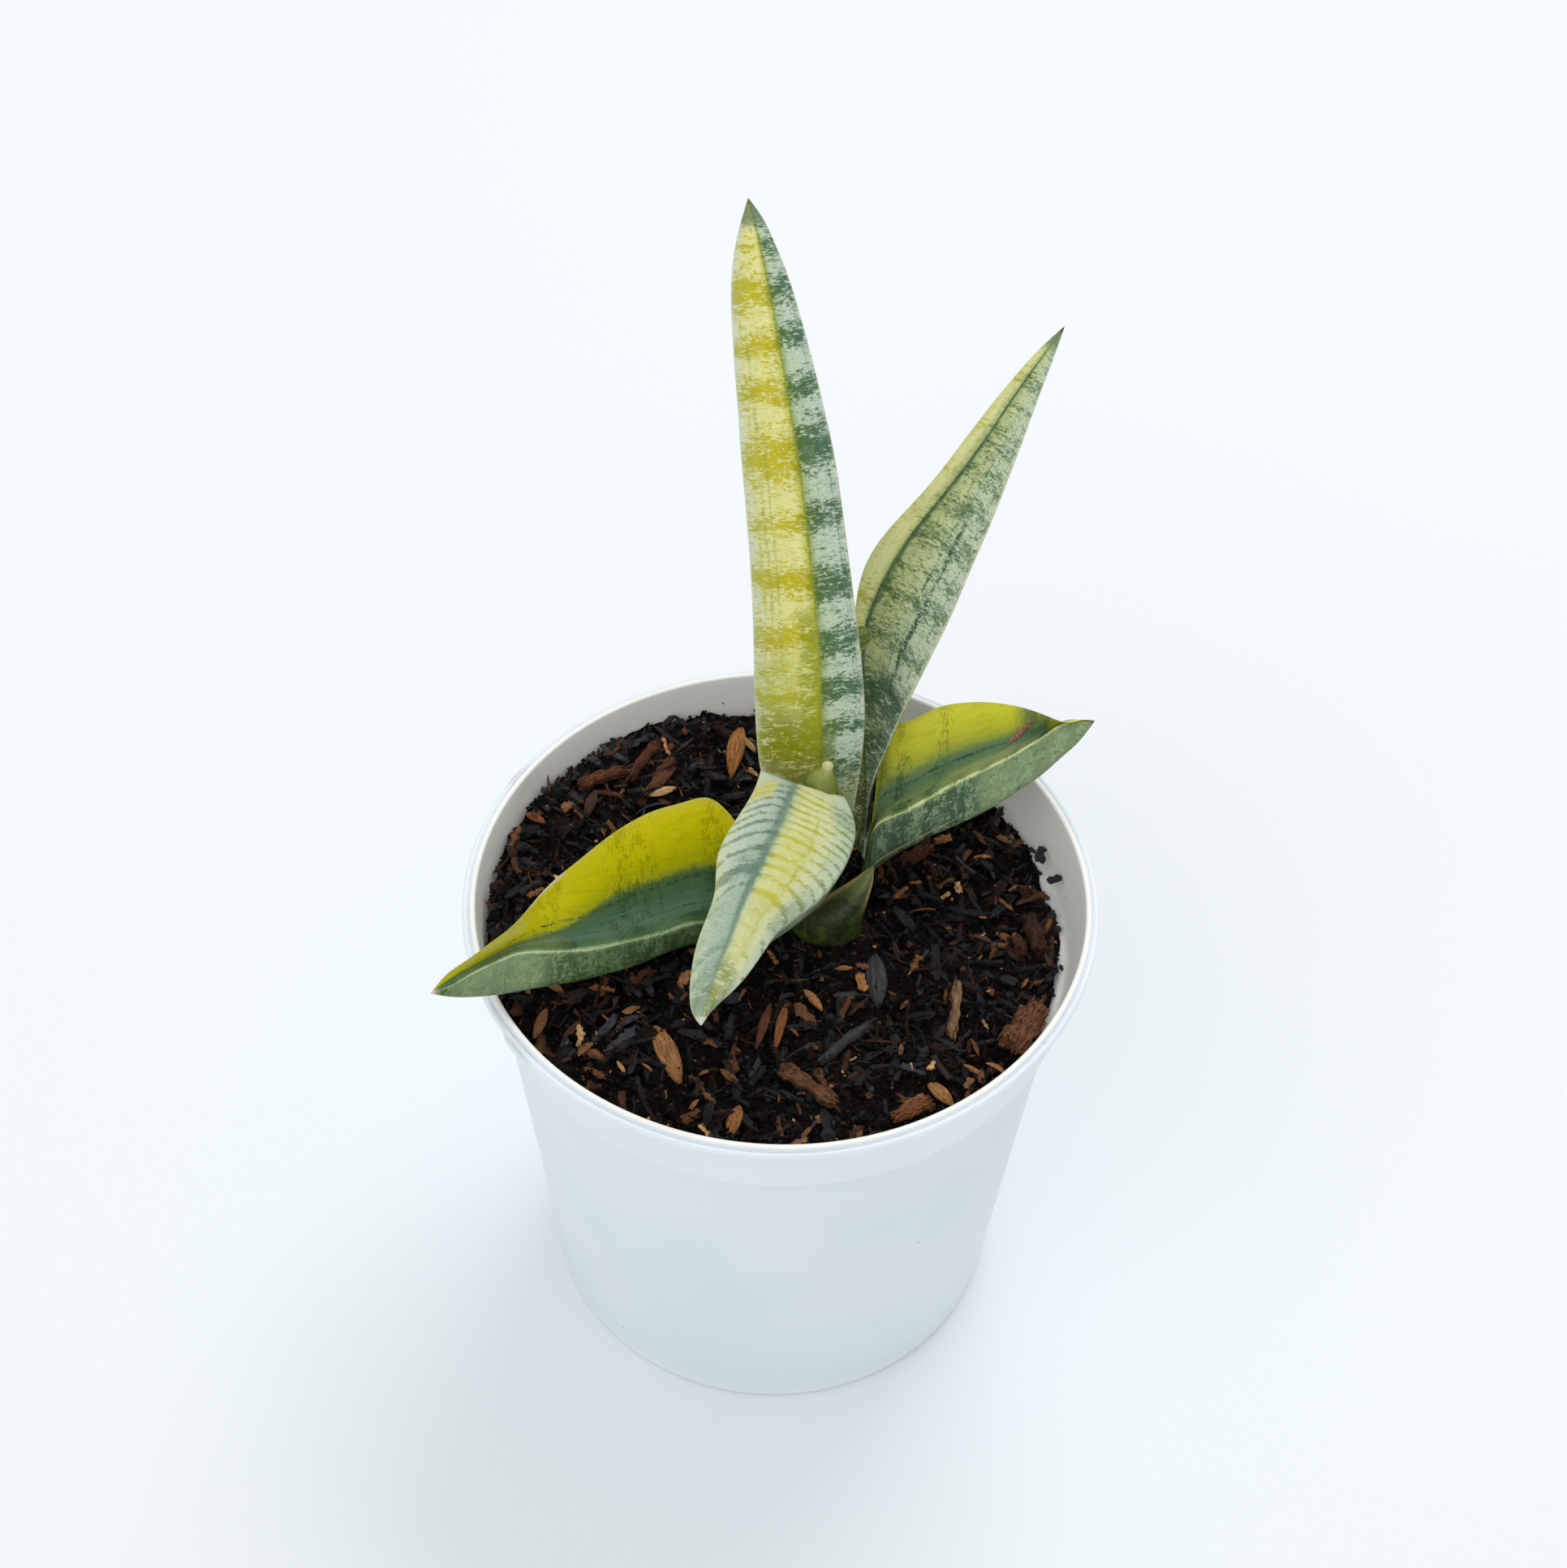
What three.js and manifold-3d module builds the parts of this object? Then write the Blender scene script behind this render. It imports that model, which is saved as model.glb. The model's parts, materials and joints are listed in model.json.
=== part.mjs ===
// Potted snake plant: a young variegated rosette in a plain white plastic pot.
// Millimetres, +Z up. The origin is the centre of the pot's underside, on the
// surface that the pot stands on.
import * as THREE from 'three';
import { mergeVertices } from 'three/addons/utils/BufferGeometryUtils.js';
import Module from 'manifold-3d';

const wasm = await Module();
wasm.setup();

// ---------------------------------------------------------------- dimensions
const POT_HEIGHT = 88.3;        // underside to the top of the lip
const RIM_RADIUS = 50.0;        // outside of the rolled bead
const LIP_RADIUS = 47.8;        // inner edge of the lip
const BASE_RADIUS = 37.4;       // outside of the foot
const BODY_TOP_RADIUS = 45.1;   // outside of the body just under the collar
const COLLAR_FOOT_RADIUS = 46.8;// outside of the collar at its lower edge
const COLLAR_HEIGHT = 12.9;     // lower edge of the collar to the lip
const WALL = 1.1;               // moulded wall
const FLOOR_TOP = 2.6;          // inside face of the floor
const PAD_RADIUS = 12.0;        // flat pad in the middle of the underside
const FOOT_RECESS = 1.5;        // recess between the pad and the foot ring
const HOLE_RADIUS = 2.8;        // drainage holes
const HOLE_CIRCLE = 22.0;
const HOLE_COUNT = 8;
const POT_SEGMENTS = 40;

const GAP = 0.35;               // clearance kept between pieces that touch
const SOIL_LEVEL = 79.2;        // surface of the mix on the pot's axis
const SOIL_SLOPE_X = -0.085;    // it lies lower towards +X
const SOIL_SLOPE_Y = 0.04;
const SOIL_BUMP = 0.7;
const CROWN = [6.0, 10.0];      // where the rosette stands in the mix

const LOFT_STEPS = 15;          // rings along a leaf
const LIP_TOP_IN = LIP_RADIUS + 1.0;

// ---------------------------------------------------------------- materials
const mat = (color, roughness, metalness = 0) =>
  new THREE.MeshStandardMaterial({ color, roughness, metalness });
const potPlastic = mat(0xeef3f8, 0.42);
const soilMix = mat(0x1d1511, 0.95);
const leafPale = mat(0xc9cf6a, 0.45);
const leafGreen = mat(0x6f8f6a, 0.45);
const leafYellow = mat(0xb9bd2c, 0.45);
const budGreen = mat(0x8f9e3c, 0.45);
const rootBuff = mat(0xb98a4e, 0.8);
const huskTan = mat(0x8a5a30, 0.8);
const barkBrown = mat(0x4a2a18, 0.85);
const charBlack = mat(0x1b1c1e, 0.7);
const stickPale = mat(0xa98363, 0.8);

// ---------------------------------------------------------------- helpers
function toSolid(geometry, matrix = new THREE.Matrix4()) {
  let g = geometry.clone();
  g.deleteAttribute('normal');
  g.deleteAttribute('uv');
  g.applyMatrix4(matrix);
  g = mergeVertices(g, 1e-4);
  const index = Array.from(g.index.array);
  const keep = [];
  for (let i = 0; i < index.length; i += 3) {
    const [a, b, c] = [index[i], index[i + 1], index[i + 2]];
    if (a !== b && b !== c && a !== c) keep.push(a, b, c);
  }
  return new wasm.Manifold(new wasm.Mesh({
    numProp: 3,
    vertProperties: new Float32Array(g.attributes.position.array),
    triVerts: new Uint32Array(keep),
  }));
}

// The largest connected shell of a solid, as a geometry.
function toGeometry(solid) {
  const m = solid.getMesh();
  const tri = m.triVerts;
  const n = m.vertProperties.length / m.numProp;
  const parent = Array.from({ length: n }, (_, i) => i);
  const find = (i) => { while (parent[i] !== i) { parent[i] = parent[parent[i]]; i = parent[i]; } return i; };
  for (let i = 0; i < tri.length; i += 3) {
    const r = find(tri[i]);
    parent[find(tri[i + 1])] = r;
    parent[find(tri[i + 2])] = r;
  }
  const count = new Map();
  const p = (i) => new THREE.Vector3(m.vertProperties[i * m.numProp], m.vertProperties[i * m.numProp + 1], m.vertProperties[i * m.numProp + 2]);
  for (let i = 0; i < tri.length; i += 3) {
    const a = p(tri[i]), b = p(tri[i + 1]), c = p(tri[i + 2]);
    const v = a.dot(b.clone().cross(c)) / 6;
    count.set(find(tri[i]), (count.get(find(tri[i])) || 0) + v);
  }
  const best = [...count.entries()].sort((x, y) => y[1] - x[1])[0][0];
  const position = [];
  for (let i = 0; i < tri.length; i += 3) {
    if (find(tri[i]) !== best) continue;
    for (let k = 0; k < 3; k++) { const q = p(tri[i + k]); position.push(q.x, q.y, q.z); }
  }
  const g = new THREE.BufferGeometry();
  g.setAttribute('position', new THREE.Float32BufferAttribute(position, 3));
  return g;
}

// Closed surface through a row of rings, each a closed loop of points.
function loft(rings) {
  const n = rings[0].length;
  const position = [];
  const index = [];
  for (const ring of rings) for (const q of ring) position.push(q.x, q.y, q.z);
  for (let i = 0; i < rings.length - 1; i++) {
    for (let j = 0; j < n; j++) {
      const a = i * n + j, b = i * n + (j + 1) % n, c = a + n, d = b + n;
      index.push(a, b, d, a, d, c);
    }
  }
  for (const [row, flip] of [[0, false], [rings.length - 1, true]]) {
    const centre = new THREE.Vector3();
    for (const q of rings[row]) centre.add(q);
    centre.multiplyScalar(1 / n);
    const k = position.length / 3;
    position.push(centre.x, centre.y, centre.z);
    for (let j = 0; j < n; j++) {
      const a = row * n + j, b = row * n + (j + 1) % n;
      if (flip) index.push(a, b, k); else index.push(b, a, k);
    }
  }
  let g = new THREE.BufferGeometry();
  g.setAttribute('position', new THREE.Float32BufferAttribute(position, 3));
  g.setIndex(index);
  // faces point outwards
  let volume = 0;
  const v = (i) => new THREE.Vector3().fromBufferAttribute(g.attributes.position, i);
  for (let i = 0; i < index.length; i += 3) volume += v(index[i]).dot(v(index[i + 1]).cross(v(index[i + 2])));
  if (volume < 0) {
    for (let i = 0; i < index.length; i += 3) [index[i + 1], index[i + 2]] = [index[i + 2], index[i + 1]];
    g.setIndex(index);
  }
  return g;
}

// The same surface pushed out by a distance, to cut clearance with.
function inflate(geometry, distance) {
  let g = geometry.clone();
  g.deleteAttribute('normal');
  g.deleteAttribute('uv');
  g = mergeVertices(g, 1e-3);
  g.computeVertexNormals();
  const p = g.attributes.position, n = g.attributes.normal;
  for (let i = 0; i < p.count; i++) {
    p.setXYZ(i, p.getX(i) + n.getX(i) * distance, p.getY(i) + n.getY(i) * distance, p.getZ(i) + n.getZ(i) * distance);
  }
  return g;
}

const lerp = (a, b, t) => a + (b - a) * t;
function profileRadius(profile, z) {
  for (let i = 0; i < profile.length - 1; i++) {
    const [r0, z0] = profile[i], [r1, z1] = profile[i + 1];
    if (z >= z0 && z <= z1) return lerp(r0, r1, (z - z0) / Math.max(1e-6, z1 - z0));
  }
  return profile[profile.length - 1][0];
}
const latheUp = new THREE.Matrix4().makeRotationX(Math.PI / 2);

function soilHeight(x, y) {
  return SOIL_LEVEL + SOIL_SLOPE_X * x + SOIL_SLOPE_Y * y
    + SOIL_BUMP * (0.5 * Math.sin(0.31 * x + 0.7) * Math.cos(0.27 * y - 0.4)
    + 0.3 * Math.sin(0.17 * x - 0.36 * y + 2.1) + 0.2 * Math.cos(0.52 * x + 0.44 * y));
}

// ---------------------------------------------------------------- pot
const collarBottom = POT_HEIGHT - COLLAR_HEIGHT;
const innerWall = [
  [BASE_RADIUS - WALL - 0.9, FLOOR_TOP],
  [BASE_RADIUS - WALL + 0.1, FLOOR_TOP + 0.9],
  [BODY_TOP_RADIUS - WALL - 0.1, collarBottom - 1.4],
  [BODY_TOP_RADIUS - WALL + 0.5, collarBottom - 0.5],
  [COLLAR_FOOT_RADIUS - WALL - 0.2, collarBottom + 0.5],
  [COLLAR_FOOT_RADIUS - WALL + 0.25, collarBottom + 1.6],
  [LIP_RADIUS - 0.15, POT_HEIGHT - 1.2],
  [LIP_RADIUS, POT_HEIGHT - 0.3],
];
const potProfile = [
  [0, 0], [PAD_RADIUS, 0], [PAD_RADIUS + 0.7, FOOT_RECESS],
  [BASE_RADIUS - 6.4, FOOT_RECESS], [BASE_RADIUS - 5.7, 0],
  [BASE_RADIUS - 0.9, 0], [BASE_RADIUS - 0.25, 0.25], [BASE_RADIUS, 0.9],
  [BODY_TOP_RADIUS, collarBottom - 0.4],
  [BODY_TOP_RADIUS + 0.3, collarBottom - 0.1],
  [COLLAR_FOOT_RADIUS - 0.35, collarBottom], [COLLAR_FOOT_RADIUS, collarBottom + 0.35],
  [RIM_RADIUS - 1.25, POT_HEIGHT - 2.4],
  [RIM_RADIUS - 0.45, POT_HEIGHT - 1.9], [RIM_RADIUS, POT_HEIGHT - 1.2],
  [RIM_RADIUS - 0.35, POT_HEIGHT - 0.55],
  [RIM_RADIUS - 1.0, POT_HEIGHT - 0.75], [RIM_RADIUS - 1.1, POT_HEIGHT - 0.2],
  [LIP_TOP_IN - 0.2, POT_HEIGHT], [LIP_RADIUS + 0.25, POT_HEIGHT],
  ...innerWall.slice().reverse(),
  [0, FLOOR_TOP],
];
const potShell = new THREE.LatheGeometry(potProfile.map(([r, z]) => new THREE.Vector2(r, z)), POT_SEGMENTS);
let pot = toSolid(potShell, latheUp);
if (pot.volume && pot.volume() < 0) throw new Error('pot profile runs the wrong way');
for (let i = 0; i < HOLE_COUNT; i++) {
  const a = (i + 0.5) / HOLE_COUNT * Math.PI * 2;
  const hole = new THREE.CylinderGeometry(HOLE_RADIUS, HOLE_RADIUS, 10, 10);
  const m = new THREE.Matrix4().makeTranslation(Math.cos(a) * HOLE_CIRCLE, Math.sin(a) * HOLE_CIRCLE, 1).multiply(latheUp);
  pot = pot.subtract(toSolid(hole, m));
}
// two rounded stacking lugs on the outside of the rim
for (const deg of [151, 218]) {
  const lug = new THREE.SphereGeometry(1, 8, 6);
  const a = deg * Math.PI / 180;
  const m = new THREE.Matrix4().makeTranslation(Math.cos(a) * (RIM_RADIUS - 0.9), Math.sin(a) * (RIM_RADIUS - 0.9), POT_HEIGHT - 1.9)
    .multiply(new THREE.Matrix4().makeRotationZ(a))
    .multiply(new THREE.Matrix4().makeScale(1.9, 4.2, 1.25));
  pot = pot.add(toSolid(lug, m));
}
const potGeometry = toGeometry(pot);

// ---------------------------------------------------------------- leaves
// Each row is one cross-section from the base of the leaf to its tip:
// left margin, middle of the upper face, right margin, then three points
// round the keel from right to left.
const LEAF_SECTIONS = {
  leaf_tall_centre: [
    [[-0.4, 15.2, 77.8], [5.2, 13.6, 77.8], [10, 15.2, 77.8], [8.45, 16.6, 77.8], [5, 17.4, 77.8], [0.95, 16.6, 77.8]],
    [[-1.4, 16.8, 84], [5.2, 15.2, 84], [11, 16.8, 84], [9.2, 19, 84], [5, 19.8, 84], [0.2, 19, 84]],
    [[-4.06, 20.3, 94.28], [5.85, 18.87, 95.9], [12.46, 20.85, 96.06], [10.16, 24.27, 94.67], [4.21, 24.95, 93.75], [-1.74, 23.88, 93.39]],
    [[-5.17, 23.32, 103.91], [5.47, 22.01, 105.58], [12.66, 23.92, 105.83], [10.17, 27.33, 104.42], [3.75, 27.99, 103.45], [-2.67, 26.9, 103.04]],
    [[-5.64, 26.71, 114.7], [4.88, 25.51, 116.31], [11.5, 27.28, 116.54], [9.1, 30.62, 115.17], [2.94, 31.27, 114.22], [-3.23, 30.21, 113.84]],
    [[-6.15, 30.09, 125.48], [3.8, 28.99, 127], [9.82, 30.62, 127.19], [7.59, 33.82, 125.89], [1.84, 34.44, 125], [-3.9, 33.43, 124.65]],
    [[-6.98, 33.46, 136.22], [2.24, 32.48, 137.62], [8.11, 33.96, 137.85], [6, 37.01, 136.6], [0.57, 37.61, 135.76], [-4.86, 36.65, 135.43]],
    [[-8.12, 36.82, 146.94], [0.63, 35.97, 148.24], [6.11, 37.3, 148.47], [4.13, 40.12, 147.3], [-0.99, 40.67, 146.51], [-6.12, 39.78, 146.2]],
    [[-9.04, 39.85, 156.59], [-1.12, 39.13, 157.75], [3.79, 40.28, 157.97], [2, 42.8, 156.92], [-2.62, 43.29, 156.21], [-7.24, 42.5, 155.93]],
    [[-9.77, 42.55, 165.18], [-2.78, 41.95, 166.19], [1.37, 42.92, 166.38], [-0.18, 45.14, 165.45], [-4.19, 45.58, 164.82], [-8.21, 44.88, 164.58]],
    [[-9.95, 44.92, 172.75], [-4.37, 44.45, 173.55], [-1.02, 45.22, 173.71], [-2.27, 47, 172.95], [-5.48, 47.34, 172.45], [-8.7, 46.78, 172.26]],
    [[-9.35, 46.98, 179.31], [-5.87, 46.63, 179.83], [-3.69, 47.17, 179.92], [-4.48, 48.43, 179.38], [-6.51, 48.68, 179.05], [-8.55, 48.29, 178.94]],
    [[-8.44, 48.21, 183.2], [-6.85, 47.96, 183.47], [-5.67, 48.3, 183.5], [-6.05, 49.03, 183.16], [-7.04, 49.18, 182.98], [-8.04, 48.96, 182.95]],
    [[-7.61, 49.08, 186], [-7.61, 49.08, 186], [-7.61, 49.08, 186], [-7.61, 49.12, 185.99], [-7.61, 49.13, 185.99], [-7.61, 49.12, 185.99]],
  ],
  leaf_tall_right: [
    [[9.67, 18.2, 77.8], [12, 17.6, 77.8], [13.24, 15.64, 77.8], [14.43, 18.1, 76.71], [13.63, 19.63, 76.31], [11.85, 19.94, 76.81]],
    [[10.38, 24.41, 88.68], [13.29, 23.13, 88.21], [13.87, 21.91, 88.55], [14.59, 24.01, 87.21], [13.84, 25.66, 86.68], [12.07, 25.81, 87.31]],
    [[9.97, 28.72, 94.98], [12.67, 28.23, 94.23], [15.93, 24.41, 94.76], [16.45, 26.96, 93.3], [14.88, 29.34, 92.73], [12.15, 30.06, 93.45]],
    [[9.96, 33.03, 101.66], [12.28, 33.42, 100.65], [18.45, 26.86, 101.37], [18.76, 29.87, 99.79], [16.35, 33, 99.19], [12.65, 34.31, 99.99]],
    [[10.12, 37.87, 109.12], [12.28, 38.88, 107.9], [21.64, 29.42, 108.77], [21.63, 32.85, 107.17], [18.17, 36.86, 106.59], [13.34, 38.94, 107.42]],
    [[10.91, 42.37, 116.52], [14.78, 42.29, 115.16], [24.78, 32.1, 116.13], [24.43, 35.76, 114.61], [20.12, 40.4, 114.08], [14.44, 43.15, 114.89]],
    [[14.3, 44.94, 123.83], [18.39, 44.77, 122.44], [27.63, 35.13, 123.44], [27.3, 38.64, 122.03], [23.15, 43.09, 121.54], [17.7, 45.7, 122.31]],
    [[19.49, 46.24, 131.07], [22.89, 46.48, 129.75], [30.38, 38.35, 130.69], [30.27, 41.47, 129.41], [26.96, 45.18, 128.98], [22.43, 47.15, 129.68]],
    [[24.4, 47.95, 138.23], [27.49, 48.07, 137.07], [32.97, 41.82, 137.9], [32.99, 44.45, 136.79], [30.44, 47.42, 136.42], [26.83, 48.87, 137.03]],
    [[29.05, 50.01, 145.33], [31.65, 49.97, 144.41], [35.4, 45.49, 145.07], [35.52, 47.61, 144.15], [33.67, 49.86, 143.84], [30.95, 50.85, 144.34]],
    [[33.46, 51.71, 151.59], [35.26, 51.7, 150.95], [37.51, 48.87, 151.41], [37.7, 50.4, 150.72], [36.57, 51.9, 150.48], [34.79, 52.44, 150.85]],
    [[37.04, 52.81, 156.27], [38.15, 52.84, 155.86], [39.18, 51.36, 156.15], [39.35, 52.29, 155.72], [38.79, 53.13, 155.57], [37.81, 53.34, 155.81]],
    [[40.45, 53.41, 160.16], [40.56, 53.78, 159.96], [40.51, 53.49, 160.1], [40.52, 53.5, 160.09], [40.51, 53.48, 160.11], [40.48, 53.44, 160.14]],
  ],
  leaf_front: [
    [[-4.08, 16.55, 99], [1.86, 11.78, 101.3], [9.88, 12.85, 97], [8.61, 10.46, 89.55], [5.2, 7.6, 79.5], [-0.88, 12.98, 90.91]],
    [[-5.69, 10.03, 99.5], [0.09, 4.11, 103], [11.62, 7.16, 96], [9.53, 5.06, 89.73], [4.6, 2.5, 81.5], [-2.24, 7.01, 92.11]],
    [[-8.17, 4.09, 100], [-1.19, -0.81, 104], [10.87, 2, 96.5], [8.64, 0.21, 91.5], [3.3, -2, 85], [-4.31, 1.64, 93.88]],
    [[-10.21, -2.47, 100], [-2.92, -6.63, 104.6], [9.12, -3.55, 97.5], [6.76, -5.05, 93.81], [1.2, -7, 89], [-6.38, -4.32, 95.5]],
    [[-10.36, -8.6, 100.3], [-4.62, -12.18, 104.8], [5.67, -10.31, 99], [3.46, -11.31, 96.25], [-1.5, -12.5, 92.6], [-7.44, -10.15, 97.13]],
    [[-11.02, -14.19, 100.8], [-6.17, -17.48, 104.8], [1.06, -16.03, 100.3], [-0.46, -16.74, 98.22], [-4, -17.5, 95.4], [-8.68, -15.49, 98.56]],
    [[-12.48, -20.65, 101.3], [-7.45, -22.68, 104.6], [-1.42, -20.56, 101.3], [-2.79, -21.37, 99.75], [-6, -22.5, 97.6], [-10.31, -21.43, 99.75]],
    [[-13.11, -26.19, 101.6], [-8.86, -27.19, 104.2], [-4.52, -27.11, 101.6], [-5.47, -27.19, 100.68], [-7.8, -27.2, 99.4], [-11.31, -26.57, 100.68]],
    [[-13.15, -31.02, 101.9], [-10.12, -31.95, 103.6], [-7.85, -31.89, 101.9], [-8.24, -31.81, 101.35], [-9.4, -31.6, 100.6], [-11.84, -31.22, 101.35]],
    [[-12.38, -35.23, 102.1], [-10.94, -35.49, 102.9], [-10.01, -34.99, 102.1], [-10.14, -35.07, 101.89], [-10.6, -35.2, 101.6], [-11.75, -35.23, 101.89]],
    [[-11.23, -37.14, 102.3], [-11.11, -37.13, 102.3], [-11, -37.13, 102.3], [-11.03, -37.13, 102.28], [-11.11, -37.13, 102.25], [-11.2, -37.13, 102.28]],
  ],
  leaf_left: [
    [[-0.6, 11.2, 82], [-0.6, 8, 79.6], [-0.6, 4.4, 80.8], [-0.6, 4.8, 78.2], [-0.6, 8, 77.6], [-0.6, 11, 79]],
    [[-6.09, 13.24, 88.11], [-5.43, 4.22, 81.77], [-4.97, -0.31, 84.31], [-4.96, 0.04, 80.38], [-5.43, 3.92, 78.96], [-6.21, 9.91, 82.75]],
    [[-11.58, 15.27, 94.22], [-10.26, 0.44, 83.93], [-9.34, -5.02, 87.83], [-9.33, -4.72, 82.56], [-10.26, -0.16, 80.32], [-11.82, 8.82, 86.49]],
    [[-15.58, 13.3, 95.47], [-14.29, -1.56, 85.23], [-13.37, -6.55, 88.94], [-13.36, -6.96, 83.92], [-14.29, -2.16, 81.77], [-15.8, 6.77, 87.88]],
    [[-19.88, 10.21, 96.75], [-18.59, -4.92, 86.66], [-17.68, -9.54, 90.14], [-17.69, -10.22, 85.4], [-18.59, -5.52, 83.37], [-20.05, 3.48, 89.36]],
    [[-24.07, 6.14, 97.92], [-22.86, -7.76, 88.08], [-21.97, -12.05, 91.33], [-21.94, -13.88, 86.89], [-22.86, -8.36, 84.99], [-24.23, -0.04, 90.8]],
    [[-28.13, 1.12, 98.99], [-27.09, -10.48, 89.5], [-26.22, -14.49, 92.5], [-26.17, -16.86, 88.39], [-27.09, -11.08, 86.61], [-28.32, -3.99, 92.19]],
    [[-32.09, -4.5, 99.92], [-31.3, -12.76, 90.92], [-30.46, -16.4, 93.65], [-30.37, -19.53, 89.89], [-31.3, -13.36, 88.26], [-32.34, -8.03, 93.53]],
    [[-36.03, -9.67, 99.85], [-35.5, -14.42, 92.35], [-34.71, -17.75, 94.77], [-34.54, -21.93, 91.4], [-35.5, -15.02, 89.92], [-36.34, -11.54, 94.38]],
    [[-39.62, -15.56, 99.31], [-39.4, -16.23, 93.69], [-38.7, -19.05, 95.79], [-38.43, -24.17, 92.83], [-39.4, -16.83, 91.52], [-40.02, -15.49, 94.98]],
    [[-43.18, -19.55, 98.88], [-43.03, -19.57, 94.99], [-42.43, -21.68, 96.73], [-42.18, -26.26, 94.23], [-43.03, -20.17, 93.12], [-43.53, -19.26, 95.63]],
    [[-46.72, -23.14, 98.56], [-46.57, -23.31, 96.29], [-46.08, -25.07, 97.59], [-45.94, -27.88, 95.66], [-46.57, -23.91, 94.78], [-46.97, -23.06, 96.38]],
    [[-49.75, -26.23, 98.4], [-49.59, -26.8, 97.43], [-49.25, -28.19, 98.18], [-49.26, -28.92, 96.96], [-49.59, -27.4, 96.36], [-49.88, -26.52, 97.19]],
    [[-51.62, -29.35, 98], [-51.62, -29.35, 98], [-51.62, -29.35, 98], [-51.62, -29.35, 97.95], [-51.62, -29.35, 97.95], [-51.62, -29.35, 97.95]],
  ],
  leaf_right: [
    [[13.2, 12.8, 82.4], [12.4, 9.4, 79.8], [12.2, 6.4, 81.4], [12.4, 6.4, 78.4], [12.4, 9.4, 77.8], [13.2, 12.4, 79.2]],
    [[14.76, 21.26, 88.66], [14.05, 14.36, 83.02], [13.55, 9.82, 86.09], [13.78, 7.73, 81.65], [14.05, 13.96, 80.26], [14.81, 18.86, 83.68]],
    [[16.33, 29.72, 94.93], [15.7, 19.31, 86.24], [14.91, 13.24, 90.78], [15.15, 9.06, 84.9], [15.7, 18.51, 82.72], [16.41, 25.31, 88.16]],
    [[20.15, 31.38, 96.33], [19.55, 20.24, 88.28], [18.75, 14.47, 92.54], [18.99, 10.77, 87.01], [19.55, 19.44, 84.95], [20.22, 26.54, 90.01]],
    [[23.97, 32.8, 97.7], [23.38, 21.3, 90.32], [22.58, 15.87, 94.29], [22.82, 11.89, 89.12], [23.38, 20.5, 87.19], [24.02, 27.7, 91.86]],
    [[27.77, 32.88, 99.03], [27.2, 22.38, 92.36], [26.42, 17.4, 96.01], [26.63, 12.48, 91.24], [27.2, 21.58, 89.45], [27.81, 28.2, 93.7]],
    [[31.53, 32.04, 100.31], [31, 23.04, 94.4], [30.25, 18.51, 97.7], [30.42, 13.07, 93.36], [31, 22.24, 91.72], [31.56, 28.02, 95.53]],
    [[35.24, 30.43, 101.52], [34.78, 23.69, 96.44], [34.08, 19.65, 99.36], [34.21, 14.1, 95.5], [34.78, 22.89, 94.03], [35.27, 27.44, 97.34]],
    [[38.53, 28.32, 102.55], [38.18, 24.68, 98.28], [37.54, 21.09, 100.8], [37.63, 15.57, 97.43], [38.18, 23.88, 96.13], [38.59, 26.78, 98.96]],
    [[41.65, 25.74, 103.43], [41.45, 25.69, 100.05], [40.89, 22.71, 102.13], [40.94, 17.19, 99.3], [41.45, 24.89, 98.2], [41.75, 25.89, 100.5]],
    [[44.51, 23.76, 104.11], [44.46, 26.48, 101.68], [44.01, 24.19, 103.26], [44.02, 19.49, 101.06], [44.46, 25.68, 100.18], [44.64, 25.16, 101.9]],
    [[46.95, 24.14, 104.47], [46.89, 25.48, 103.04], [46.59, 24.09, 104.05], [46.61, 21.5, 102.55], [46.89, 24.68, 101.93], [47.02, 24.71, 103.03]],
    [[48.95, 24.49, 104], [48.95, 24.49, 104], [48.95, 24.49, 104], [48.95, 24.49, 103.95], [48.95, 24.49, 103.95], [48.95, 24.49, 103.95]],
  ],
};

function leafGeometry(sections, { steps = LOFT_STEPS, crease = 1.0, swell = 0 } = {}) {
  const tracks = [0, 1, 2, 3, 4, 5].map((k) => new THREE.CatmullRomCurve3(
    sections.map((s) => new THREE.Vector3(...s[k])), false, 'centripetal'));
  const rings = [];
  for (let i = 0; i <= steps; i++) {
    const f = i / steps * (sections.length - 1);
    const t = Math.min(0.9999, f / (sections.length - 1));
    const [L, M, R, B, K, A] = tracks.map((c) => c.getPoint(t));
    const ring = [];
    // upper face: left margin, half way, middle, half way, right margin
    const half = (p, q, r, s) => p.clone().multiplyScalar(0.375).add(q.clone().multiplyScalar(0.75)).add(r.clone().multiplyScalar(-0.125))
      .lerp(p.clone().add(q).multiplyScalar(0.5), 1 - s);
    ring.push(L, half(L, M, R, crease), M, half(R, M, L, crease), R);
    // keel, from the right margin back to the left
    const keel = new THREE.CatmullRomCurve3([R, B, K, A, L], false, 'centripetal');
    for (const u of [0.125, 0.25, 0.375, 0.5, 0.625, 0.75, 0.875]) ring.push(keel.getPoint(u));
    rings.push(ring);
  }
  // the last ring closes on the tip
  return loft(rings);
}

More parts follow.
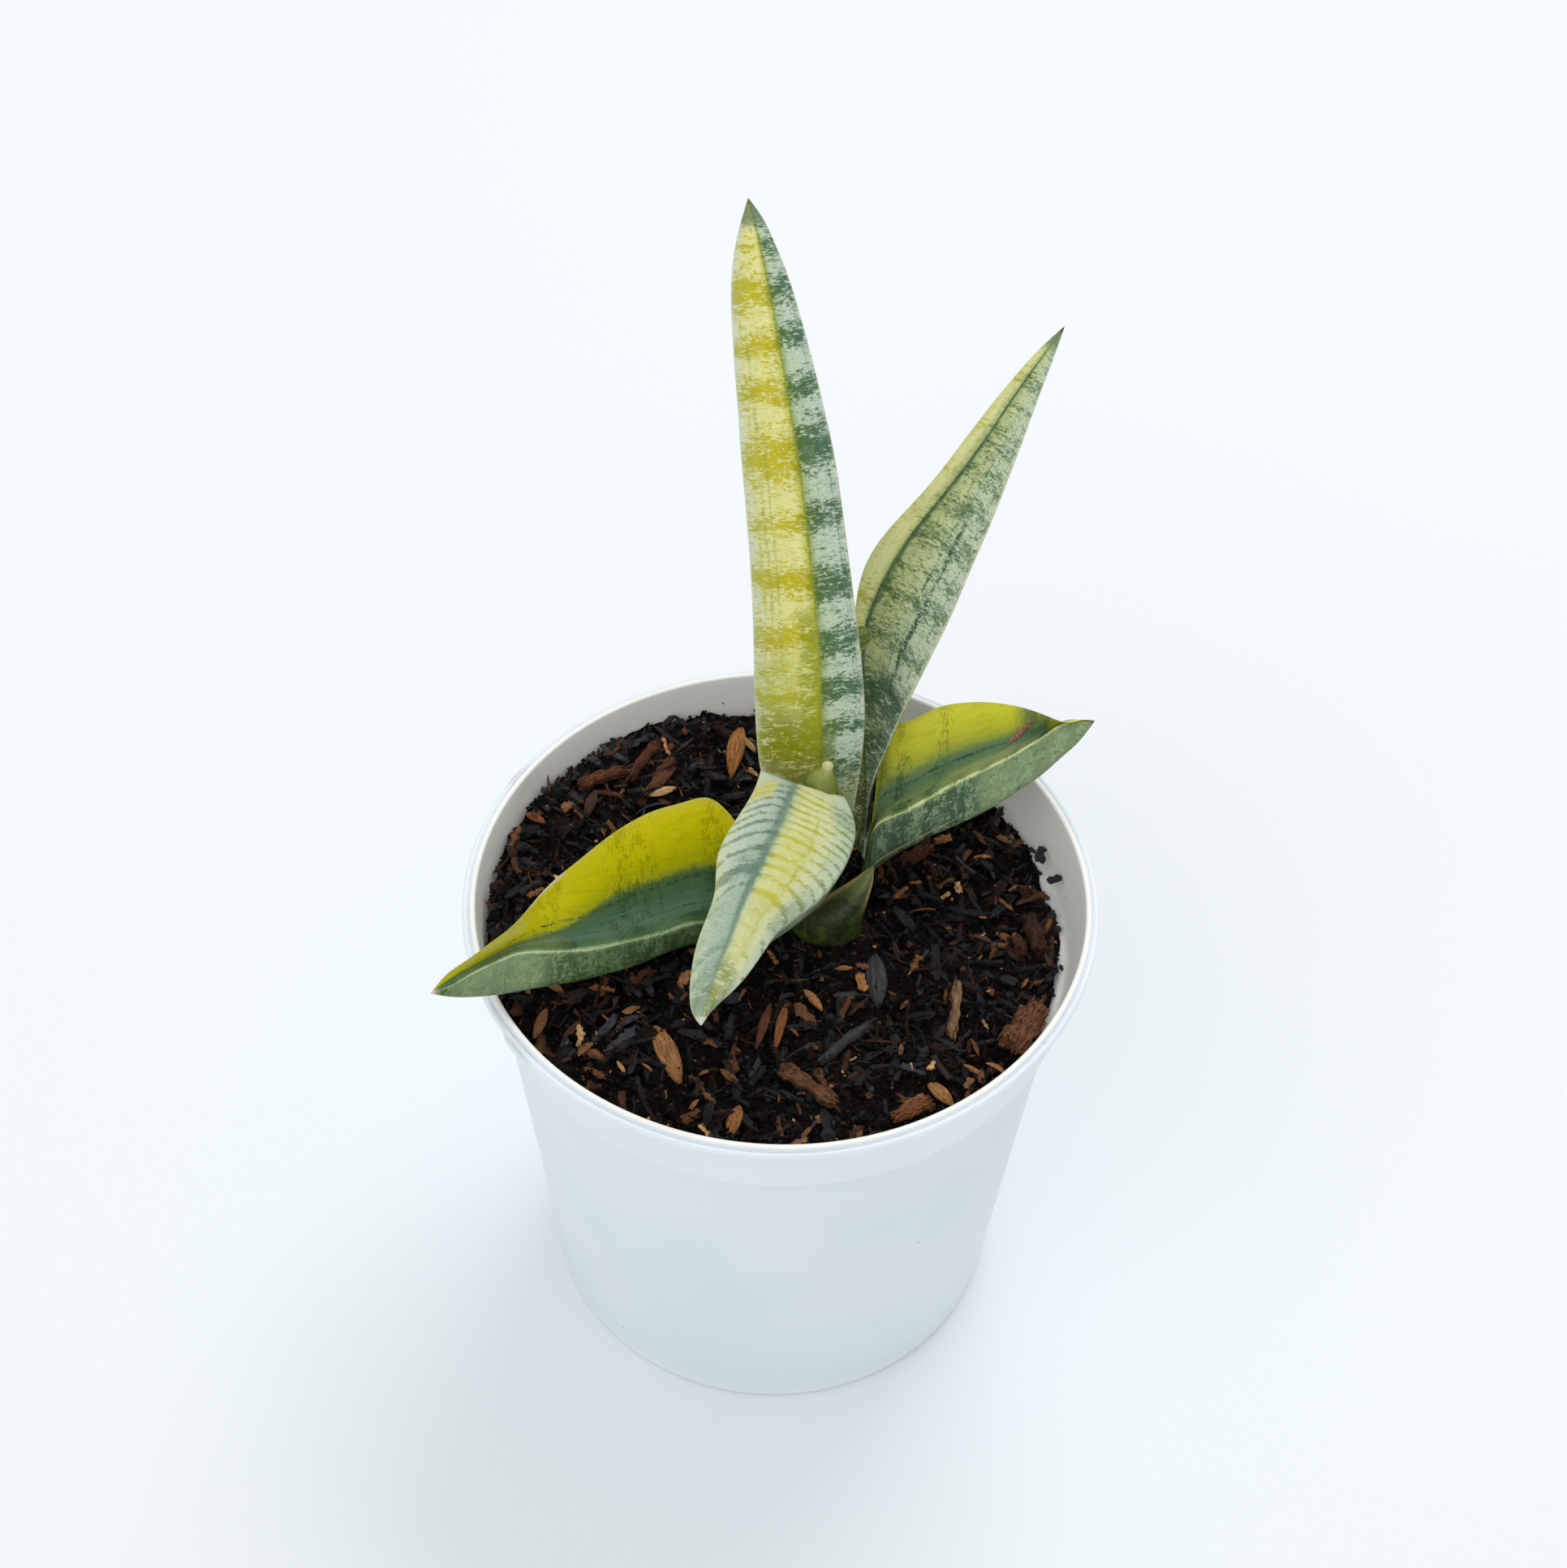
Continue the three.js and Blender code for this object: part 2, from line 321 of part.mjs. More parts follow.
// A round tapering shoot along a curve.
function shoot(points, radii, sides = 10, steps = 9) {
  const curve = new THREE.CatmullRomCurve3(points.map((p) => new THREE.Vector3(...p)));
  const rings = [];
  for (let i = 0; i <= steps; i++) {
    const t = i / steps;
    const c = curve.getPoint(t), d = curve.getTangent(t);
    const x = new THREE.Vector3(1, 0, 0).addScaledVector(d, -d.x).normalize();
    const y = new THREE.Vector3().crossVectors(d, x);
    const f = t * (radii.length - 1), k = Math.min(radii.length - 2, Math.floor(f));
    const r = lerp(radii[k], radii[k + 1], f - k);
    const ring = [];
    for (let j = 0; j < sides; j++) {
      const a = j / sides * Math.PI * 2;
      ring.push(c.clone().addScaledVector(x, Math.cos(a) * r).addScaledVector(y, Math.sin(a) * r));
    }
    rings.push(ring);
  }
  return loft(rings);
}

const newLeaf = shoot([[6.0, 9.6, 77.9], [6.2, 10.2, 88], [6.5, 12.2, 98], [6.7, 13.9, 104.3]], [2.6, 3.1, 3.0, 2.6, 1.7, 0.9, 0.85, 0.4], 10, 12);

// pieces of the rosette from the inside out: each is trimmed clear of those before it
const raw = {
  leaf_new: newLeaf,
  leaf_tall_centre: leafGeometry(LEAF_SECTIONS.leaf_tall_centre, { steps: 18 }),
  leaf_front: leafGeometry(LEAF_SECTIONS.leaf_front, { steps: 14 }),
  leaf_tall_right: leafGeometry(LEAF_SECTIONS.leaf_tall_right, { steps: 16 }),
  leaf_right: leafGeometry(LEAF_SECTIONS.leaf_right, { steps: 15 }),
  leaf_left: leafGeometry(LEAF_SECTIONS.leaf_left, { steps: 16 }),
  leaf_basal_scale: leafGeometry([
    [[6.0, -0.6, 79.6], [9.5, -2.4, 79.9], [12.4, -0.4, 79.9], [11.6, 0.6, 79.1], [9.2, -0.4, 78.7], [6.6, 0.6, 78.9]],
    [[5.4, -0.4, 83.4], [9.2, -3.0, 84.0], [13.2, -0.8, 83.8], [12.6, 0.5, 83.4], [9.2, -1.0, 83.2], [6.0, 0.6, 83.2]],
    [[6.4, 0.6, 86.6], [10.4, -2.0, 87.4], [14.0, 0.6, 87.0], [13.4, 1.4, 86.6], [10.4, -0.2, 86.6], [7.2, 1.4, 86.4]],
    [[10.6, 2.6, 88.6], [13.0, 1.6, 89.0], [14.6, 3.4, 88.6], [14.2, 3.8, 88.3], [12.8, 3.0, 88.2], [11.0, 3.4, 88.2]],
    [[14.2, 5.4, 89.3], [14.35, 5.4, 89.4], [14.5, 5.5, 89.3], [14.5, 5.6, 89.2], [14.35, 5.6, 89.15], [14.2, 5.6, 89.2]],
  ], { steps: 8 }),
};
const cut = {};
const grown = [];
for (const [name, g] of Object.entries(raw)) {
  let s = toSolid(g);
  for (const other of grown) s = s.subtract(other);
  cut[name] = toGeometry(s);
  grown.push(toSolid(inflate(g, GAP)));
}

// short creeping stem under the rosette, with its thick roots
const stemPoints = [[-7, 3, 66], [-2, 6, 69.5], [4, 8.5, 71.8], [9.5, 11.5, 72.6]];
let stem = toSolid(shoot(stemPoints, [3.4, 5.2, 5.6, 5.2, 3.2], 10, 6));
const rootRuns = [
  [[-5, 3.5, 65], [-15, -6, 58], [-22, -15, 42], [-24, -18, 24]],
  [[0, 6, 68], [-2, -8, 56], [4, -20, 38], [6, -24, 18]],
  [[6, 9, 69], [18, 2, 60], [26, -6, 42], [28, -10, 22]],
  [[7, 11, 70], [14, 22, 60], [18, 28, 44], [16, 26, 26]],
  [[-2, 6, 67], [-12, 18, 56], [-20, 24, 40], [-20, 22, 20]],
];
for (const run of rootRuns) stem = stem.add(toSolid(shoot(run, [1.7, 1.5, 1.2, 0.9, 0.6], 6, 5)));
const stemGeometry = toGeometry(stem);

// ---------------------------------------------------------------- potting mix
const mixProfile = [[0, FLOOR_TOP + GAP], ...innerWall.map(([r, z], i) => [r - GAP, i === 0 ? z + GAP : z]), [0, POT_HEIGHT - 0.3]];
let mix = toSolid(new THREE.LatheGeometry(mixProfile.map(([r, z]) => new THREE.Vector2(r, z)), 32), latheUp);
{
  const rings = 9, around = 32, reach = 52;
  const position = [0, 0, soilHeight(0, 0)];
  const index = [];
  for (let i = 1; i <= rings; i++) for (let j = 0; j < around; j++) {
    const r = reach * i / rings, a = (j + 0.5) / around * Math.PI * 2;
    const x = r * Math.cos(a), y = r * Math.sin(a);
    position.push(x, y, soilHeight(x, y));
  }
  const at = (i, j) => 1 + (i - 1) * around + (j % around);
  for (let j = 0; j < around; j++) index.push(0, at(1, j), at(1, j + 1));
  for (let i = 1; i < rings; i++) for (let j = 0; j < around; j++) {
    index.push(at(i, j), at(i + 1, j), at(i + 1, j + 1), at(i, j), at(i + 1, j + 1), at(i, j + 1));
  }
  const base = position.length / 3;
  position.push(0, 0, -2);
  for (let j = 0; j < around; j++) {
    const a = (j + 0.5) / around * Math.PI * 2;
    position.push(reach * Math.cos(a), reach * Math.sin(a), -2);
  }
  for (let j = 0; j < around; j++) {
    const t0 = at(rings, j), t1 = at(rings, j + 1), b0 = base + 1 + j, b1 = base + 1 + (j + 1) % around;
    index.push(t0, b0, b1, t0, b1, t1, base, b1, b0);
  }
  const block = new THREE.BufferGeometry();
  block.setAttribute('position', new THREE.Float32BufferAttribute(position, 3));
  block.setIndex(index);
  mix = mix.intersect(toSolid(block));
}
// the mix is packed round the stem, its roots and the feet of the leaves
mix = mix.subtract(toSolid(inflate(stemGeometry, GAP)));
for (const g of grown) mix = mix.subtract(g);
{
  const well = shoot([[4.6, 9.0, 74.6], [4.6, 9.0, 80.5]], [11.5, 12.5], 20, 1);
  mix = mix.subtract(toSolid(well));
}
const mixGeometry = toGeometry(mix);

// ---------------------------------------------------------------- loose pieces on the mix
// name, kind, one end [x, y], other end [x, y], width, thickness
const PIECES = [
  ['husk_tan_front', 'husk', [-19.0, -20.8], [-14.6, -30.6], 3.4, 0.8],
  ['husk_split_front_a', 'husk', [1.5, -14.0], [-0.3, -23.4], 1.4, 0.8],
  ['husk_split_front_b', 'husk', [-1.0, -14.6], [-3.1, -23.2], 1.4, 0.8],
  ['husk_charred_centre', 'husk', [15.1, -3.6], [15.7, -13.9], 3.4, 0.9],
  ['stick_pale_right', 'stick', [28.4, -7.5], [27.3, -18.1], 1.4, 1.1],
  ['bark_chunk_right', 'bark', [36.3, -20.3], [41.0, -12.8], 4.2, 3.4],
  ['bark_chip_wall', 'bark', [40.0, 6.2], [41.8, -0.6], 2.6, 1.6],
  ['husk_tall_back', 'husk', [-7.4, 42.2], [-8.9, 30.6], 3.0, 0.9],
  ['bark_bar_back_left', 'bark', [-33.2, 25.8], [-26.5, 29.7], 1.8, 1.5],
  ['bark_bar_back_mid', 'bark', [-25.4, 28.1], [-21.4, 36.2], 1.7, 1.4],
  ['bark_bar_back_low', 'bark', [-22.2, 25.0], [-18.3, 31.0], 1.6, 1.2],
  ['husk_left_edge', 'husk', [-41.8, 18.9], [-38.4, 17.4], 1.4, 0.7],
  ['husk_left_front', 'husk', [-37.2, -24.9], [-35.6, -19.3], 1.7, 0.8],
  ['bark_slab_front', 'bark', [1.2, -27.0], [9.0, -32.5], 2.4, 1.6],
  ['stick_charred_front', 'stick', [7.1, -24.9], [14.3, -17.2], 1.4, 1.4],
  ['husk_front_rim', 'husk', [-6.8, -39.9], [-5.4, -34.5], 2.4, 0.7],
  ['bark_front_right', 'bark', [18.2, -34.3], [23.7, -30.8], 2.0, 1.5],
  ['bark_under_right_leaf', 'bark', [19.4, 15.0], [24.2, 19.2], 2.2, 1.5],
  ['husk_right_front', 'husk', [23.3, -27.0], [27.5, -30.8], 2.4, 0.7],
];
function piece(kind, a, b, width, thick, za, zb) {
  const A = new THREE.Vector3(a[0], a[1], za), B = new THREE.Vector3(b[0], b[1], zb);
  const along = B.clone().sub(A).normalize();
  const side = new THREE.Vector3(0, 0, 1).cross(along).normalize();
  const up = along.clone().cross(side);
  const rings = [];
  const n = kind === 'husk' ? 5 : 4;
  for (let i = 0; i <= n; i++) {
    const t = i / n;
    let w, h, lift = 0;
    if (kind === 'husk') { w = Math.max(0.12, Math.sin(Math.PI * (0.04 + 0.92 * t)) ** 0.8); h = Math.max(0.35, w); lift = 0.5 * Math.sin(Math.PI * t) * 0.4; }
    else if (kind === 'stick') { w = [0.75, 1, 0.9, 1, 0.6][i]; h = w; }
    else { w = [0.7, 1, 0.92, 0.98, 0.6][i]; h = [0.7, 0.95, 1, 0.9, 0.6][i]; }
    const c = A.clone().lerp(B, t).addScaledVector(up, lift);
    const ring = [];
    const sides = 5;
    for (let j = 0; j < sides; j++) {
      const q = (j + 0.5) / sides * Math.PI * 2;
      ring.push(c.clone().addScaledVector(side, Math.cos(q) * width / 2 * w / 0.866).addScaledVector(up, Math.sin(q) * thick / 2 * h));
    }
    rings.push(ring);
  }
  return loft(rings);
}
const mixSurface = (x, y) => soilHeight(x, y);

// ---------------------------------------------------------------- assembly
const group = new THREE.Group();
group.name = 'potted_snake_plant';
function put(name, geometry, material) {
  const mesh = new THREE.Mesh(geometry, material);
  mesh.name = name;
  group.add(mesh);
}
put('pot', potGeometry, potPlastic);
put('potting_mix', mixGeometry, soilMix);
put('stem_and_roots', stemGeometry, rootBuff);
put('leaf_tall_centre', cut.leaf_tall_centre, leafPale);
put('leaf_tall_right', cut.leaf_tall_right, leafGreen);
put('leaf_front', cut.leaf_front, leafPale);
put('leaf_left', cut.leaf_left, leafYellow);
put('leaf_right', cut.leaf_right, leafYellow);
put('leaf_new', cut.leaf_new, budGreen);
put('leaf_basal_scale', cut.leaf_basal_scale, leafGreen);
for (const [name, kind, a, b, width, thick] of PIECES) {
  // each lies on the mix: its underside clears the highest point beneath it
  let need = -Infinity;
  for (let i = 0; i <= 6; i++) for (const s of [-1, 0, 1]) {
    const t = i / 6, dx = b[0] - a[0], dy = b[1] - a[1], l = Math.hypot(dx, dy);
    const x = a[0] + dx * t - dy / l * s * width / 2, y = a[1] + dy * t + dx / l * s * width / 2;
    const line = lerp(mixSurface(...a), mixSurface(...b), t);
    need = Math.max(need, mixSurface(x, y) - line);
  }
  const lift = need + GAP + thick / 2 + 0.05;
  const material = kind === 'stick' ? (name.includes('charred') ? charBlack : stickPale)
    : kind === 'bark' ? barkBrown : (name.includes('charred') ? charBlack : huskTan);
  put(name, piece(kind, a, b, width, thick, mixSurface(...a) + lift, mixSurface(...b) + lift), material);
}
// a splinter of wood caught on the inner face of the right leaf
put('splinter_on_right_leaf', piece('stick', [35.4, 21.9], [39.6, 26.2], 0.7, 0.6, 100.2, 102.2), stickPale);

export default group;
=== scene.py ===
import json
import math

import bpy
import numpy as np
from mathutils import Matrix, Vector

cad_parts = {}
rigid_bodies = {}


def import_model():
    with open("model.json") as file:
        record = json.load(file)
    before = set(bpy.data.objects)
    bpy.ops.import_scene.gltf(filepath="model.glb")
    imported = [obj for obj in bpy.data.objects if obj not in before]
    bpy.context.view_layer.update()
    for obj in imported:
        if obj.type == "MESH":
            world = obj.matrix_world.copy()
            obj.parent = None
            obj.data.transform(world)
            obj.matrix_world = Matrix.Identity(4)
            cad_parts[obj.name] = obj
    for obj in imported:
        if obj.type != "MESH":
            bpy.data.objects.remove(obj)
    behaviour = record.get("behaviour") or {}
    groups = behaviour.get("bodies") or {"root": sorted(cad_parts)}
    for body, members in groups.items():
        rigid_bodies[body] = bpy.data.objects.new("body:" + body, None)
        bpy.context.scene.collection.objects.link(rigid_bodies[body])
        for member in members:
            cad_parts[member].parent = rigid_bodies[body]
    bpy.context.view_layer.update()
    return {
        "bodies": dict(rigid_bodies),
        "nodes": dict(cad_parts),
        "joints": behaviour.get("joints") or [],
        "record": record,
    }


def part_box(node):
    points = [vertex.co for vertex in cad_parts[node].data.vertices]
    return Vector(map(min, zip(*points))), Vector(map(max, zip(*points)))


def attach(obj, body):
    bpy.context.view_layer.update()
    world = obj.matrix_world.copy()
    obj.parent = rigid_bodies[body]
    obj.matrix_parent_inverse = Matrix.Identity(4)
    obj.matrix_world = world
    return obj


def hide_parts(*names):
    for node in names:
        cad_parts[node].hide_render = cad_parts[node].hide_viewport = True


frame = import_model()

MM = 0.001
rng = np.random.default_rng(20417)

# ------------------------------------------------------------------ camera
# 50 degrees above the horizon, looking along +Y, half a metre from the rim
scene = bpy.context.scene
cam_data = bpy.data.cameras.new("camera")
cam_data.sensor_width = 36.0
cam_data.lens = 73.056
cam = bpy.data.objects.new("camera", cam_data)
scene.collection.objects.link(cam)
right = (0.99959232, 0.02137385, 0.01893031)
upward = (-0.02855095, 0.74356759, 0.66805096)
ahead = (-0.000202855, 0.66831908, -0.74387469)
cam.matrix_world = Matrix((
    (right[0], upward[0], -ahead[0], 0.0),
    (right[1], upward[1], -ahead[1], -0.32110368),
    (right[2], upward[2], -ahead[2], 0.47154152),
    (0, 0, 0, 1),
))
cam_data.clip_start = 0.01
cam_data.clip_end = 20
scene.camera = cam
scene.view_settings.view_transform = "Standard"
scene.view_settings.look = "None"


# ------------------------------------------------------------------ helpers
def srgb(r, g, b):
    """0-255 display colour to linear."""
    out = []
    for c in (r, g, b):
        c = c / 255.0
        out.append(c / 12.92 if c <= 0.04045 else ((c + 0.055) / 1.055) ** 2.4)
    return (*out, 1.0)


def make_mesh(name, verts, faces, uvs=None, attrs=None, smooth=True):
    """verts in millimetres; faces an (n, 3) or (n, 4) array or a list of such arrays."""
    if isinstance(faces, np.ndarray):
        faces = [faces]
    me = bpy.data.meshes.new(name)
    verts = np.asarray(verts, np.float64)
    me.vertices.add(len(verts))
    me.vertices.foreach_set("co", (verts * MM).astype(np.float32).ravel())
    loops = np.concatenate([f.ravel() for f in faces]).astype(np.int32)
    sizes = np.concatenate([np.full(len(f), f.shape[1]) for f in faces]).astype(np.int32)
    starts = np.concatenate([[0], np.cumsum(sizes)[:-1]]).astype(np.int32)
    me.loops.add(len(loops))
    me.loops.foreach_set("vertex_index", loops)
    me.polygons.add(len(sizes))
    me.polygons.foreach_set("loop_start", starts)
    me.polygons.foreach_set("loop_total", sizes)
    me.polygons.foreach_set("use_smooth", np.full(len(sizes), smooth))
    me.update(calc_edges=True)
    if uvs:
        for uv_name, per_loop in uvs.items():
            layer = me.uv_layers.new(name=uv_name)
            layer.data.foreach_set("uv", np.asarray(per_loop, np.float32).ravel())
    if attrs:
        for at_name, values in attrs.items():
            values = np.asarray(values, np.float32)
            if values.ndim == 2:
                a = me.color_attributes.new(name=at_name, type="FLOAT_COLOR", domain="POINT")
                if values.shape[1] == 3:
                    values = np.c_[values, np.ones(len(values))]
                a.data.foreach_set("color", values.astype(np.float32).ravel())
            else:
                a = me.attributes.new(name=at_name, type="FLOAT", domain="POINT")
                a.data.foreach_set("value", values)
    me.validate(clean_customdata=False)
    ob = bpy.data.objects.new(name, me)
    scene.collection.objects.link(ob)
    return ob


def spline(t, p, x):
    """Natural cubic spline through points p at t, read at x."""
    t = np.asarray(t, float)
    p = np.asarray(p, float)
    shape = p.shape[1:]
    p = p.reshape(len(t), -1)
    n = len(t)
    h = np.diff(t)
    A = np.zeros((n, n))
    rhs = np.zeros_like(p)
    A[0, 0] = A[-1, -1] = 1
    for i in range(1, n - 1):
        A[i, i - 1] = h[i - 1]
        A[i, i] = 2 * (h[i - 1] + h[i])
        A[i, i + 1] = h[i]
        rhs[i] = 3 * ((p[i + 1] - p[i]) / h[i] - (p[i] - p[i - 1]) / h[i - 1])
    c = np.linalg.solve(A, rhs)
    b = (p[1:] - p[:-1]) / h[:, None] - h[:, None] * (2 * c[:-1] + c[1:]) / 3
    d = (c[1:] - c[:-1]) / (3 * h[:, None])
    x = np.asarray(x, float)
    i = np.clip(np.searchsorted(t, x, side="right") - 1, 0, n - 2)
    u = (x - t[i])[:, None]
    out = p[i] + b[i] * u + c[i] * u ** 2 + d[i] * u ** 3
    return out.reshape(len(x), *shape)


def value_noise(points, scale, seed=0):
    """Smooth 3-D value noise in -1..1, the same each run."""
    q = np.asarray(points, float) * scale + 37.13 * (seed + 1)
    i = np.floor(q).astype(np.int64)
    f = q - i
    f = f * f * (3 - 2 * f)

    def h(ix, iy, iz):
        v = (ix * 374761393 + iy * 668265263 + iz * 2147483647 + seed * 1274126177) & 0xFFFFFFFF
        v = ((v ^ (v >> 13)) * 1274126177) & 0xFFFFFFFF
        v = (v ^ (v >> 16)) & 0xFFFF
        return v / 32767.5 - 1.0

    out = 0
    for dx in (0, 1):
        for dy in (0, 1):
            for dz in (0, 1):
                w = (f[..., 0] if dx else 1 - f[..., 0]) * (f[..., 1] if dy else 1 - f[..., 1]) * (f[..., 2] if dz else 1 - f[..., 2])
                out = out + w * h(i[..., 0] + dx, i[..., 1] + dy, i[..., 2] + dz)
    return out


# ------------------------------------------------------------------ shader helpers
class Nodes:
    def __init__(self, name):
        self.mat = bpy.data.materials.new(name)
        self.mat.use_nodes = True
        self.t = self.mat.node_tree
        self.t.nodes.clear()
        self.out = self.t.nodes.new("ShaderNodeOutputMaterial")
        self.bsdf = self.t.nodes.new("ShaderNodeBsdfPrincipled")
        self.t.links.new(self.bsdf.outputs["BSDF"], self.out.inputs["Surface"])

    def node(self, kind, **props):
        n = self.t.nodes.new(kind)
        for k, v in props.items():
            setattr(n, k, v)
        return n

    def link(self, a, b):
        self.t.links.new(a, b)

    def _in(self, socket, value):
        if value is None:
            return
        if isinstance(value, bpy.types.NodeSocket):
            self.link(value, socket)
        else:
            socket.default_value = value

    def math(self, op, a, b=None, c=None, clamp=False):
        n = self.node("ShaderNodeMath", operation=op, use_clamp=clamp)
        self._in(n.inputs[0], a)
        self._in(n.inputs[1], b)
        if c is not None:
            self._in(n.inputs[2], c)
        return n.outputs[0]

    def add(self, a, b):
        return self.math("ADD", a, b)

    def sub(self, a, b):
        return self.math("SUBTRACT", a, b)

    def mul(self, a, b):
        return self.math("MULTIPLY", a, b)

    def step(self, x, lo, hi):
        """0 below lo, 1 above hi, smooth between; lo above hi turns it round."""
        n = self.node("ShaderNodeMapRange", interpolation_type="SMOOTHSTEP")
        self._in(n.inputs["Value"], x)
        if lo <= hi:
            n.inputs["From Min"].default_value = lo
            n.inputs["From Max"].default_value = hi
            n.inputs["To Min"].default_value = 0
            n.inputs["To Max"].default_value = 1
        else:
            n.inputs["From Min"].default_value = hi
            n.inputs["From Max"].default_value = lo
            n.inputs["To Min"].default_value = 1
            n.inputs["To Max"].default_value = 0
        return n.outputs["Result"]

    def mix(self, fac, a, b, mode="MIX"):
        n = self.node("ShaderNodeMix", data_type="RGBA", blend_type=mode)
        self._in(n.inputs["Factor"], fac)
        self._in(n.inputs[6], a)
        self._in(n.inputs[7], b)
        return n.outputs[2]

    def grey(self, colour):
        n = self.node("ShaderNodeRGBToBW")
        self.link(colour, n.inputs[0])
        return n.outputs[0]

    def ramp(self, fac, stops, interpolation="LINEAR"):
        n = self.node("ShaderNodeValToRGB")
        cr = n.color_ramp
        cr.interpolation = interpolation
        stops = sorted(stops, key=lambda s: s[0])
        cr.elements[0].position = stops[0][0]
        cr.elements[0].color = self._col(stops[0][1])
        cr.elements[1].position = stops[-1][0]
        cr.elements[1].color = self._col(stops[-1][1])
        for pos, col in stops[1:-1]:
            e = cr.elements.new(pos)
            e.color = self._col(col)
        self._in(n.inputs["Fac"], fac)
        return n.outputs["Color"]

    @staticmethod
    def _col(c):
        if isinstance(c, (int, float)):
            return (c, c, c, 1)
        return tuple(c) if len(c) == 4 else (*c, 1)

    def uv(self, name):
        n = self.node("ShaderNodeUVMap")
        n.uv_map = name
        return n.outputs["UV"]

    def attr(self, name, out="Fac"):
        n = self.node("ShaderNodeAttribute")
        n.attribute_name = name
        return n.outputs[out]

    def xyz(self, vector):
        n = self.node("ShaderNodeSeparateXYZ")
        self.link(vector, n.inputs[0])
        return n.outputs

    def vec(self, x=0.0, y=0.0, z=0.0):
        n = self.node("ShaderNodeCombineXYZ")
        for s, v in zip(n.inputs, (x, y, z)):
            self._in(s, v)
        return n.outputs[0]

    def vscale(self, vector, s):
        n = self.node("ShaderNodeVectorMath", operation="MULTIPLY")
        self._in(n.inputs[0], vector)
        n.inputs[1].default_value = s if hasattr(s, "__len__") else (s, s, s)
        return n.outputs[0]

    def vadd(self, a, b):
        n = self.node("ShaderNodeVectorMath", operation="ADD")
        self._in(n.inputs[0], a)
        self._in(n.inputs[1], b)
        return n.outputs[0]

    def noise(self, vector, scale=1.0, detail=2.0, rough=0.5, distortion=0.0, out="Fac"):
        n = self.node("ShaderNodeTexNoise")
        self._in(n.inputs["Vector"], vector)
        n.inputs["Scale"].default_value = scale
        n.inputs["Detail"].default_value = detail
        n.inputs["Roughness"].default_value = rough
        n.inputs["Distortion"].default_value = distortion
        return n.outputs[out]

    def voronoi(self, vector, scale=1.0, feature="F1", out="Distance", randomness=1.0):
        n = self.node("ShaderNodeTexVoronoi", feature=feature)
        self._in(n.inputs["Vector"], vector)
        n.inputs["Scale"].default_value = scale
        n.inputs["Randomness"].default_value = randomness
        return n.outputs[out]

    def object_mm(self):
        """Position in the object's own coordinates, in millimetres."""
        n = self.node("ShaderNodeTexCoord")
        return self.vscale(n.outputs["Object"], 1000.0)

    def bump(self, height, distance_mm, strength=1.0, normal=None):
        n = self.node("ShaderNodeBump")
        self._in(n.inputs["Height"], height)
        n.inputs["Distance"].default_value = distance_mm * MM
        n.inputs["Strength"].default_value = strength
        if normal is not None:
            self.link(normal, n.inputs["Normal"])
        return n.outputs["Normal"]

    def finish(self, color=None, rough=None, normal=None, **sockets):
        b = self.bsdf
        self._in(b.inputs["Base Color"], color)
        self._in(b.inputs["Roughness"], rough)
        self._in(b.inputs["Normal"], normal)
        for k, v in sockets.items():
            self._in(b.inputs[k.replace("_", " ")], v)
        return self.mat


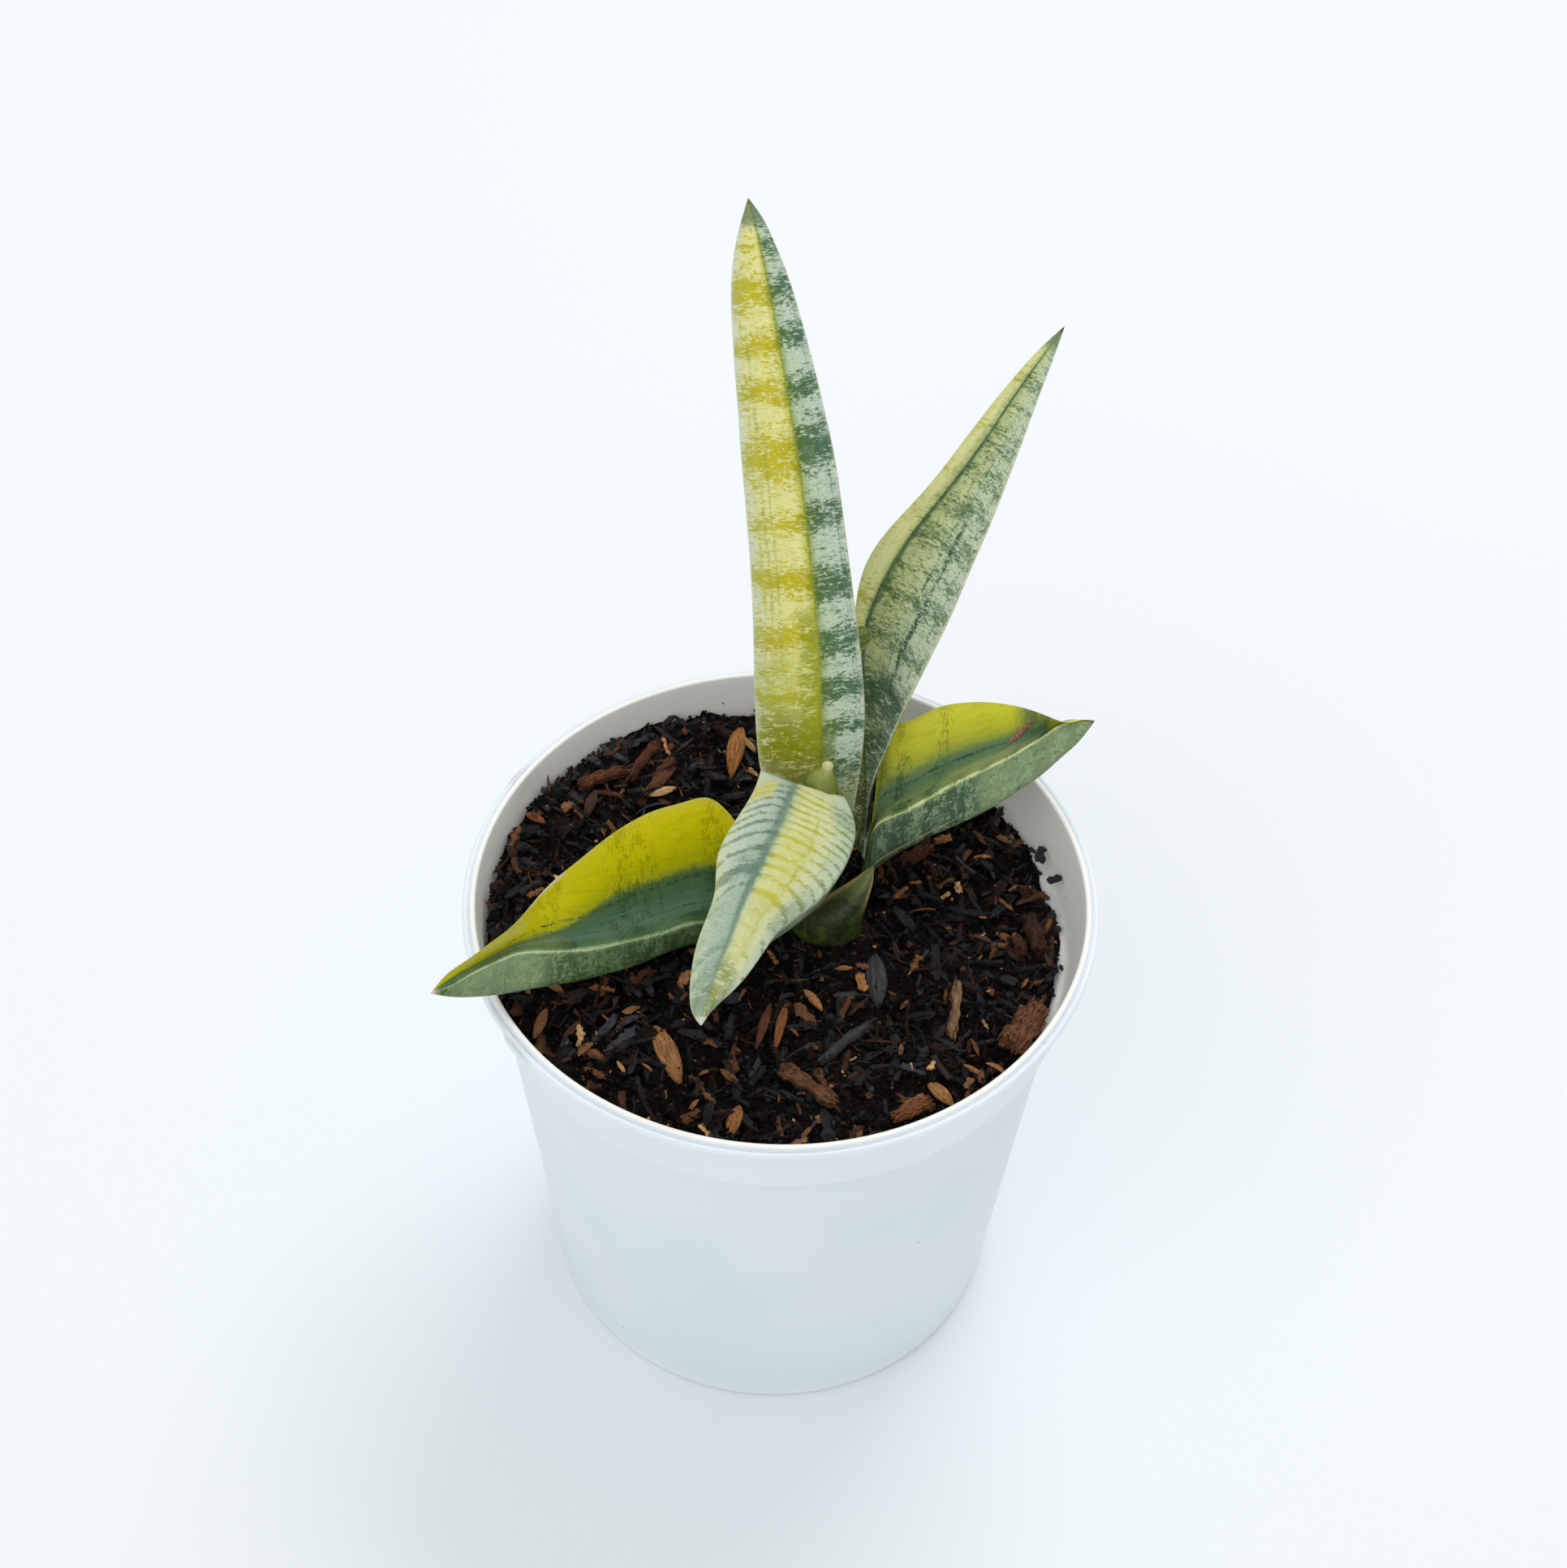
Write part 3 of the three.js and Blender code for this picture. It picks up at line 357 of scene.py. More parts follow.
# ------------------------------------------------------------------ leaves
# One row per cross-section from the base to the tip, in millimetres: left margin, middle of the
# upper face, right margin, then three points round the keel from right to left.
SECTIONS = {
    "leaf_tall_centre": [
        [[-0.4, 15.2, 77.8], [5.2, 13.6, 77.8], [10, 15.2, 77.8], [8.45, 16.6, 77.8], [5, 17.4, 77.8], [0.95, 16.6, 77.8]],
        [[-1.4, 16.8, 84], [5.2, 15.2, 84], [11, 16.8, 84], [9.2, 19, 84], [5, 19.8, 84], [0.2, 19, 84]],
        [[-4.06, 20.3, 94.28], [5.85, 18.87, 95.9], [12.46, 20.85, 96.06], [10.16, 24.27, 94.67], [4.21, 24.95, 93.75], [-1.74, 23.88, 93.39]],
        [[-5.17, 23.32, 103.91], [5.47, 22.01, 105.58], [12.66, 23.92, 105.83], [10.17, 27.33, 104.42], [3.75, 27.99, 103.45], [-2.67, 26.9, 103.04]],
        [[-5.64, 26.71, 114.7], [4.88, 25.51, 116.31], [11.5, 27.28, 116.54], [9.1, 30.62, 115.17], [2.94, 31.27, 114.22], [-3.23, 30.21, 113.84]],
        [[-6.15, 30.09, 125.48], [3.8, 28.99, 127], [9.82, 30.62, 127.19], [7.59, 33.82, 125.89], [1.84, 34.44, 125], [-3.9, 33.43, 124.65]],
        [[-6.98, 33.46, 136.22], [2.24, 32.48, 137.62], [8.11, 33.96, 137.85], [6, 37.01, 136.6], [0.57, 37.61, 135.76], [-4.86, 36.65, 135.43]],
        [[-8.12, 36.82, 146.94], [0.63, 35.97, 148.24], [6.11, 37.3, 148.47], [4.13, 40.12, 147.3], [-0.99, 40.67, 146.51], [-6.12, 39.78, 146.2]],
        [[-9.04, 39.85, 156.59], [-1.12, 39.13, 157.75], [3.79, 40.28, 157.97], [2, 42.8, 156.92], [-2.62, 43.29, 156.21], [-7.24, 42.5, 155.93]],
        [[-9.77, 42.55, 165.18], [-2.78, 41.95, 166.19], [1.37, 42.92, 166.38], [-0.18, 45.14, 165.45], [-4.19, 45.58, 164.82], [-8.21, 44.88, 164.58]],
        [[-9.95, 44.92, 172.75], [-4.37, 44.45, 173.55], [-1.02, 45.22, 173.71], [-2.27, 47, 172.95], [-5.48, 47.34, 172.45], [-8.7, 46.78, 172.26]],
        [[-9.35, 46.98, 179.31], [-5.87, 46.63, 179.83], [-3.69, 47.17, 179.92], [-4.48, 48.43, 179.38], [-6.51, 48.68, 179.05], [-8.55, 48.29, 178.94]],
        [[-8.44, 48.21, 183.2], [-6.85, 47.96, 183.47], [-5.67, 48.3, 183.5], [-6.05, 49.03, 183.16], [-7.04, 49.18, 182.98], [-8.04, 48.96, 182.95]],
        [[-7.61, 49.08, 186], [-7.61, 49.08, 186], [-7.61, 49.08, 186], [-7.61, 49.12, 185.99], [-7.61, 49.13, 185.99], [-7.61, 49.12, 185.99]],
    ],
    "leaf_tall_right": [
        [[9.67, 18.2, 77.8], [12, 17.6, 77.8], [13.24, 15.64, 77.8], [14.43, 18.1, 76.71], [13.63, 19.63, 76.31], [11.85, 19.94, 76.81]],
        [[10.38, 24.41, 88.68], [13.29, 23.13, 88.21], [13.87, 21.91, 88.55], [14.59, 24.01, 87.21], [13.84, 25.66, 86.68], [12.07, 25.81, 87.31]],
        [[9.97, 28.72, 94.98], [12.67, 28.23, 94.23], [15.93, 24.41, 94.76], [16.45, 26.96, 93.3], [14.88, 29.34, 92.73], [12.15, 30.06, 93.45]],
        [[9.96, 33.03, 101.66], [12.28, 33.42, 100.65], [18.45, 26.86, 101.37], [18.76, 29.87, 99.79], [16.35, 33, 99.19], [12.65, 34.31, 99.99]],
        [[10.12, 37.87, 109.12], [12.28, 38.88, 107.9], [21.64, 29.42, 108.77], [21.63, 32.85, 107.17], [18.17, 36.86, 106.59], [13.34, 38.94, 107.42]],
        [[10.91, 42.37, 116.52], [14.78, 42.29, 115.16], [24.78, 32.1, 116.13], [24.43, 35.76, 114.61], [20.12, 40.4, 114.08], [14.44, 43.15, 114.89]],
        [[14.3, 44.94, 123.83], [18.39, 44.77, 122.44], [27.63, 35.13, 123.44], [27.3, 38.64, 122.03], [23.15, 43.09, 121.54], [17.7, 45.7, 122.31]],
        [[19.49, 46.24, 131.07], [22.89, 46.48, 129.75], [30.38, 38.35, 130.69], [30.27, 41.47, 129.41], [26.96, 45.18, 128.98], [22.43, 47.15, 129.68]],
        [[24.4, 47.95, 138.23], [27.49, 48.07, 137.07], [32.97, 41.82, 137.9], [32.99, 44.45, 136.79], [30.44, 47.42, 136.42], [26.83, 48.87, 137.03]],
        [[29.05, 50.01, 145.33], [31.65, 49.97, 144.41], [35.4, 45.49, 145.07], [35.52, 47.61, 144.15], [33.67, 49.86, 143.84], [30.95, 50.85, 144.34]],
        [[33.46, 51.71, 151.59], [35.26, 51.7, 150.95], [37.51, 48.87, 151.41], [37.7, 50.4, 150.72], [36.57, 51.9, 150.48], [34.79, 52.44, 150.85]],
        [[37.04, 52.81, 156.27], [38.15, 52.84, 155.86], [39.18, 51.36, 156.15], [39.35, 52.29, 155.72], [38.79, 53.13, 155.57], [37.81, 53.34, 155.81]],
        [[40.45, 53.41, 160.16], [40.56, 53.78, 159.96], [40.51, 53.49, 160.1], [40.52, 53.5, 160.09], [40.51, 53.48, 160.11], [40.48, 53.44, 160.14]],
    ],
    "leaf_front": [
        [[-4.08, 16.55, 99], [1.86, 11.78, 101.3], [9.88, 12.85, 97], [8.61, 10.46, 89.55], [5.2, 7.6, 79.5], [-0.88, 12.98, 90.91]],
        [[-5.69, 10.03, 99.5], [0.09, 4.11, 103], [11.62, 7.16, 96], [9.53, 5.06, 89.73], [4.6, 2.5, 81.5], [-2.24, 7.01, 92.11]],
        [[-8.17, 4.09, 100], [-1.19, -0.81, 104], [10.87, 2, 96.5], [8.64, 0.21, 91.5], [3.3, -2, 85], [-4.31, 1.64, 93.88]],
        [[-10.21, -2.47, 100], [-2.92, -6.63, 104.6], [9.12, -3.55, 97.5], [6.76, -5.05, 93.81], [1.2, -7, 89], [-6.38, -4.32, 95.5]],
        [[-10.36, -8.6, 100.3], [-4.62, -12.18, 104.8], [5.67, -10.31, 99], [3.46, -11.31, 96.25], [-1.5, -12.5, 92.6], [-7.44, -10.15, 97.13]],
        [[-11.02, -14.19, 100.8], [-6.17, -17.48, 104.8], [1.06, -16.03, 100.3], [-0.46, -16.74, 98.22], [-4, -17.5, 95.4], [-8.68, -15.49, 98.56]],
        [[-12.48, -20.65, 101.3], [-7.45, -22.68, 104.6], [-1.42, -20.56, 101.3], [-2.79, -21.37, 99.75], [-6, -22.5, 97.6], [-10.31, -21.43, 99.75]],
        [[-13.11, -26.19, 101.6], [-8.86, -27.19, 104.2], [-4.52, -27.11, 101.6], [-5.47, -27.19, 100.68], [-7.8, -27.2, 99.4], [-11.31, -26.57, 100.68]],
        [[-13.15, -31.02, 101.9], [-10.12, -31.95, 103.6], [-7.85, -31.89, 101.9], [-8.24, -31.81, 101.35], [-9.4, -31.6, 100.6], [-11.84, -31.22, 101.35]],
        [[-12.38, -35.23, 102.1], [-10.94, -35.49, 102.9], [-10.01, -34.99, 102.1], [-10.14, -35.07, 101.89], [-10.6, -35.2, 101.6], [-11.75, -35.23, 101.89]],
        [[-11.23, -37.14, 102.3], [-11.11, -37.13, 102.3], [-11, -37.13, 102.3], [-11.03, -37.13, 102.28], [-11.11, -37.13, 102.25], [-11.2, -37.13, 102.28]],
    ],
    "leaf_left": [
        [[-0.6, 11.2, 82], [-0.6, 8, 79.6], [-0.6, 4.4, 80.8], [-0.6, 4.8, 78.2], [-0.6, 8, 77.6], [-0.6, 11, 79]],
        [[-6.09, 13.24, 88.11], [-5.43, 4.22, 81.77], [-4.97, -0.31, 84.31], [-4.96, 0.04, 80.38], [-5.43, 3.92, 78.96], [-6.21, 9.91, 82.75]],
        [[-11.58, 15.27, 94.22], [-10.26, 0.44, 83.93], [-9.34, -5.02, 87.83], [-9.33, -4.72, 82.56], [-10.26, -0.16, 80.32], [-11.82, 8.82, 86.49]],
        [[-15.58, 13.3, 95.47], [-14.29, -1.56, 85.23], [-13.37, -6.55, 88.94], [-13.36, -6.96, 83.92], [-14.29, -2.16, 81.77], [-15.8, 6.77, 87.88]],
        [[-19.88, 10.21, 96.75], [-18.59, -4.92, 86.66], [-17.68, -9.54, 90.14], [-17.69, -10.22, 85.4], [-18.59, -5.52, 83.37], [-20.05, 3.48, 89.36]],
        [[-24.07, 6.14, 97.92], [-22.86, -7.76, 88.08], [-21.97, -12.05, 91.33], [-21.94, -13.88, 86.89], [-22.86, -8.36, 84.99], [-24.23, -0.04, 90.8]],
        [[-28.13, 1.12, 98.99], [-27.09, -10.48, 89.5], [-26.22, -14.49, 92.5], [-26.17, -16.86, 88.39], [-27.09, -11.08, 86.61], [-28.32, -3.99, 92.19]],
        [[-32.09, -4.5, 99.92], [-31.3, -12.76, 90.92], [-30.46, -16.4, 93.65], [-30.37, -19.53, 89.89], [-31.3, -13.36, 88.26], [-32.34, -8.03, 93.53]],
        [[-36.03, -9.67, 99.85], [-35.5, -14.42, 92.35], [-34.71, -17.75, 94.77], [-34.54, -21.93, 91.4], [-35.5, -15.02, 89.92], [-36.34, -11.54, 94.38]],
        [[-39.62, -15.56, 99.31], [-39.4, -16.23, 93.69], [-38.7, -19.05, 95.79], [-38.43, -24.17, 92.83], [-39.4, -16.83, 91.52], [-40.02, -15.49, 94.98]],
        [[-43.18, -19.55, 98.88], [-43.03, -19.57, 94.99], [-42.43, -21.68, 96.73], [-42.18, -26.26, 94.23], [-43.03, -20.17, 93.12], [-43.53, -19.26, 95.63]],
        [[-46.72, -23.14, 98.56], [-46.57, -23.31, 96.29], [-46.08, -25.07, 97.59], [-45.94, -27.88, 95.66], [-46.57, -23.91, 94.78], [-46.97, -23.06, 96.38]],
        [[-49.75, -26.23, 98.4], [-49.59, -26.8, 97.43], [-49.25, -28.19, 98.18], [-49.26, -28.92, 96.96], [-49.59, -27.4, 96.36], [-49.88, -26.52, 97.19]],
        [[-51.62, -29.35, 98], [-51.62, -29.35, 98], [-51.62, -29.35, 98], [-51.62, -29.35, 97.95], [-51.62, -29.35, 97.95], [-51.62, -29.35, 97.95]],
    ],
    "leaf_right": [
        [[13.2, 12.8, 82.4], [12.4, 9.4, 79.8], [12.2, 6.4, 81.4], [12.4, 6.4, 78.4], [12.4, 9.4, 77.8], [13.2, 12.4, 79.2]],
        [[14.76, 21.26, 88.66], [14.05, 14.36, 83.02], [13.55, 9.82, 86.09], [13.78, 7.73, 81.65], [14.05, 13.96, 80.26], [14.81, 18.86, 83.68]],
        [[16.33, 29.72, 94.93], [15.7, 19.31, 86.24], [14.91, 13.24, 90.78], [15.15, 9.06, 84.9], [15.7, 18.51, 82.72], [16.41, 25.31, 88.16]],
        [[20.15, 31.38, 96.33], [19.55, 20.24, 88.28], [18.75, 14.47, 92.54], [18.99, 10.77, 87.01], [19.55, 19.44, 84.95], [20.22, 26.54, 90.01]],
        [[23.97, 32.8, 97.7], [23.38, 21.3, 90.32], [22.58, 15.87, 94.29], [22.82, 11.89, 89.12], [23.38, 20.5, 87.19], [24.02, 27.7, 91.86]],
        [[27.77, 32.88, 99.03], [27.2, 22.38, 92.36], [26.42, 17.4, 96.01], [26.63, 12.48, 91.24], [27.2, 21.58, 89.45], [27.81, 28.2, 93.7]],
        [[31.53, 32.04, 100.31], [31, 23.04, 94.4], [30.25, 18.51, 97.7], [30.42, 13.07, 93.36], [31, 22.24, 91.72], [31.56, 28.02, 95.53]],
        [[35.24, 30.43, 101.52], [34.78, 23.69, 96.44], [34.08, 19.65, 99.36], [34.21, 14.1, 95.5], [34.78, 22.89, 94.03], [35.27, 27.44, 97.34]],
        [[38.53, 28.32, 102.55], [38.18, 24.68, 98.28], [37.54, 21.09, 100.8], [37.63, 15.57, 97.43], [38.18, 23.88, 96.13], [38.59, 26.78, 98.96]],
        [[41.65, 25.74, 103.43], [41.45, 25.69, 100.05], [40.89, 22.71, 102.13], [40.94, 17.19, 99.3], [41.45, 24.89, 98.2], [41.75, 25.89, 100.5]],
        [[44.51, 23.76, 104.11], [44.46, 26.48, 101.68], [44.01, 24.19, 103.26], [44.02, 19.49, 101.06], [44.46, 25.68, 100.18], [44.64, 25.16, 101.9]],
        [[46.95, 24.14, 104.47], [46.89, 25.48, 103.04], [46.59, 24.09, 104.05], [46.61, 21.5, 102.55], [46.89, 24.68, 101.93], [47.02, 24.71, 103.03]],
        [[48.95, 24.49, 104], [48.95, 24.49, 104], [48.95, 24.49, 104], [48.95, 24.49, 103.95], [48.95, 24.49, 103.95], [48.95, 24.49, 103.95]],
    ],
}


def ring_points(P, n_up, n_low):
    """A closed smooth loop through one cross-section, with its across-leaf coordinate a in 0..2."""
    L, M, R, B, K, A = P
    d1 = max(np.linalg.norm(M - L), 1e-3)
    d2 = max(np.linalg.norm(R - M), 1e-3)
    su = (1 - np.cos(np.pi * np.arange(n_up) / n_up)) / 2
    su = 0.35 * np.arange(n_up) / n_up + 0.65 * su
    x = su * (d1 + d2)
    up = spline([0, d1, d1 + d2], [L, M, R], x)
    a_up = np.where(x < d1, 0.5 * x / d1, 0.5 + 0.5 * (x - d1) / d2)
    pts = [R, B, K, A, L]
    t = np.r_[0, np.cumsum([max(np.linalg.norm(pts[i + 1] - pts[i]), 1e-3) for i in range(4)])]
    sl = (1 - np.cos(np.pi * np.arange(n_low) / n_low)) / 2
    sl = 0.35 * np.arange(n_low) / n_low + 0.65 * sl
    low = spline(t, pts, sl * t[-1])
    return np.r_[up, low], np.r_[a_up, 1 + sl]


def leaf(name, n_along=170, n_up=52, n_low=40, margin=0.42, wave=0.10, seed=1, hollow=None, foot=None):
    S = np.array(SECTIONS[name], float)
    if foot is not None:
        S = np.concatenate([[foot], S])
    t = np.r_[0, np.cumsum(np.maximum(np.linalg.norm(np.diff(S[:, 1], axis=0), axis=1), 1e-3))]
    length = t[-1]
    lead = 0.0 if foot is None else t[1]
    u = np.linspace(0, 1, n_along)
    u = 0.55 * u + 0.45 * (1 - (1 - u) ** 2.2)
    x = u * length
    tracks = spline(t, S, x)
    rings, avals = [], []
    for P in tracks:
        q, a = ring_points(P, n_up, n_low)
        rings.append(q)
        avals.append(a)
    rings = np.array(rings)
    avals = np.array(avals)
    n = n_up + n_low
    # round the two margins
    centre = rings.mean(1, keepdims=True)
    for it in range(14):
        nb = (np.roll(rings, 1, 1) + np.roll(rings, -1, 1)) / 2
        dl = np.linalg.norm(rings - rings[:, :1], axis=2)
        dr = np.linalg.norm(rings - rings[:, n_up:n_up + 1], axis=2)
        w = np.exp(-(np.minimum(dl, dr) / margin) ** 2)[..., None]
        size = np.linalg.norm(rings[:, 0] - rings[:, n_up], axis=1)[:, None, None]
        rings = rings + (nb - rings) * w * 0.55 * np.clip(size / 3, 0, 1)
    # slight unevenness of a grown thing: long shallow ribs and a soft wave
    flat = rings.reshape(-1, 3)
    outward = rings - rings.mean(1, keepdims=True)
    outward /= np.maximum(np.linalg.norm(outward, axis=2, keepdims=True), 1e-6)
    across = avals
    lon = x[:, None] / length
    ribs = value_noise(np.stack([across * 9, np.broadcast_to(x[:, None] * 0.035, across.shape), np.full(across.shape, seed * 3.1)], -1), 1.0, seed)
    soft = value_noise(flat, 0.11, seed + 5).reshape(across.shape)
    taper = np.clip((1 - lon) * 9, 0, 1)
    rings = rings + outward * ((0.055 * ribs + wave * soft) * taper)[..., None]
    # close the surface
    verts = rings.reshape(-1, 3)
    mm_cum = np.linalg.norm(np.diff(np.concatenate([rings, rings[:, :1]], 1), axis=1), axis=2)
    cum = np.concatenate([np.zeros((n_along, 1)), np.cumsum(mm_cum, 1)], 1)
    mid_i = np.argmin(abs(avals - 0.5), axis=1)
    cross_mm = cum - cum[np.arange(n_along), mid_i][:, None]
    a_full = np.concatenate([avals, np.full((n_along, 1), 2.0)], 1)
    v_frac = (x - lead) / (length - lead)
    i = np.arange(n_along - 1)[:, None]
    j = np.arange(n)[None, :]
    j2 = (j + 1) % n
    quads = np.stack([i * n + j, (i + 1) * n + j, (i + 1) * n + j2, i * n + j2], -1).reshape(-1, 4)
    I, J = np.broadcast_arrays(i, j)
    uv_a = np.stack([
        np.stack([a_full[I, J], v_frac[I]], -1), np.stack([a_full[I + 1, J], v_frac[I + 1]], -1),
        np.stack([a_full[I + 1, J + 1], v_frac[I + 1]], -1), np.stack([a_full[I, J + 1], v_frac[I]], -1)], 2).reshape(-1, 2)
    uv_m = np.stack([
        np.stack([cross_mm[I, J], x[I]], -1), np.stack([cross_mm[I + 1, J], x[I + 1]], -1),
        np.stack([cross_mm[I + 1, J + 1], x[I + 1]], -1), np.stack([cross_mm[I, J + 1], x[I]], -1)], 2).reshape(-1, 2)
    # tip fan and base cap
    tip = len(verts)
    tip_dir = tracks[-1].mean(0) - tracks[-3].mean(0)
    verts = np.r_[verts, [tracks[-1].mean(0) + 0.0 * tip_dir]]
    jj = np.arange(n)
    last = (n_along - 1) * n
    tris = [np.stack([last + jj, np.full(n, tip), last + (jj + 1) % n], -1)]
    tri_a = [np.stack([np.stack([avals[-1], np.ones(n)], -1), np.stack([avals[-1], np.ones(n)], -1), np.stack([avals[-1], np.ones(n)], -1)], 1)]
    cap_rings = []
    if hollow:
        depth, wall = hollow
        base_c = rings[0].mean(0)
        steps = 9
        prev = jj.copy()
        for k in range(steps + 1):
            if k == 0:
                src, f = rings[0], 1 - wall * 0.25
                off = (rings[0].mean(0) - rings[2].mean(0)) * 0.06
            else:
                idx = min(int(depth * (k / steps) * 20), n_along - 1)
                src = rings[idx]
                f = (1 - wall) * (1 - (k / steps) ** 3 * 0.75)
                off = 0
            c = src.mean(0)
            ring = c + (src - c) * f + off
            start = len(verts)
            verts = np.r_[verts, ring]
            new = start + jj
            cap_rings.append(np.stack([prev, np.roll(prev, -1), np.roll(new, -1), new], -1))
            prev = new
        cidx = len(verts)
        verts = np.r_[verts, [verts[prev].mean(0)]]
        tris.append(np.stack([prev, np.roll(prev, -1), np.full(n, cidx)], -1))
    else:
        cidx = len(verts)
        verts = np.r_[verts, [rings[0].mean(0)]]
        tris.append(np.stack([jj, (jj + 1) % n, np.full(n, cidx)], -1))
    quad_faces = [quads]
    if cap_rings:
        quad_faces.append(np.concatenate(cap_rings))
    tri_faces = np.concatenate(tris)
    # faces point outwards
    def volume(faces):
        v0 = verts[faces[:, 0]]
        total = 0.0
        for k in range(1, faces.shape[1] - 1):
            total += np.einsum("ij,ij->i", v0, np.cross(verts[faces[:, k]], verts[faces[:, k + 1]])).sum()
        return total
    vol = sum(volume(f) for f in quad_faces) + volume(tri_faces)
    inside_a = 1.5
    extra_q = sum(len(f) for f in quad_faces[1:])
    uv_a = np.r_[uv_a, np.tile([inside_a, 0.02], (extra_q * 4, 1))]
    uv_m = np.r_[uv_m, np.tile([0.0, 0.0], (extra_q * 4, 1))]
    tri_uv = np.tile([inside_a, 0.02], (len(tri_faces) * 3, 1)).astype(float)
    tri_uv[:n * 3] = tri_a[0].reshape(-1, 2)
    tri_uv_m = np.tile([0.0, 0.0], (len(tri_faces) * 3, 1)).astype(float)
    tri_uv_m[:n * 3, 1] = x[-1]
    qf = np.concatenate(quad_faces)
    if vol < 0:
        qf = qf[:, ::-1]
        uv_a = uv_a.reshape(-1, 4, 2)[:, ::-1].reshape(-1, 2)
        uv_m = uv_m.reshape(-1, 4, 2)[:, ::-1].reshape(-1, 2)
        tri_faces = tri_faces[:, ::-1]
        tri_uv = tri_uv.reshape(-1, 3, 2)[:, ::-1].reshape(-1, 2)
        tri_uv_m = tri_uv_m.reshape(-1, 3, 2)[:, ::-1].reshape(-1, 2)
    ob = make_mesh(name + "_skin", verts, [qf, tri_faces],
                   uvs={"leaf_av": np.r_[uv_a, tri_uv], "leaf_mm": np.r_[uv_m, tri_uv_m] / 100.0})
    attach(ob, "root")
    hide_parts(name)
    return ob, length


def band_ramp(nd, v, bands, interpolation="EASE"):
    """Brightness 1 in each band (centre, half width, strength) along the leaf, 0 between."""
    masks = []
    bands = sorted(bands)
    for k in range(0, len(bands), 9):
        stops = []
        for c, h, s in bands[k:k + 9]:
            stops += [(c - h, 0.0), (c, s), (c + h, 0.0)]
        clean = []
        for pos, val in sorted(stops):
            pos = min(max(pos, 0.0), 1.0)
            if clean and pos - clean[-1][0] < 0.0015:
                clean[-1] = (clean[-1][0], max(clean[-1][1], val))
                continue
            clean.append((pos, val))
        masks.append(nd.ramp(v, clean, interpolation))
    out = masks[0]
    for m in masks[1:]:
        out = nd.math("MAXIMUM", out, m)
    return out


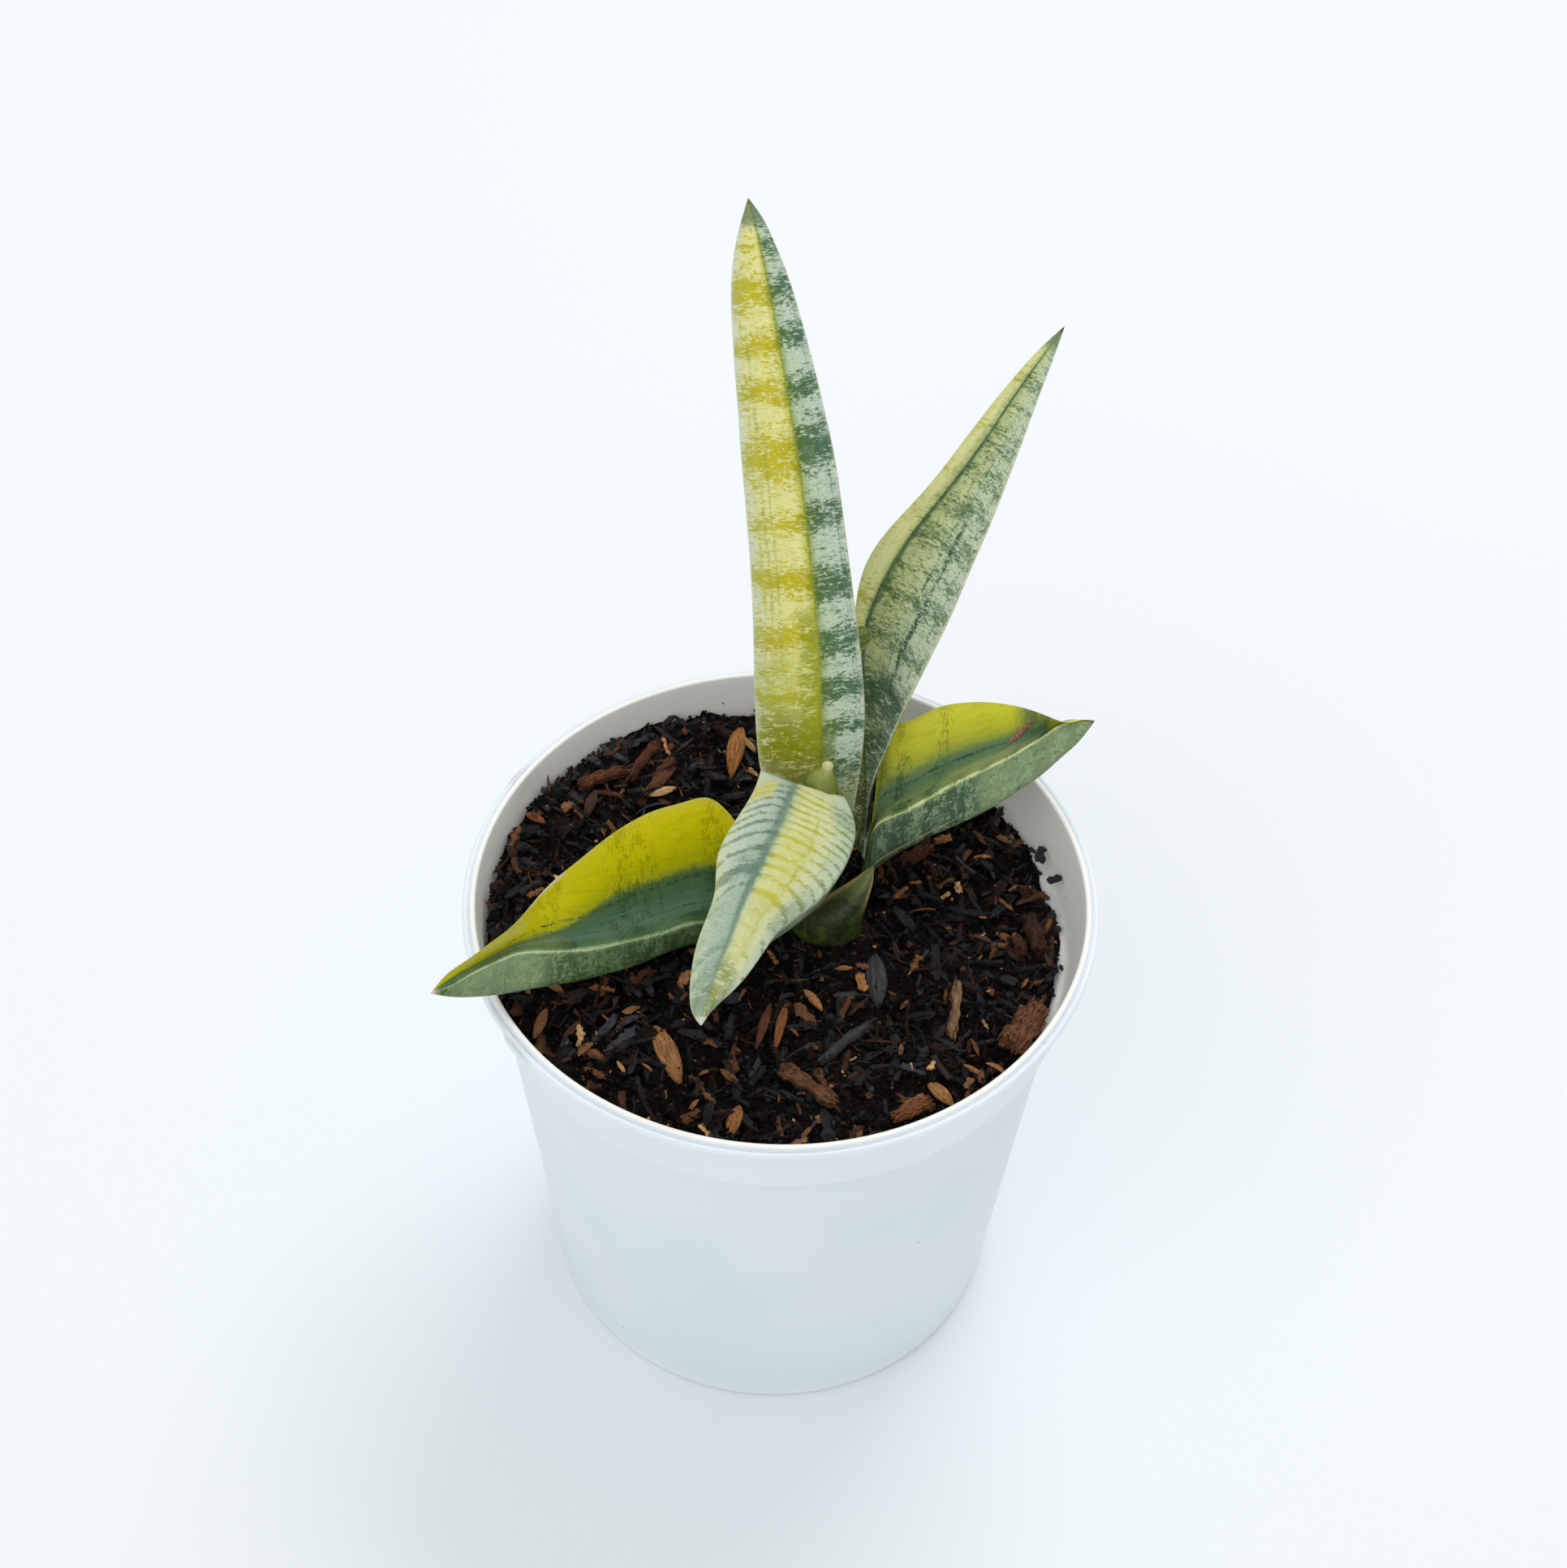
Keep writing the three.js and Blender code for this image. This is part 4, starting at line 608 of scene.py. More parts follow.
def leaf_material(name, length, spec):
    nd = Nodes(name)
    av = nd.xyz(nd.uv("leaf_av"))
    a, v = av[0], av[1]
    mmv = nd.vscale(nd.uv("leaf_mm"), 100.0)      # x across, y along, in millimetres
    sx = spec.get("seed", 1) * 13.7
    shifted = nd.vadd(mmv, (sx, sx * 1.7, sx * 0.3))
    worm = nd.noise(nd.vscale(shifted, (0.80, 2.3, 1.0)), 1.0, detail=3.0, rough=0.60, distortion=1.3)
    fleck = nd.noise(nd.vscale(shifted, (1.7, 2.6, 1.0)), 1.0, detail=3.0, rough=0.7, distortion=0.4)
    patch = nd.noise(nd.vscale(shifted, (0.30, 0.62, 1.0)), 1.0, detail=3.0, rough=0.6, distortion=0.6)
    broad = nd.noise(nd.vscale(shifted, (0.16, 0.10, 1.0)), 1.0, detail=2.0, rough=0.5, distortion=0.3)
    long_n = nd.noise(nd.vscale(shifted, (1.5, 0.09, 1.0)), 1.0, detail=3.0, rough=0.6)
    streaky = nd.noise(nd.vscale(shifted, (1.3, 0.62, 1.0)), 1.0, detail=4.0, rough=0.70, distortion=1.1)
    # bands bend across the leaf and have ragged ends
    half = nd.sub(a, 0.5)
    vv = nd.add(v, nd.mul(nd.sub(broad, 0.5), spec.get("wander", 0.05)))
    vv = nd.add(vv, nd.mul(nd.sub(long_n, 0.5), spec.get("ragged", 0.03)))
    if spec.get("arc"):
        vv = nd.add(vv, nd.mul(nd.mul(half, half), spec["arc"]))
    left = band_ramp(nd, vv, spec["left"])
    right_ = band_ramp(nd, vv, spec["right"])
    side = nd.step(a, 0.49, 0.53)
    band = nd.mix(side, left, right_)
    upper = nd.step(a, 1.02, 1.0)
    base_density = nd.mix(side, (spec["flecks"][0],) * 3 + (1,), (spec["flecks"][1],) * 3 + (1,))
    density = nd.add(nd.mul(nd.mul(nd.grey(band), spec.get("band", 1.0)), nd.add(0.62, nd.mul(patch, 0.60))), nd.grey(base_density))
    m = nd.add(nd.mul(density, 0.80), nd.mul(nd.sub(worm, 0.5), spec.get("mottle", 1.7)))
    m = nd.add(m, nd.mul(nd.sub(patch, 0.5), 0.9))
    m = nd.add(m, nd.mul(nd.sub(fleck, 0.5), 0.5))
    m = nd.step(m, spec.get("lo", 0.34), spec.get("hi", 0.66))
    # the outer face is mottled along the leaf, with only a trace of bands
    outer_d = nd.add(nd.mul(nd.sub(streaky, 0.5), 2.6), nd.mul(nd.sub(worm, 0.5), 0.9))
    outer_d = nd.add(outer_d, nd.mul(nd.sub(patch, 0.5), 1.6))
    outer_d = nd.add(outer_d, nd.mul(nd.grey(band), 0.30))
    outer_d = nd.add(outer_d, nd.mul(nd.sub(fleck, 0.5), 1.5))
    outer_m = nd.step(nd.add(outer_d, spec.get("outer", 0.30)), 0.22, 0.62)
    m = nd.mix(upper, outer_m, m)
    a_eff = a
    if spec.get("slide"):
        # the border between the two tones moves over towards the tip
        v0, v1, amount = spec["slide"]
        a_eff = nd.sub(a, nd.mul(nd.mul(nd.step(v, v0, v1), amount), nd.mul(nd.step(a, 0.06, 0.2), nd.step(a, 0.95, 0.6))))
    a2 = nd.mul(a_eff, 0.5)
    a3 = nd.add(a2, nd.mul(nd.sub(streaky, 0.5), spec.get("jag", 0.030)))
    a3 = nd.add(a3, nd.mul(nd.sub(fleck, 0.5), 0.014))
    light = nd.ramp(a3, [(p / 2, srgb(*c)) for p, c in spec["base"]])
    dark = nd.ramp(a3, [(p / 2, srgb(*c)) for p, c in spec["dark"]])
    # softer second tone in the light parts
    light = nd.mix(nd.mul(nd.step(fleck, 0.45, 0.75), spec.get("freckle", 0.22)), light, dark)
    col = nd.mix(m, light, dark)
    if spec.get("lines"):
        for centre, width, strength, v0, v1, c in spec["lines"]:
            dist = nd.math("ABSOLUTE", nd.sub(nd.add(a, nd.mul(nd.sub(broad, 0.5), 0.03)), centre))
            ln = nd.mul(nd.step(dist, width, width * 0.2), nd.step(nd.add(long_n, nd.mul(nd.sub(fleck, 0.5), 0.5)), 0.30, 0.58))
            ln = nd.mul(ln, nd.mul(nd.step(v, v0, v0 + 0.05), nd.step(v, v1, v1 - 0.06)))
            ln = nd.mul(ln, nd.step(nd.add(worm, nd.mul(nd.sub(streaky, 0.5), 0.8)), 0.34, 0.60))
            ln = nd.math("MINIMUM", nd.mul(ln, strength), 1.0)
            col = nd.mix(ln, col, srgb(*c))
    for tint in spec.get("patches", []):
        # soft-edged tint: (a0, a1, v0, v1, colour, amount)
        a0, a1, v0, v1, c, amount = tint
        aw = nd.add(a, nd.mul(nd.sub(streaky, 0.5), 0.10))
        w = nd.mul(nd.step(aw, a0 - 0.04, a0 + 0.04), nd.step(aw, a1 + 0.04, a1 - 0.04))
        vw = nd.add(vv, nd.mul(nd.sub(worm, 0.5), 0.06))
        w = nd.mul(w, nd.mul(nd.step(vw, v0 - 0.03, v0 + 0.03), nd.step(vw, v1 + 0.03, v1 - 0.03)))
        w = nd.mul(w, nd.step(nd.add(worm, nd.mul(nd.sub(patch, 0.5), 0.8)), 0.28, 0.50))
        col = nd.mix(nd.mul(w, amount), col, srgb(*c))
    if spec.get("foot"):
        v1, c, amount = spec["foot"]
        col = nd.mix(nd.mul(nd.step(v, v1, 0.0), amount), col, srgb(*c))
    if spec.get("tip"):
        v0, c, amount = spec["tip"]
        col = nd.mix(nd.mul(nd.step(nd.add(v, nd.mul(nd.sub(worm, 0.5), 0.03)), v0, v0 + 0.02), amount), col, srgb(*c))
    if spec.get("nib"):
        v0, c = spec["nib"]
        col = nd.mix(nd.step(nd.add(v, nd.mul(nd.sub(fleck, 0.5), 0.006)), v0, v0 + 0.004), col, srgb(*c))
    # pale margins
    if spec.get("rim"):
        width, c, amount = spec["rim"]
        edge = nd.math("MINIMUM", nd.math("ABSOLUTE", nd.sub(a, 1.0)), nd.math("MINIMUM", nd.math("ABSOLUTE", a), nd.math("ABSOLUTE", nd.sub(a, 2.0))))
        col = nd.mix(nd.mul(nd.step(edge, width, width * 0.2), amount), col, srgb(*c))
    # fine pores and cells, seen close to
    pores = nd.noise(nd.vscale(shifted, (5.5, 6.5, 1.0)), 1.0, detail=3.0, rough=0.7)
    shade = nd.mix(1.0, col, (0.70, 0.74, 0.66, 1.0), "MULTIPLY")
    col = nd.mix(nd.mul(nd.step(pores, 0.52, 0.72), spec.get("pores", 0.30)), col, shade)
    streak_n = nd.noise(nd.vscale(shifted, (1.1, 0.20, 1.0)), 1.0, detail=4.0, rough=0.65, distortion=0.5)
    col = nd.mix(nd.mul(nd.step(streak_n, 0.48, 0.70), spec.get("streak", 0.22)), col, shade)
    # waxy bloom
    bloom = nd.mul(nd.step(nd.noise(nd.vscale(shifted, (0.5, 0.7, 1)), 1.0, detail=4.0, rough=0.7), 0.48, 0.75), spec.get("bloom", 0.10))
    col = nd.mix(bloom, col, srgb(222, 226, 208))
    scar = spec.get("scars", [])
    for a0, v0, v1, half_mm, c in scar:
        # a dry line: constant a between two points along the leaf
        dist = nd.math("ABSOLUTE", nd.sub(nd.add(a, nd.mul(nd.sub(long_n, 0.5), 0.02)), a0))
        w = nd.mul(nd.step(dist, half_mm, half_mm * 0.4), nd.mul(nd.step(v, v0, v0 + 0.01), nd.step(v, v1, v1 - 0.01)))
        w = nd.mul(w, nd.step(fleck, 0.36, 0.46))
        col = nd.mix(nd.mul(w, 0.85), col, srgb(*c))
    rough = nd.add(spec.get("gloss", 0.32), nd.mul(worm, 0.18))
    striae = nd.noise(nd.vscale(shifted, (3.2, 0.06, 1.0)), 1.0, detail=2.0, rough=0.5)
    grain = nd.noise(nd.vscale(shifted, (1.4, 4.2, 1.0)), 1.0, detail=4.0, rough=0.65, distortion=0.8)
    n1 = nd.bump(striae, 0.10, 0.55)
    n2 = nd.bump(grain, 0.07, 0.55, n1)
    return nd.finish(col, rough, n2, IOR=1.42, Specular_IOR_Level=spec.get("spec", 0.30))


LEAF_SPECS = {
    "leaf_tall_centre": dict(
        seed=1, wander=0.034, ragged=0.022, flecks=(0.34, 0.30), bloom=0.12, streak=0.30, band=0.70, mottle=2.1, lo=0.26, hi=0.74,
        base=[(0, (222, 228, 202)), (0.06, (226, 228, 192)), (0.14, (232, 230, 160)), (0.3, (242, 238, 156)), (0.42, (244, 240, 164)), (0.478, (212, 212, 100)),
              (0.495, (158, 164, 50)), (0.515, (166, 184, 120)), (0.6, (206, 222, 188)), (0.78, (208, 224, 200)), (0.9, (202, 220, 198)), (0.965, (214, 224, 202)), (1.0, (214, 222, 198)),
              (1.1, (150, 170, 135)), (1.5, (138, 158, 118)), (1.9, (160, 178, 138)), (2.0, (208, 216, 186))],
        dark=[(0, (186, 190, 110)), (0.1, (192, 184, 44)), (0.3, (204, 190, 18)), (0.42, (198, 184, 10)), (0.49, (150, 150, 16)), (0.51, (96, 118, 44)),
              (0.6, (84, 116, 62)), (0.78, (80, 114, 78)), (0.92, (76, 110, 84)), (1.0, (124, 146, 102)), (1.1, (76, 102, 70)), (1.5, (72, 98, 58)), (1.9, (96, 120, 70)), (2.0, (154, 170, 96))],
        left=[(0.10, 0.07, 0.9), (0.20, 0.06, 1.0), (0.285, 0.036, 0.9), (0.325, 0.03, 0.6), (0.372, 0.042, 1.0), (0.462, 0.034, 0.95), (0.545, 0.030, 0.7), (0.640, 0.060, 0.95),
              (0.73, 0.034, 0.8), (0.80, 0.034, 0.8), (0.875, 0.040, 0.9), (0.94, 0.02, 0.5)],
        right=[(0.08, 0.04, 0.6), (0.165, 0.055, 0.80), (0.228, 0.032, 1.0), (0.290, 0.034, 1.0), (0.365, 0.036, 1.0), (0.457, 0.042, 1.1), (0.553, 0.034, 1.0), (0.658, 0.052, 1.1),
               (0.74, 0.030, 0.95), (0.81, 0.028, 0.9), (0.875, 0.034, 0.95), (0.94, 0.026, 0.8)],
        patches=[(0.02, 0.5, 0.18, 0.35, (182, 184, 60), 0.5), (0.05, 0.5, 0.07, 0.26, (132, 138, 4), 0.78), (0.36, 0.5, 0.20, 0.42, (158, 162, 16), 0.8), (0.50, 0.66, 0.08, 0.24, (104, 122, 30), 0.75),
                 (0.66, 0.96, 0.0, 0.15, (170, 172, 72), 0.6)],
        lines=[(0.5, 0.016, 1.1, 0.16, 0.97, (146, 150, 34)), (0.105, 0.020, 0.6, 0.12, 0.9, (192, 186, 60)), (0.16, 0.020, 0.5, 0.25, 0.85, (150, 156, 70)),
               (0.22, 0.018, 0.45, 0.30, 0.80, (126, 140, 70)), (0.885, 0.016, 0.8, 0.2, 0.93, (84, 116, 94)), (0.925, 0.014, 0.7, 0.2, 0.93, (92, 122, 98)), (0.70, 0.016, 0.4, 0.3, 0.8, (108, 138, 92))],
        foot=(0.07, (150, 152, 60), 0.5), tip=(0.952, (88, 116, 84), 0.8), nib=(0.990, (112, 116, 66)), rim=(0.030, (220, 226, 200), 0.6)),
    "leaf_tall_right": dict(
        seed=2, wander=0.045, ragged=0.035, flecks=(0.22, 0.38), bloom=0.12, streak=0.5, band=0.50, mottle=2.1, lo=0.24, hi=0.74,
        base=[(0, (226, 228, 170)), (0.06, (240, 236, 160)), (0.2, (248, 244, 176)), (0.36, (244, 240, 170)), (0.43, (214, 218, 140)), (0.475, (104, 130, 84)), (0.51, (92, 118, 74)), (0.53, (190, 202, 140)),
              (0.65, (218, 224, 168)), (0.8, (210, 224, 188)), (0.92, (212, 226, 196)), (0.97, (214, 222, 198)), (1.0, (214, 222, 196)), (1.1, (150, 168, 140)), (1.5, (130, 150, 118)), (1.9, (160, 172, 100)), (2.0, (210, 212, 150))],
        dark=[(0, (194, 192, 84)), (0.2, (204, 200, 70)), (0.36, (190, 188, 62)), (0.475, (74, 98, 54)), (0.52, (74, 98, 54)), (0.65, (102, 130, 82)), (0.85, (100, 128, 98)), (1.0, (118, 140, 98)),
              (1.1, (78, 100, 76)), (1.5, (72, 94, 64)), (1.9, (120, 132, 56)), (2.0, (168, 170, 80))],
        left=[(0.12, 0.12, 0.9), (0.30, 0.12, 1.0), (0.42, 0.07, 0.8), (0.60, 0.03, 0.5), (0.70, 0.026, 0.4), (0.80, 0.026, 0.3), (0.90, 0.03, 0.5)],
        right=[(0.08, 0.09, 1.0), (0.20, 0.09, 1.0), (0.29, 0.06, 0.95), (0.375, 0.036, 0.8), (0.463, 0.032, 0.8), (0.515, 0.018, 0.5), (0.577, 0.036, 0.7), (0.647, 0.032, 0.62), (0.713, 0.030, 0.6), (0.785, 0.030, 0.6),
               (0.84, 0.024, 0.5), (0.887, 0.034, 0.7)],
        patches=[(0.52, 1.0, 0.0, 0.33, (58, 88, 66), 0.72), (0.0, 0.5, 0.0, 0.2, (60, 84, 52), 0.8), (0.3, 0.46, 0.6, 0.95, (150, 170, 124), 0.45)],
        lines=[(0.485, 0.024, 1.5, 0.10, 0.93, (60, 90, 62)), (0.80, 0.024, 1.6, 0.10, 0.66, (60, 92, 76)), (0.74, 0.014, 0.9, 0.3, 0.85, (84, 114, 86)), (0.66, 0.014, 0.7, 0.3, 0.85, (150, 160, 70)), (0.58, 0.014, 0.6, 0.2, 0.85, (168, 172, 76)), (0.92, 0.012, 0.8, 0.3, 0.9, (112, 138, 102)),
               (0.25, 0.012, 0.6, 0.4, 0.95, (190, 190, 84))],
        tip=(0.945, (128, 154, 110), 0.8), nib=(0.988, (110, 92, 62)), rim=(0.03, (220, 226, 188), 0.6)),
    "leaf_front": dict(
        seed=3, wander=0.020, ragged=0.008, mottle=1.2, flecks=(0.05, 0.02), bloom=0.12, arc=-0.40, freckle=0.25, lo=0.28, hi=0.72,
        base=[(0, (214, 220, 180)), (0.1, (206, 216, 186)), (0.2, (196, 209, 188)), (0.3, (184, 200, 180)), (0.42, (164, 184, 166)), (0.475, (124, 146, 128)), (0.51, (128, 150, 124)), (0.55, (194, 204, 160)),
              (0.63, (218, 217, 160)), (0.82, (214, 217, 168)), (0.93, (196, 208, 176)), (1.0, (190, 204, 178)), (1.1, (168, 186, 160)), (1.4, (150, 170, 124)), (1.7, (160, 176, 136)), (2.0, (204, 212, 176))],
        dark=[(0, (176, 186, 110)), (0.12, (140, 160, 132)), (0.3, (112, 136, 112)), (0.45, (92, 118, 102)), (0.52, (110, 128, 82)), (0.58, (182, 178, 64)), (0.7, (190, 186, 62)), (0.84, (174, 176, 88)),
              (0.93, (136, 152, 104)), (1.0, (120, 142, 108)), (1.1, (96, 122, 92)), (1.4, (104, 120, 50)), (1.7, (110, 134, 88)), (2.0, (176, 186, 100))],
        left=[(0.030, 0.014, 0.8), (0.062, 0.016, 0.9), (0.098, 0.016, 0.9), (0.135, 0.017, 0.9), (0.172, 0.018, 0.95), (0.212, 0.02, 0.9), (0.262, 0.024, 0.85), (0.335, 0.034, 0.9), (0.415, 0.055, 1.15), (0.49, 0.034, 0.75),
              (0.545, 0.040, 0.55), (0.60, 0.04, 0.35), (0.646, 0.05, 0.55), (0.70, 0.04, 0.35), (0.74, 0.045, 0.60), (0.807, 0.05, 0.65), (0.885, 0.06, 0.8), (0.95, 0.03, 0.6)],
        right=[(0.02, 0.014, 0.9), (0.052, 0.016, 0.95), (0.086, 0.015, 0.9), (0.120, 0.016, 0.95), (0.155, 0.015, 0.85), (0.19, 0.017, 0.95), (0.228, 0.017, 0.85), (0.268, 0.019, 0.95), (0.312, 0.018, 0.8), (0.358, 0.022, 0.95),
               (0.402, 0.018, 0.8), (0.446, 0.022, 0.9), (0.503, 0.028, 0.9), (0.57, 0.03, 0.7), (0.64, 0.03, 0.65), (0.72, 0.03, 0.6), (0.81, 0.03, 0.8), (0.885, 0.04, 1.0), (0.94, 0.026, 0.9)],
        patches=[(0.55, 0.78, 0.22, 0.55, (194, 190, 62), 0.45), (0.02, 0.30, 0.0, 0.09, (214, 204, 84), 0.8), (0.20, 0.46, 0.36, 0.46, (108, 132, 114), 0.6), (0.05, 0.48, 0.78, 0.96, (118, 140, 110), 0.6), (0.04, 0.44, 0.50, 0.80, (140, 164, 134), 0.45),
                 (0.84, 1.0, 0.0, 0.10, (126, 148, 124), 0.5), (0.84, 1.0, 0.42, 0.60, (126, 148, 116), 0.5), (0.56, 0.8, 0.52, 0.80, (188, 190, 110), 0.5), (0.52, 0.98, 0.77, 0.96, (108, 128, 80), 0.66)],
        lines=[(0.485, 0.050, 1.6, 0.02, 0.62, (98, 126, 116)), (0.49, 0.022, 1.3, 0.45, 0.84, (104, 130, 114)), (0.745, 0.022, 1.3, 0.12, 0.72, (180, 176, 58)), (0.30, 0.014, 0.5, 0.1, 0.6, (140, 160, 140)), (0.88, 0.014, 0.6, 0.1, 0.6, (140, 160, 130))],
        tip=(0.90, (124, 148, 108), 0.45), nib=(0.972, (206, 202, 188)), rim=(0.02, (206, 212, 176), 0.35)),
    "leaf_left": dict(
        seed=4, wander=0.05, ragged=0.02, flecks=(0.0, 0.30), bloom=0.02, freckle=0.08, outer=0.36, slide=(0.46, 0.72, 0.15), spec=0.30, gloss=0.26, streak=0.45, jag=0.022, pores=0.4,
        base=[(0, (230, 218, 96)), (0.04, (236, 222, 24)), (0.12, (226, 214, 0)), (0.19, (202, 196, 0)), (0.24, (182, 180, 6)), (0.275, (84, 110, 62)), (0.36, (70, 104, 76)), (0.5, (80, 112, 88)), (0.62, (86, 116, 84)), (0.8, (94, 122, 86)), (0.93, (98, 126, 86)),
              (0.985, (140, 164, 120)), (1.0, (176, 192, 152)), (1.015, (108, 134, 92)), (1.2, (112, 136, 94)), (1.5, (124, 146, 112)), (1.62, (126, 140, 80)), (1.8, (170, 166, 44)), (2.0, (230, 218, 96))],
        dark=[(0, (216, 204, 40)), (0.05, (206, 192, 4)), (0.14, (182, 172, 0)), (0.22, (154, 150, 0)), (0.27, (66, 92, 44)), (0.36, (48, 80, 54)), (0.5, (46, 78, 56)), (0.62, (54, 84, 58)), (0.8, (60, 90, 54)), (0.95, (64, 92, 54)), (1.0, (120, 138, 96)), (1.03, (62, 88, 48)),
              (1.2, (60, 84, 46)), (1.5, (68, 92, 56)), (1.8, (130, 126, 12)), (2.0, (216, 204, 40))],
        left=[(0.2, 0.25, 0.65), (0.45, 0.2, 0.7), (0.65, 0.1, 0.5), (0.93, 0.03, 0.3)],
        right=[(0.10, 0.10, 0.7), (0.24, 0.08, 0.7), (0.42, 0.10, 0.6), (0.62, 0.08, 0.7), (0.80, 0.06, 0.6), (0.93, 0.03, 0.7)],
        patches=[(0.0, 0.27, 0.71, 0.93, (236, 226, 110), 0.8), (0.0, 0.25, 0.93, 0.985, (184, 188, 80), 0.5), (0.36, 0.95, 0.62, 0.93, (126, 144, 84), 0.45), (1.0, 1.6, 0.66, 0.95, (140, 158, 120), 0.5), (1.0, 1.75, 0.22, 0.60, (54, 78, 42), 0.45)],
        lines=[(0.30, 0.016, 1.0, 0.05, 0.85, (46, 76, 56)), (0.37, 0.010, 0.9, 0.05, 0.85, (96, 128, 104)), (0.44, 0.012, 1.0, 0.05, 0.85, (44, 76, 60)), (0.52, 0.010, 0.8, 0.05, 0.85, (104, 134, 112)), (0.60, 0.012, 0.9, 0.05, 0.8, (52, 82, 60)), (0.69, 0.010, 0.7, 0.05, 0.85, (108, 136, 104)), (0.78, 0.012, 0.9, 0.1, 0.8, (66, 94, 70))],
        tip=(0.965, (196, 186, 140), 0.5), nib=(0.984, (216, 192, 182)), rim=(0.006, (190, 202, 152), 0.6),
        scars=[(1.985, 0.60, 0.70, 0.03, (240, 224, 212)), (0.02, 0.60, 0.70, 0.02, (240, 224, 212))]),
    "leaf_right": dict(
        seed=5, wander=0.05, ragged=0.02, flecks=(0.0, 0.20), bloom=0.03, freckle=0.16, outer=0.40, spec=0.32, gloss=0.26, streak=0.45, jag=0.024, pores=0.4,
        base=[(0, (216, 214, 70)), (0.05, (228, 224, 48)), (0.14, (212, 210, 32)), (0.22, (188, 190, 38)), (0.27, (152, 164, 54)), (0.305, (104, 130, 80)), (0.38, (92, 122, 86)), (0.5, (118, 140, 90)), (0.6, (136, 152, 100)), (0.75, (140, 156, 104)), (0.92, (134, 154, 100)),
              (0.98, (190, 202, 140)), (1.0, (206, 214, 158)), (1.015, (120, 146, 108)), (1.2, (124, 148, 112)), (1.5, (122, 146, 108)), (1.8, (148, 156, 66)), (2.0, (216, 214, 70))],
        dark=[(0, (180, 180, 30)), (0.14, (162, 164, 14)), (0.22, (136, 142, 16)), (0.27, (104, 122, 34)), (0.31, (60, 90, 50)), (0.38, (54, 84, 56)), (0.5, (66, 92, 54)), (0.6, (80, 102, 60)), (0.75, (78, 102, 62)), (0.95, (80, 106, 64)), (1.0, (130, 146, 90)), (1.03, (54, 82, 54)),
              (1.2, (54, 80, 56)), (1.5, (58, 84, 54)), (1.8, (110, 118, 28)), (2.0, (180, 180, 30))],
        left=[(0.12, 0.14, 0.9), (0.3, 0.1, 0.7), (0.45, 0.08, 0.55), (0.62, 0.05, 0.3)],
        right=[(0.08, 0.08, 0.9), (0.2, 0.07, 0.85), (0.32, 0.06, 0.8), (0.42, 0.05, 0.75), (0.52, 0.05, 0.7), (0.62, 0.04, 0.65), (0.72, 0.04, 0.7), (0.82, 0.05, 0.85), (0.92, 0.03, 0.8)],
        # the first patch, a darker olive over the foot of the yellow half, is painted shade where the tall right leaf
        # shadows this leaf
        patches=[(0.0, 0.30, 0.0, 0.26, (80, 90, 22), 0.75), (0.0, 0.36, 0.725, 0.90, (82, 118, 80), 0.85), (0.34, 0.5, 0.74, 0.92, (66, 104, 84), 0.6), (0.45, 0.95, 0.48, 0.76, (166, 170, 112), 0.45),
                 (0.45, 1.0, 0.0, 0.30, (66, 86, 44), 0.5), (1.0, 1.7, 0.0, 0.36, (52, 72, 50), 0.55), (1.0, 1.7, 0.60, 0.95, (150, 168, 122), 0.55)],
        lines=[(0.35, 0.020, 1.2, 0.1, 0.85, (46, 78, 66)), (0.56, 0.010, 1.1, 0.1, 0.75, (78, 100, 56)), (0.66, 0.010, 1.1, 0.1, 0.75, (84, 104, 60)), (0.77, 0.010, 1.0, 0.1, 0.75, (90, 110, 62)), (0.86, 0.010, 0.9, 0.1, 0.75, (92, 112, 66))],
        tip=(0.95, (130, 150, 96), 0.6), nib=(0.985, (104, 80, 58)), rim=(0.007, (204, 214, 152), 0.75),
        scars=[(1.17, 0.22, 0.52, 0.008, (160, 142, 104))]),
}

leaf_objects = {}
for leaf_name, spec in LEAF_SPECS.items():
    kw = dict(seed=spec["seed"])
    if leaf_name == "leaf_front":
        kw["hollow"] = (0.55, 0.14)
    ob, leaf_length = leaf(leaf_name, **kw)
    ob.data.materials.append(leaf_material(leaf_name + "_material", leaf_length, spec))
    leaf_objects[leaf_name] = ob


# ------------------------------------------------------------------ pot
POT_HEIGHT, RIM, LIP, BASE_R, BODY_R, COLLAR_R, COLLAR_Z, WALL = 88.3, 50.0, 47.8, 37.4, 45.1, 46.8, 75.4, 1.1
INNER = np.array([[BASE_R - WALL - 0.9, 2.6], [BASE_R - WALL + 0.1, 3.5], [BODY_R - WALL - 0.1, COLLAR_Z - 1.4], [BODY_R - WALL + 0.5, COLLAR_Z - 0.5],
                  [COLLAR_R - WALL - 0.2, COLLAR_Z + 0.5], [COLLAR_R - WALL + 0.25, COLLAR_Z + 1.6], [LIP - 0.15, POT_HEIGHT - 1.2], [LIP, POT_HEIGHT - 0.3]])


def wall_radius(z):
    """Inside radius of the pot at height z."""
    return np.interp(z, INNER[:, 1], INNER[:, 0])


def rounded(profile, reach=0.45, steps=5):
    """Round each corner of an open polyline over at most `reach` on either side."""
    P = np.array(profile, float)
    out = [P[0]]
    for i in range(1, len(P) - 1):
        a, b, c = P[i - 1], P[i], P[i + 1]
        la, lc = np.linalg.norm(a - b), np.linalg.norm(c - b)
        ra, rc = min(reach, la * 0.45), min(reach, lc * 0.45)
        s, e = b + (a - b) / la * ra, b + (c - b) / lc * rc
        for k in range(steps + 1):
            t = k / steps
            out.append((1 - t) ** 2 * s + 2 * t * (1 - t) * b + t * t * e)
    out.append(P[-1])
    return np.array(out)


